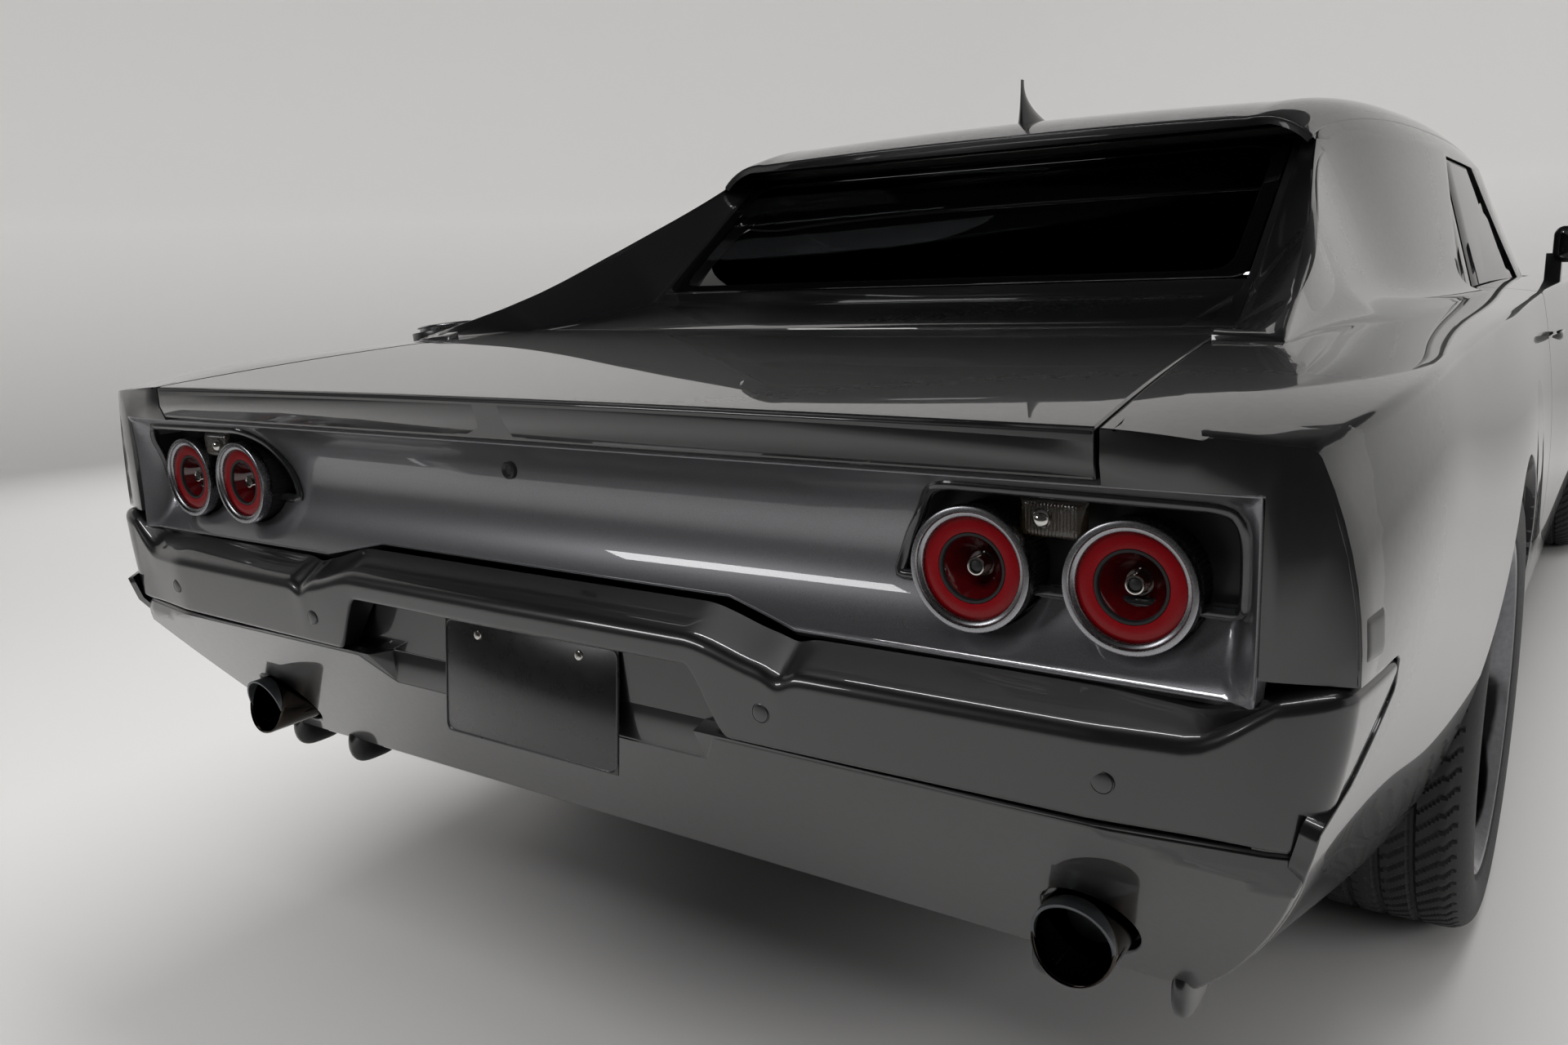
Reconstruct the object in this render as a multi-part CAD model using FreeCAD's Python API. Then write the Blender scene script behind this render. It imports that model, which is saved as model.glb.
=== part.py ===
"""Two-door fastback muscle car, built as an assembly of separate panels, lamps, glass, seats,
running gear and wheels.

Frame: +X forward, +Y to the car's left, +Z up, millimetres.  The origin is on the ground under
the middle of the car's length.  The body is hollow: cabin, boot, engine bay and four wheel wells.
"""

import FreeCAD
import Part
import math
import os

V = FreeCAD.Vector
os.makedirs("parts", exist_ok=True)

# ---------------------------------------------------------------- driving dimensions
WHEELBASE = 2950.0
REAR_AXLE_X = -1345.0
FRONT_AXLE_X = REAR_AXLE_X + WHEELBASE
GAP = 5.0                   # shut line between a moving panel and its neighbours
FAR = 3000.0                # longer than any panel

TYRE_R = 360.0
REAR_TYRE_W, FRONT_TYRE_W = 286.0, 268.0
REAR_TYRE_Y, FRONT_TYRE_Y = 819.0, 826.0    # middle of each tread
WELL_R = 425.0              # inner wheel housing
ARCH_R = 392.0              # visible wheel opening
ARCH_LIP_Y = 900.0          # the opening narrows from the housing to the lip here
REAR_WELL_Y, FRONT_WELL_Y = 610.0, 480.0    # inner walls of the housings
ARCH_Z = TYRE_R + 8.0

RIM_SEAT_R, RIM_LIP_R, BARREL_R = 254.0, 268.0, 238.0
STUB_R, BORE_CLEARANCE = 28.0, 0.1
DISC_R, DISC_T, DISC_INBOARD = 180.0, 28.0, 22.0    # brake disc, inboard of the tread middle
SPOKES = 5
KINGPIN_Y, KINGPIN_R = 760.0, 14.0

DOOR_REAR_X, DOOR_FRONT_X = -400.0, 800.0
DOOR_INNER_Y = 765.0
DOOR_TAPER = 37.0           # the shut face runs forward by this much from skin to inner face
SILL_TOP_Z = 262.0
FLOOR_Z, FLOOR_T = 190.0, 25.0
CABIN_HALF_W = 770.0
REAR_CABIN_HALF_W = 585.0   # between the rear wheel housings, and in the boot
WELL_FRONT_X = -895.0       # front of the rear wheel housings
FIREWALL_X, FIREWALL_T = 960.0, 30.0
BULKHEAD_X, BULKHEAD_T = -1230.0, 30.0
SHELF_Z, SHELF_T = 915.0, 25.0
BOOT_FLOOR_Z, BOOT_FLOOR_T = 520.0, 25.0
BOOT_REAR_X = -2420.0

HOOD_REAR_X, HOOD_FRONT_X = 1040.0, 2440.0
HOOD_REAR_HALF_W, HOOD_FRONT_HALF_W = 700.0, 630.0
SKIN_T = 28.0               # hood and boot-lid thickness
BAY_HALF_W = 455.0
NOSE_SPLIT_X = 2380.0

LID_FRONT_X = -1827.0
LID_FRONT_HALF_W, LID_REAR_HALF_W = 656.0, 737.0
LIP_Z, LIP_REAR_X, LIP_DEPTH = 904.0, -2535.0, 40.0    # underside, rear face and depth of the lid's lip
LIP_FOOT_X, LIP_LEAN = -2520.0, 0.35    # foot of the lip's face, and how far it leans back for its height
SILL_CHAMFER, SHOULDER_BULGE, CREASE_REACH = 55.0, 3.0, 9.0    # of every lower body section

GLASS_T, GLASS_RECESS = 6.0, 4.0
ROOF_SPLIT_Z = 1262.0       # roof panel above, pillars below
WALL_T = 38.0               # roof and pillar thickness
PILLAR_Y = 868.0            # inner face of the black end caps beside the tail panel

# ---------------------------------------------------------------- lower body sections
# x: station;  wr, zb: sill half-width and underside;  wm, zm: widest point of the side;
# wc, zc: shoulder crease;  ys, zs: where the shoulder meets the deck;  zt: deck height at centre
BODY_SECTIONS = [
    # x,      wr,    zb,    wm,    zm,    wc,    zc,    ys,    zs,    zt
    (-2580.0, 785.0, 345.0, 926.0, 715.0, 876.0, 922.0, 737.0, 944.0, 952.0),
    (-2400.0, 815.0, 340.0, 950.0, 728.0, 923.0, 950.0, 722.0, 960.0, 962.0),
    (-2000.0, 865.0, 290.0, 968.0, 742.0, 935.0, 966.0, 690.0, 984.0, 982.0),
    (-1345.0, 900.0, 225.0, 972.0, 740.0, 926.0, 971.0, 700.0, 990.0, 992.0),
    (-690.0, 908.0, 188.0, 950.0, 700.0, 913.0, 970.0, 740.0, 985.0, 990.0),
    (150.0, 908.0, 180.0, 946.0, 690.0, 906.0, 966.0, 740.0, 982.0, 988.0),
    (950.0, 906.0, 185.0, 956.0, 685.0, 905.0, 953.0, 720.0, 968.0, 982.0),
    (1605.0, 895.0, 230.0, 970.0, 690.0, 903.0, 938.0, 690.0, 955.0, 966.0),
    (2150.0, 872.0, 290.0, 945.0, 665.0, 880.0, 905.0, 660.0, 923.0, 934.0),
    (2560.0, 825.0, 330.0, 895.0, 640.0, 830.0, 864.0, 615.0, 876.0, 884.0),
]

# roof and glasshouse.  x: station;  yb: half-width at the belt;  yr, zr: roof rail;  zt: roof at centre
ROOF_SECTIONS = [
    # x,      yb,    yr,    zr,     zt
    (-2010.0, 800.0, 762.0, 984.0, 992.0),
    (-1829.0, 796.0, 735.0, 1029.0, 1046.0),
    (-1534.0, 796.0, 690.0, 1128.0, 1178.0),
    (-1240.0, 797.0, 634.0, 1244.0, 1316.0),
    (-1000.0, 800.0, 655.0, 1280.0, 1362.0),
    (-600.0, 804.0, 692.0, 1284.0, 1374.0),
    (0.0, 804.0, 694.0, 1280.0, 1362.0),
    (300.0, 803.0, 690.0, 1272.0, 1342.0),
    (1200.0, 800.0, 680.0, 1230.0, 1270.0),
]
BELT_Z = 880.0

# tunnel between the sail panels.  x: station;  yf, zf: edge of its floor;  yc, zc: crest
TUNNEL_SECTIONS = [
    # x,      yf,    zf,     yc,    zc
    (-1170.0, 586.0, 1280.0, 606.0, 1288.0),
    (-1345.0, 594.0, 1157.0, 640.0, 1212.0),
    (-1530.0, 602.0, 1027.0, 678.0, 1130.0),
    (-1829.0, 660.0, 989.0, 727.0, 1029.0),
    (-1990.0, 700.0, 982.0, 752.0, 998.0),
]
REAR_GLASS_TOP = (-1174.0, 1277.0)
REAR_GLASS_FOOT = (-1508.0, 1042.0)
REAR_GLASS_TOP_HALF_W, REAR_GLASS_FOOT_HALF_W = 575.0, 588.0

# outline of the side glass, front window and quarter window together, in side view
SIDE_GLASS = [(-560.0, 1012.0), (-352.0, 1268.0), (150.0, 1262.0), (690.0, 968.0), (-380.0, 975.0)]
SCREEN_BASE_Z, SCREEN_TOP_Z = 880.0, 1380.0
SCREEN_BASE_CENTRE, SCREEN_BASE_CORNER = 1120.0, 960.0
SCREEN_TOP_CENTRE, SCREEN_TOP_CORNER = 210.0, 150.0

# tail.  y: half-width;  x: how far back the tail reaches there
TAIL_PLAN = [(0.0, -2535.0), (400.0, -2532.5), (737.0, -2526.0), (880.0, -2507.0), (960.0, -2484.0)]
NOSE_PLAN = [(0.0, 2525.0), (450.0, 2510.0), (800.0, 2470.0), (960.0, 2400.0)]
PANEL_BOTTOM = [(0.0, 738.0), (300.0, 738.0), (400.0, 718.0), (860.0, 718.0)]
LAMP_R, LENS_R, LAMP_X, LAMP_Z, LAMP_DEPTH = 61.5, 51.0, -2492.0, 805.0, 57.0
LAMP_YS = (601.0, 752.0)
SEAM_Z = 598.0              # bumper above, valance below
VALANCE_FOOT = (-2340.0, 344.0)
EXHAUST_TIP = (-2449.0, 688.0, 426.0)
EXHAUST_R = 44.0
PLATE_W, PLATE_H, PLATE_LEAN = 304.8, 152.4, 6.0

GRILLE_HALF_W, GRILLE_Z0, GRILLE_Z1 = 770.0, 590.0, 790.0
HEADLAMP_R, HEADLAMP_YS, HEADLAMP_Z = 74.0, (528.0, 690.0), 690.0
BEZEL_Y = 440.0             # the grille bars run between the headlamp bezels

SEAT_BASE_Z = 285.0         # top of the front seats' rails
RISER_X, REAR_PAN_Z, REAR_PAN_END_X = -700.0, 345.0, -1060.0    # raised floor under the rear bench
REAR_SLOPE_Z = 495.0        # where the raised floor's slope meets the bulkhead
BENCH_TOP_Z = 480.0
JACK_PAD_XS, JACK_PAD_Y, JACK_PAD_Z = (-820.0, 880.0), 725.0, 165.0
WISHBONE_EYE_R = 26.0
LINK_Y, LINK_EYE = 520.0, (-880.0, 155.0)   # trailing links of the rear axle, and their front eyes
CAP_CENTRE, CAP_TILT = V(-1875.0, 826.0, 978.0), -6.0
CAP_R, CAP_RING_R, CAP_BASE_H, CAP_T = 62.0, 77.0, 16.0, 11.0


# ---------------------------------------------------------------- shape helpers
def box(x0, x1, y0, y1, z0, z1):
    """Axis-aligned block between two corners."""
    return Part.makeBox(x1 - x0, y1 - y0, z1 - z0, V(x0, y0, z0))


def polygon_face(points):
    """Flat face through a closed list of corner points."""
    return Part.Face(Part.makePolygon(points + [points[0]]))


def prism_xz(points, y0, y1):
    """Side-view outline (x, z) carried across from y0 to y1."""
    return polygon_face([V(x, y0, z) for x, z in points]).extrude(V(0, y1 - y0, 0))


def prism_xy(points, z0, z1):
    """Plan outline (x, y) carried up from z0 to z1."""
    return polygon_face([V(x, y, z0) for x, y in points]).extrude(V(0, 0, z1 - z0))


def prism_yz(points, x0, x1):
    """Front-view outline (y, z) carried along from x0 to x1."""
    return polygon_face([V(x0, y, z) for y, z in points]).extrude(V(x1 - x0, 0, 0))


def cylinder_x(radius, x0, x1, y, z):
    """Round bar along X."""
    return Part.makeCylinder(radius, x1 - x0, V(x0, y, z), V(1, 0, 0))


def cylinder_y(radius, y0, y1, x, z):
    """Round bar along Y."""
    return Part.makeCylinder(radius, y1 - y0, V(x, y0, z), V(0, 1, 0))


def cylinder_z(radius, z0, z1, x, y):
    """Round bar along Z."""
    return Part.makeCylinder(radius, z1 - z0, V(x, y, z0), V(0, 0, 1))


def bar(start, end, radius):
    """Round bar between two points."""
    a, b = V(*start), V(*end)
    return Part.makeCylinder(radius, (b - a).Length, a, b - a)


def mirrored(shape):
    """The same shape on the car's other side."""
    return shape.mirror(V(0, 0, 0), V(0, 1, 0))


def both_sides(shape):
    """A left-hand shape with its right-hand twin, as separate solids."""
    return Part.makeCompound([shape, mirrored(shape)])


def mirror_outline(half):
    """Rows that start with a half-width y completed on the other side, in order across the car."""
    return [(-row[0],) + tuple(row[1:]) for row in reversed(half) if row[0] > 0] + list(half)


def fused(shapes):
    """One solid from shapes that touch or overlap."""
    whole = shapes[0].fuse(shapes[1:]) if len(shapes) > 1 else shapes[0]
    return whole.removeSplitter()


def without(shape, *tools):
    """The shape with every tool cut away."""
    return shape.cut(list(tools))


def shared(shape, *tools):
    """What the shape has in common with each tool in turn."""
    for tool in tools:
        shape = shape.common(tool)
    return shape


def ring_y(profile, x, y, z):
    """Solid of revolution about an axis along Y, from closed (radius, offset along Y) points."""
    face = polygon_face([V(x, y + offset, z + radius) for radius, offset in profile])
    return face.revolve(V(x, y, z), V(0, 1, 0), 360)


def ring_x(profile, x, y, z):
    """Solid of revolution about an axis along X, from closed (radius, offset along X) points."""
    face = polygon_face([V(x + offset, y, z + radius) for radius, offset in profile])
    return face.revolve(V(x, y, z), V(1, 0, 0), 360)


def pipe(points, radius):
    """Pipe of straight runs with ball joints at its bends."""
    runs = [bar(a, b, radius) for a, b in zip(points, points[1:])]
    bends = [Part.makeSphere(radius, V(*p)) for p in points[1:-1]]
    return fused(runs + bends)


def save(name, shape):
    """Writes one sub-part, checking that every solid in it is sound."""
    solids = shape.Solids
    whole = solids[0] if len(solids) == 1 else Part.makeCompound(solids)
    sound = all(s.isValid() and s.Volume > 0 for s in solids)
    print(f"{name:22s} solids {len(solids):3d}  litres {whole.Volume / 1e6:9.3f}  sound {sound}", flush=True)
    whole.exportStep(f"parts/{name}.step")


# ---------------------------------------------------------------- master volumes
def circle_of(a, b, c):
    """Centre y, centre z and radius of the circle through three (y, z) points."""
    d = 2.0 * (a[0] * (b[1] - c[1]) + b[0] * (c[1] - a[1]) + c[0] * (a[1] - b[1]))
    sa, sb, sc = (p[0] ** 2 + p[1] ** 2 for p in (a, b, c))
    y = (sa * (b[1] - c[1]) + sb * (c[1] - a[1]) + sc * (a[1] - b[1])) / d
    z = (sa * (c[0] - b[0]) + sb * (a[0] - c[0]) + sc * (b[0] - a[0])) / d
    return y, z, math.hypot(a[0] - y, a[1] - z)


def short_of_end(a, b, c, distance):
    """Point on the arc a-b-c, that distance before its end c."""
    y, z, radius = circle_of(a, b, c)
    start, end = math.atan2(a[1] - z, a[0] - y), math.atan2(c[1] - z, c[0] - y)
    angle = end + math.copysign(distance / radius, start - end)
    return y + radius * math.cos(angle), z + radius * math.sin(angle)


def rounded_corner(before, corner, after):
    """Middle point of the arc that leaves the corner's two sides at equal distances from it."""
    middle = ((before[0] + after[0]) / 2, (before[1] + after[1]) / 2)
    reach = math.dist(before, corner)
    half_turn = math.asin(min(math.dist(middle, corner) / reach, 1.0))
    share = 1.0 / (1.0 + math.cos(half_turn))
    return tuple(c + (m - c) * share for c, m in zip(corner, middle))


def body_section(x, wr, zb, wm, zm, wc, zc, ys, zs, zt):
    """Closed cross-section of the lower body: flat floor, bulged sides, rounded crease, crowned deck."""
    def p(y, z):
        return V(x, y, z)

    def line(a, b):
        return Part.LineSegment(p(*a), p(*b)).toShape()

    def arc(a, b, c):
        return Part.Arc(p(*a), p(*b), p(*c)).toShape()

    floor_y = wr - SILL_CHAMFER
    sill, widest, crease = (wr, zb + SILL_CHAMFER), (wm, zm), (wc, zc)
    bulge, shoulder = ((wc + ys) / 2, (zc + zs) / 2 + SHOULDER_BULGE), (ys, zs)
    below = short_of_end(sill, widest, crease, CREASE_REACH)
    above = short_of_end(shoulder, bulge, crease, CREASE_REACH)
    turn = rounded_corner(below, crease, above)

    def left(point):
        return -point[0], point[1]

    return Part.Wire([
        line((-floor_y, zb), (floor_y, zb)),
        line((floor_y, zb), sill),
        arc(sill, widest, below),
        arc(below, turn, above),
        arc(above, bulge, shoulder),
        arc(shoulder, (0, zt), left(shoulder)),
        arc(left(shoulder), left(bulge), left(above)),
        arc(left(above), left(turn), left(below)),
        arc(left(below), left(widest), left(sill)),
        line(left(sill), (-floor_y, zb)),
    ])


def plan_cutter(plan, direction):
    """Everything beyond the rounded plan line of the tail (direction -1) or nose (+1)."""
    points = [(x, y) for y, x in mirror_outline(plan)]
    beyond = 2900.0 * direction
    points += [(beyond, plan[-1][0]), (beyond, -plan[-1][0])]
    return prism_xy(points, 0.0, 1200.0)


def roof_section(x, yb, yr, zr, zt, inset):
    """Closed cross-section of the glasshouse: straight sides, rolled roof rails and a crowned top."""
    yb, yr, zr, zt = yb - inset, yr - inset, zr - inset * 0.4, zt - inset
    shoulder_y, shoulder_z = yr - 0.2 * yr, zt - 0.12 * (zt - zr)
    roll_y, roll_z = yr - 0.065 * yr, zr + 0.62 * (zt - zr)

    def p(y, z):
        return V(x, y, z)

    return Part.Wire([
        Part.LineSegment(p(-yb, BELT_Z), p(yb, BELT_Z)).toShape(),
        Part.LineSegment(p(yb, BELT_Z), p(yr, zr)).toShape(),
        Part.Arc(p(yr, zr), p(roll_y, roll_z), p(shoulder_y, shoulder_z)).toShape(),
        Part.Arc(p(shoulder_y, shoulder_z), p(0, zt), p(-shoulder_y, shoulder_z)).toShape(),
        Part.Arc(p(-shoulder_y, shoulder_z), p(-roll_y, roll_z), p(-yr, zr)).toShape(),
        Part.LineSegment(p(-yr, zr), p(-yb, BELT_Z)).toShape(),
    ])


def screen_section(z, x_centre, x_corner, inset):
    """Plan of everything behind the windscreen at one height: a bowed front edge and square back."""
    back, half = -2600.0, 900.0
    shift = inset * 1.7
    corner, centre = x_corner - shift, x_centre - shift
    front = Part.Arc(V(corner, -half, z), V(centre, 0, z), V(corner, half, z))
    rest = [V(corner, half, z), V(back, half, z), V(back, -half, z), V(corner, -half, z)]
    return Part.Wire([front.toShape()] + [Part.LineSegment(a, b).toShape() for a, b in zip(rest, rest[1:])])


def glasshouse(inset):
    """Solid form of the roof and windows, taken in all round by the inset."""
    along = Part.makeLoft([roof_section(*row, inset) for row in ROOF_SECTIONS], True, False)
    foot = screen_section(SCREEN_BASE_Z, SCREEN_BASE_CENTRE, SCREEN_BASE_CORNER, inset)
    head = screen_section(SCREEN_TOP_Z, SCREEN_TOP_CENTRE, SCREEN_TOP_CORNER, inset)
    return along.common(Part.makeLoft([foot, head], True, True))


def tunnel():
    """Space between the sail panels behind the rear window, stopping under the roof's rear lip."""
    wires = []
    for x, yf, zf, yc, zc in TUNNEL_SECTIONS:
        half = [(yf, zf), (yc, zc), (yc + 70.0, 1500.0)]
        ring = [V(x, y, z) for y, z in half] + [V(x, -y, z) for y, z in reversed(half)]
        wires.append(Part.makePolygon(ring + [ring[0]]))
    roof_lip = box(-1245.0, -1100.0, -575.0, 575.0, 1292.0, 1500.0)
    return Part.makeLoft(wires, True, True).cut(roof_lip)


def rear_glass_slab(depth, thickness, x_reach=0.0):
    """Slab parallel to the rear window, its outer face that deep below the tunnel floor."""
    (x0, z0), (x1, z1) = REAR_GLASS_TOP, REAR_GLASS_FOOT
    run = math.hypot(x0 - x1, z0 - z1)
    along = ((x0 - x1) / run, (z0 - z1) / run)
    inward = (along[1], -along[0])
    ends = []
    for (x, z), reach in (((x1, z1), -x_reach), ((x0, z0), x_reach)):
        ends.append((x + along[0] * reach + inward[0] * depth, z + along[1] * reach + inward[1] * depth))
    far = [(x + inward[0] * thickness, z + inward[1] * thickness) for x, z in reversed(ends)]
    return prism_xz(ends + far, -FAR, FAR)


def side_glass_outline(grow=0.0, front=None, rear=None):
    """Side-view outline of the side windows, grown evenly, optionally stopped at a front or rear line."""
    face = polygon_face([V(x, -FAR, z) for x, z in SIDE_GLASS])
    if grow:
        face = face.makeOffset2D(grow, 2)
    outline = face.extrude(V(0, 2 * FAR, 0))
    if rear is not None:
        outline = outline.common(box(rear, FAR, -FAR, FAR, 0, FAR))
    if front is not None:
        outline = outline.common(box(-FAR, front, -FAR, FAR, 0, FAR))
    return outline


def wheel_wells():
    """Room inside the body for the four wheels, and the openings they show through."""
    tools = []
    for x, inner in ((REAR_AXLE_X, REAR_WELL_Y), (FRONT_AXLE_X, FRONT_WELL_Y)):
        for y0, y1, radius in ((inner, ARCH_LIP_Y + 5.0, WELL_R), (ARCH_LIP_Y, 1100.0, ARCH_R)):
            below = box(x - radius, x + radius, y0, y1, 0, ARCH_Z)
            whole = fused([cylinder_y(radius, y0, y1, x, ARCH_Z), below])
            tools += [whole, mirrored(whole)]
    return tools


def door_plan(gap, inner):
    """Plan outline of the left door with its tapered shut face, grown or shrunk by the gap."""
    rear, front = DOOR_REAR_X + gap, DOOR_FRONT_X - gap
    slope = DOOR_TAPER / (950.0 - DOOR_INNER_Y)
    reach = 1100.0
    return [(rear - slope * (reach - 950.0), reach), (rear + slope * (950.0 - inner), inner),
            (front - 8.0, inner), (front, 950.0), (front, reach)]


def lid_plan(gap):
    """Plan outline of the boot lid, taken in all round by the gap."""
    rear = -2700.0
    slope = (LID_REAR_HALF_W - LID_FRONT_HALF_W) / (LIP_REAR_X - LID_FRONT_X)
    half_rear = LID_FRONT_HALF_W + slope * (rear - LID_FRONT_X)
    return [(rear, -half_rear + gap), (LID_FRONT_X - gap, -LID_FRONT_HALF_W + gap),
            (LID_FRONT_X - gap, LID_FRONT_HALF_W - gap), (rear, half_rear - gap)]


def hood_plan(gap, front_gap):
    """Plan outline of the hood, taken in all round by the gap."""
    rear_x, front_x = HOOD_REAR_X + gap, HOOD_FRONT_X - front_gap
    rear_y, front_y = HOOD_REAR_HALF_W - gap, HOOD_FRONT_HALF_W - gap
    return [(rear_x, -rear_y), (front_x, -front_y), (front_x, front_y), (rear_x, rear_y)]


# ---------------------------------------------------------------- body in white and its panels
def tail_tools():
    """Regions at the tail: panel bay, bumper with its side wraps, and valance, in that order."""
    panel_bay = box(-2700.0, BOOT_REAR_X, -PILLAR_Y, PILLAR_Y, SEAM_Z, LIP_Z - GAP)
    stations = [(0.0, 738.0, 708.0), (280.0, 738.0, 708.0), (400.0, 718.0, 688.0), (PILLAR_Y, 718.0, 684.0)]
    wires = []
    for y, shelf_z, face_z in mirror_outline(stations):
        ring = [V(BOOT_REAR_X, y, SEAM_Z), V(-2600.0, y, SEAM_Z), V(-2600.0, y, face_z - 36.0),
                V(-2545.0, y, face_z), V(-2497.0, y, shelf_z), V(BOOT_REAR_X, y, shelf_z)]
        wires.append(Part.makePolygon(ring + [ring[0]]))
    centre = Part.makeLoft(wires, True, True)
    wrap = prism_xz([(-2700.0, SEAM_Z), (-2545.0, SEAM_Z), (-2521.0, 629.0), (-2465.0, 652.0), (-2385.0, 716.0),
                     (-2385.0, 746.0), (-2700.0, 746.0)], PILLAR_Y, FAR)
    valance = prism_xz([(-2530.0, SEAM_Z), VALANCE_FOOT, (-2285.0, VALANCE_FOOT[1]), (BOOT_REAR_X, SEAM_Z)],
                       -FAR, FAR)
    return panel_bay, [centre, wrap, mirrored(wrap)], valance


def body_panels():
    """Cuts the two master forms into the fixed and moving body panels, by name."""
    whole = Part.makeLoft([body_section(*row) for row in BODY_SECTIONS], True, False)
    lip_face = prism_xz([(-2700.0, 1000.0), (LIP_FOOT_X - LIP_LEAN * (1000.0 - LIP_Z), 1000.0),
                         (LIP_FOOT_X + LIP_LEAN * GAP, LIP_Z - GAP), (-2700.0, LIP_Z - GAP)], -FAR, FAR)
    outer = without(whole, plan_cutter(TAIL_PLAN, -1), plan_cutter(NOSE_PLAN, 1))
    roof = glasshouse(0.0)
    panel_bay, bumper_parts, valance_tool = tail_tools()
    wells = wheel_wells()
    sunk = outer.copy().translated(V(0, 0, -SKIN_T))
    deeper = outer.copy().translated(V(0, 0, -SKIN_T - GAP))

    lid_block = prism_xy(lid_plan(GAP / 2), 800.0, FAR)
    lip = box(-2700.0, LIP_REAR_X + LIP_DEPTH, -FAR, FAR, LIP_Z, FAR)
    lid = fused([shared(outer, lid_block).cut(sunk), shared(outer, lid_block, lip)]).cut(lip_face)
    hood = shared(outer, prism_xy(hood_plan(GAP / 2, GAP), 700.0, FAR)).cut(sunk)
    door_block = prism_xy(door_plan(GAP / 2, DOOR_INNER_Y), SILL_TOP_Z + GAP / 2, 1100.0)
    belt = glasshouse(-GAP).common(box(-FAR, FAR, -FAR, FAR, 935.0, FAR))
    door = shared(outer, door_block).cut([belt] + wells)

    lid_hole = prism_xy(lid_plan(-GAP / 2), 800.0, FAR)
    lip_hole = box(-2700.0, BOOT_REAR_X, -FAR, FAR, LIP_Z - GAP, FAR)
    door_hole = prism_xy(door_plan(-GAP / 2, DOOR_INNER_Y - GAP), SILL_TOP_Z - GAP / 2, 1100.0)
    door_hole = door_hole.cut(roof.common(box(-FAR, FAR, -FAR, FAR, 940.0, FAR)))
    tail_hollow = prism_xz([(BOOT_REAR_X, SEAM_Z), (-2285.0, VALANCE_FOOT[1]), (-2285.0, 0.0), (-2800.0, 0.0),
                            (-2800.0, SEAM_Z)], -FAR, FAR)
    above_shelf = fused([box(-1500.0, BULKHEAD_X, -FAR, FAR, SHELF_Z + SHELF_T, 1400.0),
                         box(BULKHEAD_X, 940.0, -FAR, FAR, 905.0, 1400.0)])
    hollow = glasshouse(WALL_T).common(above_shelf)
    hollow = hollow.cut(rear_glass_slab(-400.0, 436.0, 400.0))
    screen_hole = glasshouse(-2.0).common(prism_yz([(-735.0, 975.0), (-622.0, 1285.0), (622.0, 1285.0),
                                                    (735.0, 975.0)], 100.0, 1400.0))
    glass_plan = [(-REAR_GLASS_FOOT_HALF_W, REAR_GLASS_FOOT[1]), (-REAR_GLASS_TOP_HALF_W, REAR_GLASS_TOP[1]),
                  (REAR_GLASS_TOP_HALF_W, REAR_GLASS_TOP[1]), (REAR_GLASS_FOOT_HALF_W, REAR_GLASS_FOOT[1])]
    glass_plan = prism_yz(glass_plan, -1700.0, -1000.0)
    rear_window = rear_glass_slab(0.0, GLASS_T).common(glass_plan)
    rear_hole = rear_glass_slab(-60.0, 140.0).common(glass_plan)
    cabin = [box(WELL_FRONT_X, FIREWALL_X, -CABIN_HALF_W, CABIN_HALF_W, 0.0, 930.0),
             box(BULKHEAD_X, WELL_FRONT_X, -REAR_CABIN_HALF_W, REAR_CABIN_HALF_W, 0.0, 950.0)]
    doorway = box(DOOR_REAR_X + 60.0, DOOR_FRONT_X - 40.0, 700.0, 800.0, SILL_TOP_Z + 10.0, 935.0)
    service = [
        box(FIREWALL_X + FIREWALL_T, NOSE_SPLIT_X - 10.0, -BAY_HALF_W, BAY_HALF_W, 0.0, 925.0),
        prism_xy(hood_plan(25.0, 30.0), 600.0, 945.0).common(box(1070.0, 2500.0, -560.0, 560.0, 0.0, 1000.0)),
        box(BOOT_REAR_X, BULKHEAD_X - BULKHEAD_T, -REAR_CABIN_HALF_W, REAR_CABIN_HALF_W,
            BOOT_FLOOR_Z + BOOT_FLOOR_T, SHELF_Z),
        box(BOOT_REAR_X, LID_FRONT_X - 30.0, -REAR_CABIN_HALF_W, REAR_CABIN_HALF_W, SHELF_Z - 5.0, 1000.0),
        box(BOOT_REAR_X, BULKHEAD_X - BULKHEAD_T, -REAR_CABIN_HALF_W, REAR_CABIN_HALF_W, 0.0, BOOT_FLOOR_Z),
        box(BULKHEAD_X - BULKHEAD_T, BULKHEAD_X, -REAR_CABIN_HALF_W, REAR_CABIN_HALF_W, 0.0, REAR_SLOPE_Z),
        box(NOSE_SPLIT_X - 10.0, NOSE_SPLIT_X, -GRILLE_HALF_W, GRILLE_HALF_W, GRILLE_Z0, GRILLE_Z1),
        box(-2440.0, -1792.0, -790.0, 790.0, 0.0, 480.0),
        box(2052.0, NOSE_SPLIT_X - 10.0, -790.0, 790.0, 0.0, 830.0),
        box(-1300.0, 1100.0, -145.0, 145.0, 0.0, 425.0),
    ]
    for side in (-1, 1):
        inner = sorted((side * 570.0, side * 620.0))
        apron = sorted((side * 440.0, side * 490.0))
        service.append(box(REAR_AXLE_X - 130.0, REAR_AXLE_X + 130.0, *inner, 0.0, 520.0))
        service.append(box(FRONT_AXLE_X - 170.0, FRONT_AXLE_X + 170.0, *apron, 0.0, 640.0))

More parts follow.
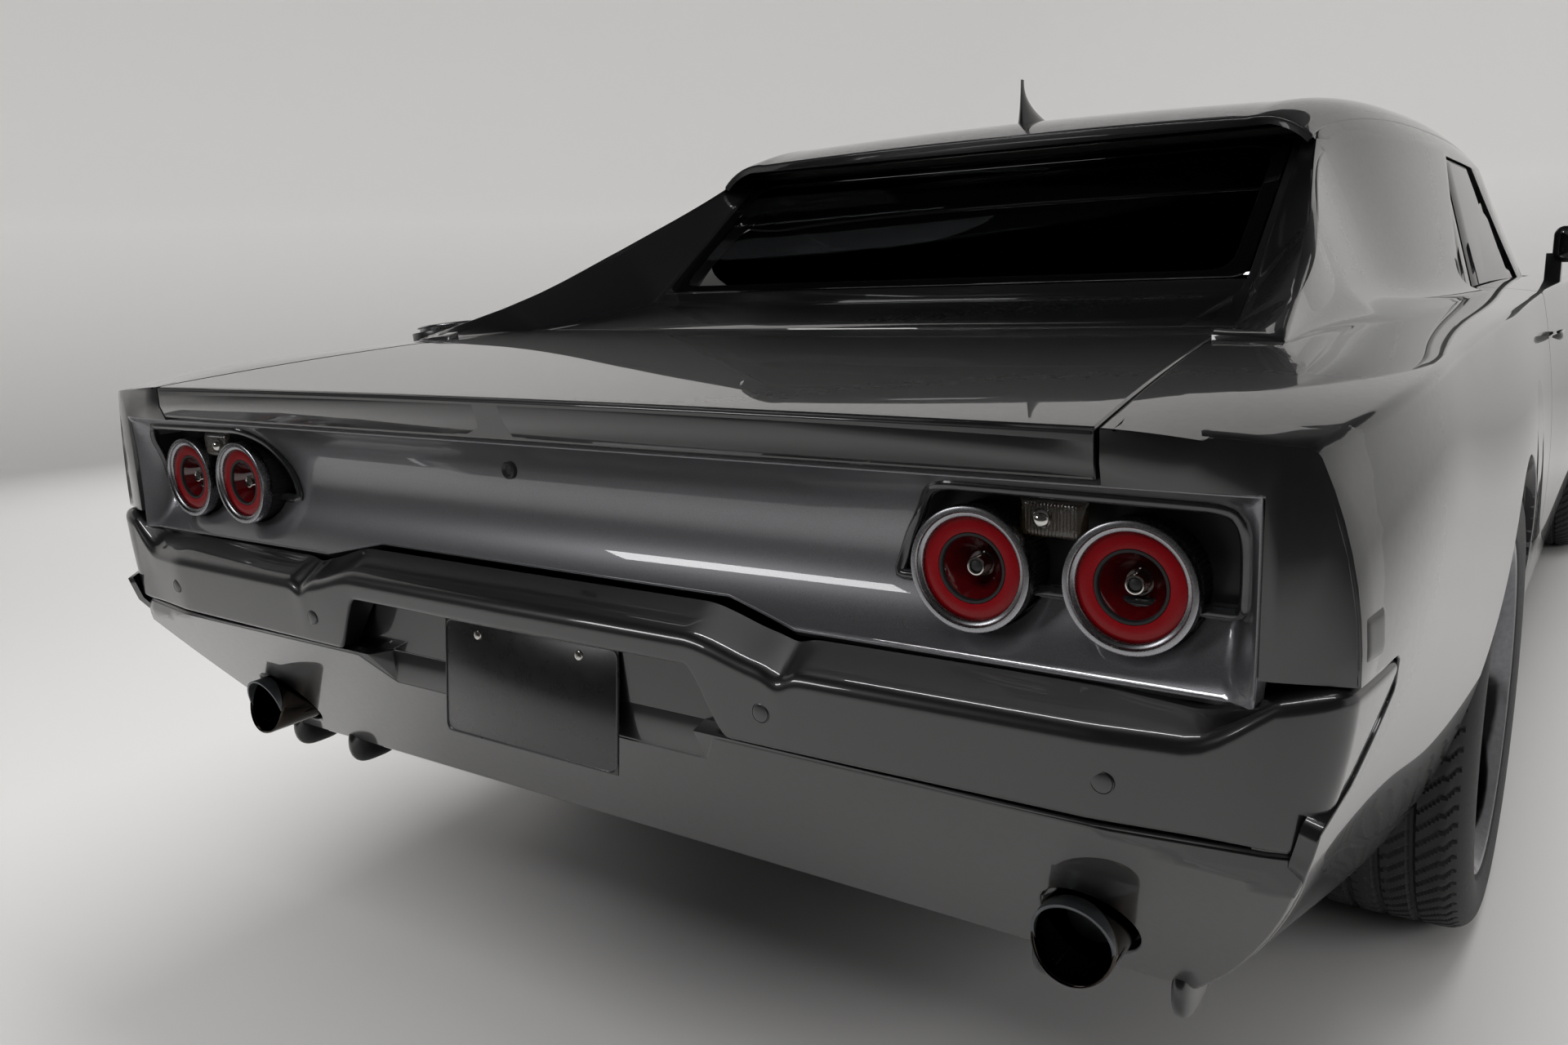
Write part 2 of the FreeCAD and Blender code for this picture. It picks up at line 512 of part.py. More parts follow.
    shell = without(outer, *wells, sunk_hole(prism_xy(hood_plan(-GAP / 2, -GAP), 700.0, FAR), deeper),
                    panel_bay, tail_hollow, *bumper_parts)
    shell = shell.fuse(without(roof, tunnel())).removeSplitter()
    shell = without(shell, sunk_hole(lid_hole, deeper), lid_hole.common(lip_hole), door_hole, mirrored(door_hole),
                    hollow, side_glass_outline(), screen_hole, rear_hole, doorway, mirrored(doorway), *cabin,
                    *service, lip_face)

    pieces = {"trunk_lid": lid, "hood": hood, "door_left": door, "door_right": mirrored(door),
              "rear_window": rear_window}
    pieces.update(split_shell(shell))
    pieces.update(side_and_front_glass())
    pieces.update(tail_pieces(whole, bumper_parts, valance_tool))
    return whole, outer, roof, pieces


def sunk_hole(block, deeper):
    """The part of a lid's opening that its skin needs, leaving the structure below it."""
    return block.cut(deeper)


def split_shell(shell):
    """Splits the body in white where its real panels meet."""
    high = box(-FAR, FAR, -FAR, FAR, ROOF_SPLIT_Z, FAR)
    glass_foot_z = REAR_GLASS_FOOT[1] + 4.0
    quarter_zone = fused([box(-FAR, -300.0, REAR_CABIN_HALF_W, FAR, 0.0, ROOF_SPLIT_Z),
                          box(-FAR, -300.0, 0.0, REAR_CABIN_HALF_W, glass_foot_z, ROOF_SPLIT_Z)])
    deck_zone = box(-FAR, -300.0, -REAR_CABIN_HALF_W, REAR_CABIN_HALF_W, 0.0, glass_foot_z)
    rocker_zone = box(-300.0, DOOR_FRONT_X + GAP / 2, 600.0, FAR, 0.0, SILL_TOP_Z)
    fender_zone = [box(DOOR_FRONT_X + GAP / 2, HOOD_REAR_X, 700.0, FAR, 0.0, ROOF_SPLIT_Z),
                   box(HOOD_REAR_X, NOSE_SPLIT_X, 0.0, FAR, 0.0, ROOF_SPLIT_Z)]
    nose_zone = box(NOSE_SPLIT_X, FAR, -FAR, FAR, 0.0, ROOF_SPLIT_Z)
    bumper_zone = box(NOSE_SPLIT_X, FAR, -FAR, FAR, 0.0, 560.0)
    fender_tool = fused(fender_zone)
    fenders = Part.makeCompound(shared(shell, fender_tool).Solids + shared(shell, mirrored(fender_tool)).Solids)
    quarters = Part.makeCompound(shared(shell, quarter_zone).Solids + shared(shell, mirrored(quarter_zone)).Solids)
    rockers = Part.makeCompound(shared(shell, rocker_zone).Solids + shared(shell, mirrored(rocker_zone)).Solids)
    scuttle = without(shell, high, quarter_zone, mirrored(quarter_zone), deck_zone, rocker_zone,
                      mirrored(rocker_zone), fender_tool, mirrored(fender_tool), nose_zone)
    return {
        "roof_panel": shared(shell, high),
        "quarter_panels": quarters,
        "rear_deck": shared(shell, deck_zone),
        "rockers": rockers,
        "scuttle_and_pillars": scuttle,
        "front_fenders": fenders,
        "nose_panel": shared(shell, nose_zone).cut(bumper_zone),
    }


def side_and_front_glass():
    """Windscreen, door glasses and quarter windows, cut from one thin shell just inside the roof's form."""
    pane = glasshouse(GLASS_RECESS).cut(glasshouse(GLASS_RECESS + GLASS_T))
    screen = pane.common(prism_yz([(-735.0, 975.0), (-622.0, 1285.0), (622.0, 1285.0), (735.0, 975.0)],
                                  150.0, 1400.0))
    left = box(-FAR, FAR, 500.0, FAR, 0.0, FAR)
    door_pane = shared(pane, side_glass_outline(-GAP, rear=DOOR_REAR_X + 30.0), left)
    quarter_pane = shared(pane, side_glass_outline(0.0, front=DOOR_REAR_X + 5.0), left)
    return {"windshield": screen, "door_glass_left": door_pane, "door_glass_right": mirrored(door_pane),
            "quarter_windows": both_sides(quarter_pane)}


def tail_pieces(whole, bumper_parts, valance_tool):
    """Tail panel with its lamp recesses, rear bumper and valance."""
    scoop = [V(-2512.0, 0, LIP_Z - GAP), V(-2454.0, 0, 785.0), V(-2497.0, 0, 716.0)]
    edges = [Part.Arc(*scoop).toShape()]
    back = BOOT_REAR_X
    corners = [scoop[2], V(back, 0, scoop[2].z), V(back, 0, scoop[0].z), scoop[0]]
    edges += [Part.LineSegment(a, b).toShape() for a, b in zip(corners, corners[1:])]
    panel = Part.Face(Part.Wire(edges)).extrude(V(0, 2 * PILLAR_Y, 0)).translated(V(0, -PILLAR_Y, 0))
    front_view = mirror_outline(PANEL_BOTTOM) + [(PILLAR_Y, 718.0), (PILLAR_Y, 900.0), (-PILLAR_Y, 900.0),
                                                 (-PILLAR_Y, 718.0)]
    panel = shared(panel, prism_yz(front_view, -2700.0, -2300.0), whole)
    panel = panel.cut(plan_cutter(TAIL_PLAN, -1))
    recess = prism_yz([(506.0, 784.0), (520.0, 826.0), (566.0, 886.0), (828.0, 884.0), (850.0, 862.0),
                       (850.0, 788.0)], -2700.0, LAMP_X + LAMP_DEPTH)
    cans = [cylinder_x(LAMP_R + 1.0, -2700.0, LAMP_X + LAMP_DEPTH, y, LAMP_Z) for y in LAMP_YS]
    pocket = fused([recess] + cans)
    panel = panel.cut([pocket, mirrored(pocket)])

    bumper_plan = [(y, x - 10.0) for y, x in TAIL_PLAN[:-1]] + [(965.0, -2480.0)]
    bumper = fused(bumper_parts).common(whole.cut(plan_cutter(bumper_plan, -1)))
    plate_recess = prism_xy([(-2700.0, -340.0), (-2496.0, -272.0), (-2496.0, 272.0), (-2700.0, 340.0)],
                            500.0, 672.0)
    bumper = bumper.cut(plate_recess)
    valance = shared(whole, valance_tool).cut([plan_cutter(TAIL_PLAN, -1), plate_recess])
    x, y, z = EXHAUST_TIP
    holes = [cylinder_x(EXHAUST_R + 8.0, -2600.0, -2200.0, side * y, z) for side in (-1, 1)]
    return {"tail_panel": panel, "rear_bumper": bumper, "rear_valance": valance.cut(holes)}


def tail_lamps():
    """Four round canister lamps and their lenses."""
    can = [(LAMP_R, -2.0), (LAMP_R, 14.0), (LAMP_R - 4.0, 16.0), (LAMP_R - 4.0, LAMP_DEPTH),
           (LENS_R, LAMP_DEPTH), (LENS_R, -2.0)]
    lens = [(LENS_R, 6.0), (LENS_R, LAMP_DEPTH), (8.0, LAMP_DEPTH), (8.0, 50.0), (20.0, 48.0), (29.0, 10.0),
            (33.0, 6.0)]
    cans, lenses = [], []
    for side in (-1, 1):
        for y in LAMP_YS:
            cans.append(ring_x(can, LAMP_X, side * y, LAMP_Z))
            lenses.append(ring_x(lens, LAMP_X, side * y, LAMP_Z))
            lenses[-1] = lenses[-1].fuse(cylinder_x(8.5, LAMP_X + 30.0, LAMP_X + LAMP_DEPTH, side * y, LAMP_Z))
    return Part.makeCompound(cans), Part.makeCompound([s.removeSplitter() for s in lenses])


def number_plate():
    """Blank plate leaning back at the foot, on a bracket that stands on the recess floor."""
    plate = box(-2.0, 0.0, -PLATE_W / 2, PLATE_W / 2, -PLATE_H / 2, PLATE_H / 2)
    plate.rotate(V(0, 0, 0), V(0, 1, 0), PLATE_LEAN)
    plate.translate(V(-2505.0, 0, 586.0))
    bracket = prism_xz([(-2499.0, 655.0), (-2512.0, 528.0), (-2496.0, 528.0), (-2496.0, 655.0)], -60.0, 60.0)
    return fused([plate, bracket])


# ---------------------------------------------------------------- nose
def strip_along_nose(offset, thickness, half_w, z0, z1):
    """Bar that follows the nose's plan line, set back by the offset."""
    plan = [(y, x) for y, x in NOSE_PLAN[:3]]
    y_end = half_w
    (ya, xa), (yb, xb) = plan[1], plan[2]
    end = (y_end, xa + (xb - xa) * (y_end - ya) / (yb - ya))
    half = [plan[0], plan[1], end]
    line = mirror_outline(half)
    front = [(x - offset, y) for y, x in line]
    rear = [(x - offset - thickness, y) for y, x in reversed(line)]
    return prism_xy(front + rear, z0, z1)


def nose_pieces(whole, nose):
    """Nose panel with its grille mouth, grille, headlamps and front bumper."""
    mouth = box(NOSE_SPLIT_X, FAR, -GRILLE_HALF_W, GRILLE_HALF_W, GRILLE_Z0, GRILLE_Z1)
    nose = nose.cut(mouth)
    rim = strip_along_nose(30.0, 40.0, GRILLE_HALF_W, GRILLE_Z0, GRILLE_Z1)
    rim = rim.cut(box(2000.0, FAR, -GRILLE_HALF_W + 16.0, GRILLE_HALF_W - 16.0,
                      GRILLE_Z0 + 14.0, GRILLE_Z1 - 14.0))
    bars = [strip_along_nose(42.0, 16.0, BEZEL_Y + 5.0, GRILLE_Z0 + pitch, GRILLE_Z0 + pitch + 6.0)
            for pitch in range(32, 180, 20)]
    upright = strip_along_nose(44.0, 22.0, BEZEL_Y, GRILLE_Z0, GRILLE_Z1)
    posts = [box(2400.0, 2500.0, y - 5.0, y + 5.0, GRILLE_Z0 + 10.0, GRILLE_Z1 - 10.0).common(upright)
             for y in (-150.0, 0.0, 150.0)]
    bezels = strip_along_nose(40.0, 24.0, GRILLE_HALF_W - 8.0, GRILLE_Z0 + 8.0, GRILLE_Z1 - 8.0)
    bezels = bezels.cut(box(2000.0, FAR, -BEZEL_Y, BEZEL_Y, 0.0, 1000.0))
    grille = fused([rim, bezels] + bars + posts)
    lamps = []
    for side in (-1, 1):
        for y in HEADLAMP_YS:
            x = 2462.0 - 0.09 * (y - HEADLAMP_YS[0])
            cup = ring_x([(HEADLAMP_R, 0.0), (HEADLAMP_R, -70.0), (20.0, -82.0), (0.0, -82.0), (0.0, -14.0),
                          (HEADLAMP_R - 10.0, -4.0), (HEADLAMP_R - 6.0, 0.0)], x, side * y, HEADLAMP_Z)
            lamps.append(cup)
            grille = grille.cut(cylinder_x(HEADLAMP_R, 2300.0, 2600.0, side * y, HEADLAMP_Z))
    bumper_plan = [(0.0, 2545.0), (450.0, 2530.0), (800.0, 2490.0), (960.0, 2420.0)]
    bumper = whole.cut(plan_cutter(bumper_plan, 1)).common(box(NOSE_SPLIT_X, FAR, -FAR, FAR, 0.0, 560.0))
    intake = prism_yz([(-430.0, 365.0), (-470.0, 435.0), (470.0, 435.0), (430.0, 365.0)], 2300.0, 2700.0)
    hollow = box(2300.0, 2460.0, -780.0, 780.0, 0.0, 545.0)
    lip = whole.cut(plan_cutter(NOSE_PLAN, 1)).common(box(NOSE_SPLIT_X, FAR, -FAR, FAR, 0.0, 452.0))
    upper = bumper.common(box(NOSE_SPLIT_X, FAR, -FAR, FAR, 452.0, 560.0))
    return {"nose_panel": nose, "grille": grille, "headlamps": Part.makeCompound(lamps),
            "front_bumper": fused([upper, lip]).cut([intake, hollow])}


# ---------------------------------------------------------------- floor and running gear
def floor_pan():
    """Floor with its tunnel, the raised pan under the rear bench and the front seats' rails."""
    top, wide_half, half = FLOOR_Z + FLOOR_T, CABIN_HALF_W, REAR_CABIN_HALF_W
    pan_top = REAR_PAN_Z + FLOOR_T
    shells = [
        box(WELL_FRONT_X, FIREWALL_X, -wide_half, wide_half, FLOOR_Z, top),
        box(RISER_X - FLOOR_T, RISER_X, -half, half, FLOOR_Z, pan_top),
        box(WELL_FRONT_X, WELL_FRONT_X + FLOOR_T, -half, half, FLOOR_Z, pan_top),
        box(REAR_PAN_END_X, RISER_X, -half, half, REAR_PAN_Z, pan_top),
        prism_xz([(REAR_PAN_END_X, REAR_PAN_Z), (BULKHEAD_X, REAR_SLOPE_Z), (BULKHEAD_X, REAR_SLOPE_Z + FLOOR_T),
                  (REAR_PAN_END_X, pan_top)], -half, half),
        prism_yz([(-170.0, FLOOR_Z), (-150.0, 425.0), (-120.0, 445.0), (120.0, 445.0), (150.0, 425.0),
                  (170.0, FLOOR_Z)], BULKHEAD_X, FIREWALL_X),
    ]
    bore = prism_yz([(-145.0, 0.0), (-130.0, 410.0), (-105.0, 425.0), (105.0, 425.0), (130.0, 410.0), (145.0, 0.0)],
                    -2000.0, 2000.0)
    rails = [box(-330.0, 130.0, side * y - 12.0, side * y + 12.0, FLOOR_Z + 10.0, SEAT_BASE_Z)
             for side in (-1, 1) for y in (250.0, 570.0)]
    pads = [box(x - 40.0, x + 40.0, side * JACK_PAD_Y - 30.0, side * JACK_PAD_Y + 30.0, JACK_PAD_Z, FLOOR_Z + 5.0)
            for side in (-1, 1) for x in JACK_PAD_XS]
    return fused(shells + rails + pads).cut(bore)


def seats():
    """Front buckets and rear bench, each a cushion and a leaning back."""
    front, rear = [], []
    back = [(-345.0, 300.0), (-235.0, 300.0), (-345.0, 640.0), (-400.0, 930.0), (-410.0, 1075.0), (-490.0, 1075.0),
            (-500.0, 930.0), (-460.0, 640.0)]
    for side in (-1, 1):
        y0, y1 = sorted((side * 165.0, side * 655.0))
        cushion = box(-225.0, 260.0, y0, y1, SEAT_BASE_Z, 430.0)
        front.append(cushion.makeFillet(35.0, [e for e in cushion.Edges if e.BoundBox.ZMin > 400.0]))
        front.append(prism_xz(back, y0 + 10.0, y1 - 10.0))
        y0, y1 = sorted((side * 178.0, side * 572.0))
        bench = box(REAR_PAN_END_X, -640.0, y0, y1, REAR_PAN_Z + FLOOR_T, BENCH_TOP_Z)
        rear.append(bench.makeFillet(35.0, [e for e in bench.Edges if e.BoundBox.ZMin > BENCH_TOP_Z - 40.0]))
    rear.append(prism_xz([(-1225.0, 545.0), (-1110.0, 492.0), (-1140.0, 700.0), (-1170.0, 880.0), (-1225.0, 880.0)],
                         -572.0, 572.0))
    return Part.makeCompound(front), Part.makeCompound(rear)


def dashboard():
    """Instrument panel across the car under the windscreen."""
    outline = [(620.0, 700.0), (600.0, 800.0), (640.0, 880.0), (720.0, 915.0), (FIREWALL_X, 915.0),
               (FIREWALL_X, 640.0), (700.0, 640.0)]
    body = prism_xz(outline, -755.0, 755.0)
    binnacle = prism_xz([(575.0, 800.0), (560.0, 905.0), (600.0, 935.0), (760.0, 930.0), (760.0, 800.0)],
                        235.0, 590.0)
    return fused([body, binnacle])


def steering_wheel():
    """Rim, three spokes, boss and the column that carries it into the instrument panel."""
    rim = Part.makeTorus(178.0, 14.0)
    boss = Part.makeCylinder(48.0, 46.0, V(0, 0, -26.0))
    spokes = []
    for angle in (0.0, 180.0, 270.0):
        spoke = box(30.0, 178.0, -13.0, 13.0, -8.0, 4.0)
        spoke.rotate(V(0, 0, 0), V(0, 0, 1), angle)
        spokes.append(spoke)
    column = Part.makeCylinder(22.0, 260.0, V(0, 0, -270.0))
    wheel = fused([rim, boss, column] + spokes)
    wheel.rotate(V(0, 0, 0), V(0, 0, 1), 90.0)
    wheel.rotate(V(0, 0, 0), V(0, 1, 0), -65.0)
    wheel.translate(V(430.0, 412.0, 790.0))
    return wheel


def engine_block():
    """Engine and gearbox as one plain block at its real place."""
    block = prism_yz([(-170.0, 260.0), (-190.0, 420.0), (-300.0, 640.0), (-230.0, 740.0), (230.0, 740.0),
                      (300.0, 640.0), (190.0, 420.0), (170.0, 260.0)], 1230.0, 1830.0)
    gearbox = prism_xz([(1240.0, 230.0), (1240.0, 400.0), (900.0, 380.0), (700.0, 360.0), (700.0, 260.0),
                        (900.0, 235.0)], -100.0, 100.0)
    return fused([block, gearbox])


def driveshaft():
    """Propeller shaft from the gearbox to the final drive."""
    return fused([bar((700.0, 0, 312.0), (-1195.0, 0, 352.0), 34.0),
                  cylinder_x(48.0, 660.0, 700.0, 0, 312.0), cylinder_x(48.0, -1203.0, -1165.0, 0, 352.0)])


def rear_axle():
    """Final drive, axle tubes, hub flanges, stubs, springs, links and calipers."""
    x = REAR_AXLE_X
    pieces = [Part.makeSphere(128.0, V(x, 0, TYRE_R)), cylinder_x(60.0, x, -1203.0, 0, 352.0),
              cylinder_y(44.0, -REAR_TYRE_Y + 90.0, REAR_TYRE_Y - 90.0, x, TYRE_R)]
    for side in (-1, 1):
        eye_x, eye_z = LINK_EYE
        pieces += hub_carrier(x, REAR_TYRE_Y, side)
        pieces.append(cylinder_z(48.0, TYRE_R, BOOT_FLOOR_Z, x, side * 460.0))
        pieces.append(bar((x, side * LINK_Y, 330.0), (eye_x, side * LINK_Y, eye_z), 20.0))
        pieces.append(cylinder_y(24.0, *span(side, LINK_Y - 34.0, LINK_Y + 34.0), eye_x, eye_z))
        pieces.append(box(eye_x - 14.0, eye_x + 24.0, *span(side, LINK_Y - 40.0, LINK_Y - 28.0), eye_z, FLOOR_Z))
        pieces.append(box(eye_x - 14.0, eye_x + 24.0, *span(side, LINK_Y + 28.0, LINK_Y + 40.0), eye_z, FLOOR_Z))
    return fused(pieces)


def span(side, a, b):
    """The two ends of a stretch across the car on the given side, in rising order."""
    return sorted((side * a, side * b))


def hub_carrier(x, y_tread, side):
    """Flange, wheel stub and brake caliper on one side, placed from the middle of the tread."""
    flange_in, flange_out, stub_end = y_tread - 90.0, y_tread - DISC_INBOARD - DISC_T / 2 - 5.0, y_tread + 54.0
    y0, y1 = span(side, flange_in, flange_out)
    s0, s1 = span(side, flange_out - 5.0, stub_end)
    disc_in, disc_out = y_tread - DISC_INBOARD - DISC_T / 2, y_tread - DISC_INBOARD + DISC_T / 2
    pieces = [cylinder_y(60.0, y0, y1, x, TYRE_R), cylinder_y(STUB_R, s0, s1, x, TYRE_R)]
    c0, c1 = span(side, disc_in - 26.0, disc_out + 26.0)
    d0, d1 = span(side, disc_in - 5.0, disc_out + 5.0)
    caliper = box(x - 214.0, x - 118.0, c0, c1, TYRE_R - 60.0, TYRE_R + 60.0)
    slot = cylinder_y(DISC_R + 6.0, d0, d1, x, TYRE_R)
    keep = cylinder_y(BARREL_R - 10.0, c0 - 1.0, c1 + 1.0, x, TYRE_R)
    caliper = caliper.common(keep).cut(slot)
    b0, b1 = span(side, disc_in - 26.0, flange_out)
    arm = box(x - 130.0, x, b0, b1, TYRE_R - 28.0, TYRE_R + 28.0)
    return pieces + [caliper, arm]


def knuckle(side):
    """Front knuckle: kingpin post with pins, stub and caliper."""
    x = FRONT_AXLE_X
    post = box(x - 27.0, x + 27.0, *span(side, KINGPIN_Y - 24.0, KINGPIN_Y + 25.0), 215.0, 515.0)
    pins = cylinder_z(KINGPIN_R, 172.0, 556.0, x, side * KINGPIN_Y)
    return fused([post, pins] + hub_carrier(x, FRONT_TYRE_Y, side))


def front_suspension():
    """Crossmember, towers, wishbones whose eyes hold the knuckles' pins, and coil-over dampers."""
    x = FRONT_AXLE_X
    pieces = [box(x - 150.0, x + 150.0, -430.0, 430.0, 165.0, 215.0)]
    for side in (-1, 1):
        pieces.append(box(x - 75.0, x + 75.0, *span(side, 385.0, 440.0), 165.0, 640.0))
        for eye_z0, eye_z1, root_z in ((178.0, 208.0, 190.0), (522.0, 550.0, 560.0)):
            mid = (eye_z0 + eye_z1) / 2
            pieces.append(cylinder_z(WISHBONE_EYE_R, eye_z0, eye_z1, x, side * KINGPIN_Y))
            for reach in (-62.0, 62.0):
                pieces.append(bar((x + reach, side * 415.0, root_z), (x, side * (KINGPIN_Y - WISHBONE_EYE_R + 6.0), mid), 13.0))
        pieces.append(bar((x, side * 600.0, 193.0), (x, side * 500.0, 600.0), 40.0))
        pieces.append(box(x - 50.0, x + 50.0, *span(side, 430.0, 530.0), 580.0, 640.0))
    bores = [cylinder_z(KINGPIN_R + BORE_CLEARANCE, 100.0, 700.0, x, side * KINGPIN_Y) for side in (-1, 1)]
    return fused(pieces).cut(bores)


def wheel(x, y_tread, width, side):
    """Rim barrel with a dished five-spoke face, hub and brake disc, as one turning piece."""
    half = width / 2
    outer = half - 10.0
    barrel = ring_y([(RIM_LIP_R, -outer), (RIM_LIP_R, -outer + 9.0), (RIM_SEAT_R, -outer + 14.0),
                     (RIM_SEAT_R, outer - 14.0), (RIM_LIP_R, outer - 9.0), (RIM_LIP_R, outer),
                     (RIM_LIP_R - 9.0, outer), (BARREL_R + 6.0, outer - 22.0), (BARREL_R, outer - 60.0),
                     (BARREL_R, -outer + 12.0), (RIM_LIP_R - 12.0, -outer)], x, 0.0, TYRE_R)
    bore_r, back = STUB_R + BORE_CLEARANCE, -DISC_INBOARD - DISC_T / 2
    hub = ring_y([(bore_r, back), (72.0, back), (72.0, 60.0), (60.0, 70.0), (0.0, 70.0), (0.0, 62.0),
                  (bore_r, 62.0)], x, 0.0, TYRE_R)
    disc = ring_y([(70.0, back), (DISC_R, back), (DISC_R, back + DISC_T), (70.0, back + DISC_T)], x, 0.0, TYRE_R)
    spokes = []
    for i in range(SPOKES):
        spoke = Part.makeLoft([spoke_section(60.0, 44.0, 30.0, 68.0), spoke_section(160.0, 30.0, 34.0, 64.0),
                               spoke_section(BARREL_R + 8.0, 46.0, 30.0, 62.0)], True, True)
        spoke.rotate(V(0, 0, 0), V(0, 1, 0), 360.0 / SPOKES * i)
        spoke.translate(V(x, 0, TYRE_R))
        spokes.append(spoke)
    whole = fused([barrel, hub, disc] + spokes).translated(V(0, y_tread, 0))
    return whole if side > 0 else mirrored(whole)


def spoke_section(radius, half_w, y0, y1):
    """Slightly tapered rectangular spoke section at one radius."""
    face_half_w = half_w * 0.7
    corners = [V(-half_w, y0, radius), V(half_w, y0, radius), V(face_half_w, y1, radius), V(-face_half_w, y1, radius)]
    return Part.makePolygon(corners + [corners[0]])


def tyre(x, y_tread, width, side):
    """Low-profile tyre whose beads sit on the rim's seat between its lips."""
    half = width / 2
    bead = half - 24.0
    outer_wall = [(RIM_SEAT_R, bead), (RIM_LIP_R + 1.0, half - 19.5), (276.0, half - 8.0), (306.0, half),
                  (340.0, half - 9.0), (354.0, half - 27.0), (TYRE_R, half - 56.0)]
    ring = ring_y([(r, -y) for r, y in outer_wall] + outer_wall[::-1], x, 0.0, TYRE_R)
    return ring.translated(V(0, side * y_tread, 0))


def exhaust_system():
    """Twin pipes, silencers, hangers and slash-cut tips."""
    x, y, z = EXHAUST_TIP
    pieces = []
    for side in (-1, 1):
        run = [(1300.0, side * 225.0, 290.0), (1120.0, side * 225.0, 150.0), (-920.0, side * 225.0, 150.0),
               (-1090.0, side * 250.0, 290.0), (-1240.0, side * 265.0, 452.0), (-1300.0, side * 275.0, 474.0),
               (-1480.0, side * 300.0, 474.0), (-1800.0, side * 470.0, 400.0)]
        front = pipe(run, 30.0)
        silencer = cylinder_x(78.0, -2180.0, -1790.0, side * 470.0, 400.0)
        rear = pipe([(-2170.0, side * 500.0, 400.0), (-2255.0, side * y, z), (x + 60.0, side * y, z)], 30.0)
        tip = bar((x - 30.0, side * y, z), (x + 130.0, side * y, z), EXHAUST_R)
        bore = bar((x - 60.0, side * y, z), (x + 110.0, side * y, z), EXHAUST_R - 3.5)
        slash = box(x - 100.0, x, -FAR, FAR, -200.0, 200.0)
        slash.rotate(V(x, 0, 0), V(0, 1, 0), -14.0)
        slash.translate(V(0, 0, z))
        tip = tip.cut([bore, slash])
        tip = tip.fuse(cylinder_x(EXHAUST_R, x + 108.0, x + 130.0, side * y, z))
        hangers = [box(hx - 12.0, hx + 12.0, *span(side, 215.0, 235.0), 160.0, FLOOR_Z)
                   for hx in (650.0, -200.0, -850.0)]
        hangers.append(box(-2020.0, -1960.0, *span(side, 455.0, 485.0), 460.0, BOOT_FLOOR_Z))
        pieces += [fused([front, silencer, rear, tip] + hangers)]
    return Part.makeCompound(pieces)


def fuel_tank():
    """Pressed tank under the boot floor."""
    tank = box(-2200.0, -1750.0, -350.0, 350.0, 300.0, BOOT_FLOOR_Z)
    return tank.makeFillet(35.0, [e for e in tank.Edges if e.BoundBox.ZMax < BOOT_FLOOR_Z - 1.0])


def mirror_left():
    """Door mirror head on a short stalk that stands on the door's shoulder."""
    head = box(395.0, 470.0, 872.0, 1035.0, 1015.0, 1110.0)
    head = head.makeFillet(24.0, head.Edges)
    stalk = prism_xz([(400.0, 940.0), (480.0, 940.0), (465.0, 1040.0), (415.0, 1040.0)], 858.0, 895.0)
    return fused([head, stalk])


def on_quarter(shape):
    """Lays a shape made about the vertical axis onto the left quarter panel's top."""
    turned = shape.copy()
    turned.rotate(V(0, 0, 0), V(1, 0, 0), CAP_TILT)
    return turned.translated(CAP_CENTRE)


def filler():
    """Fixed filler ring with hinge lugs, and the flip cap."""
    ring = Part.makeCylinder(CAP_RING_R, CAP_BASE_H + 10.0, V(0, 0, -10.0))
    ring = ring.cut(Part.makeCylinder(CAP_R - 14.0, CAP_BASE_H, V(0, 0, -4.0)))
    lugs = [box(CAP_R - 2.0, CAP_R + 14.0, y0, y0 + 6.0, CAP_BASE_H - 1.0, CAP_BASE_H + 14.0) for y0 in (-17.0, 11.0)]
    bore = Part.makeCylinder(3.05, 60.0, V(CAP_R + 7.0, -30.0, CAP_BASE_H + 7.0), V(0, 1, 0))
    ring = fused([ring] + lugs).cut(bore)
    cap = Part.makeCylinder(CAP_R, CAP_T, V(0, 0, CAP_BASE_H + 1.0))
    cap = cap.makeFillet(4.0, [e for e in cap.Edges if e.BoundBox.ZMin > CAP_BASE_H + 5.0])
    cap = cap.cut(box(CAP_R - 7.0, CAP_R + 5.0, -20.0, 20.0, 0.0, 60.0))
    arm = box(CAP_R - 16.0, CAP_R + 10.0, -9.0, 9.0, CAP_BASE_H + 3.0, CAP_BASE_H + 11.0)
    pin = Part.makeCylinder(3.0, 34.0, V(CAP_R + 7.0, -17.0, CAP_BASE_H + 7.0), V(0, 1, 0))
    barrel = Part.makeCylinder(5.0, 18.0, V(CAP_R + 7.0, -9.0, CAP_BASE_H + 7.0), V(0, 1, 0))
    return on_quarter(ring), on_quarter(fused([cap, arm, pin, barrel]))


def antenna_fin(roof):
    """Low tapered aerial fin on the roof's rear."""
    outline = [(-845.0, 1340.0), (-930.0, 1405.0), (-985.0, 1446.0), (-1010.0, 1446.0), (-1045.0, 1340.0)]
    blade = prism_xz(outline, -9.0, 9.0)
    foot = prism_xz([(-835.0, 1340.0), (-900.0, 1390.0), (-1020.0, 1390.0), (-1055.0, 1340.0)], -24.0, 24.0)
    return fused([blade, foot]).cut(roof)


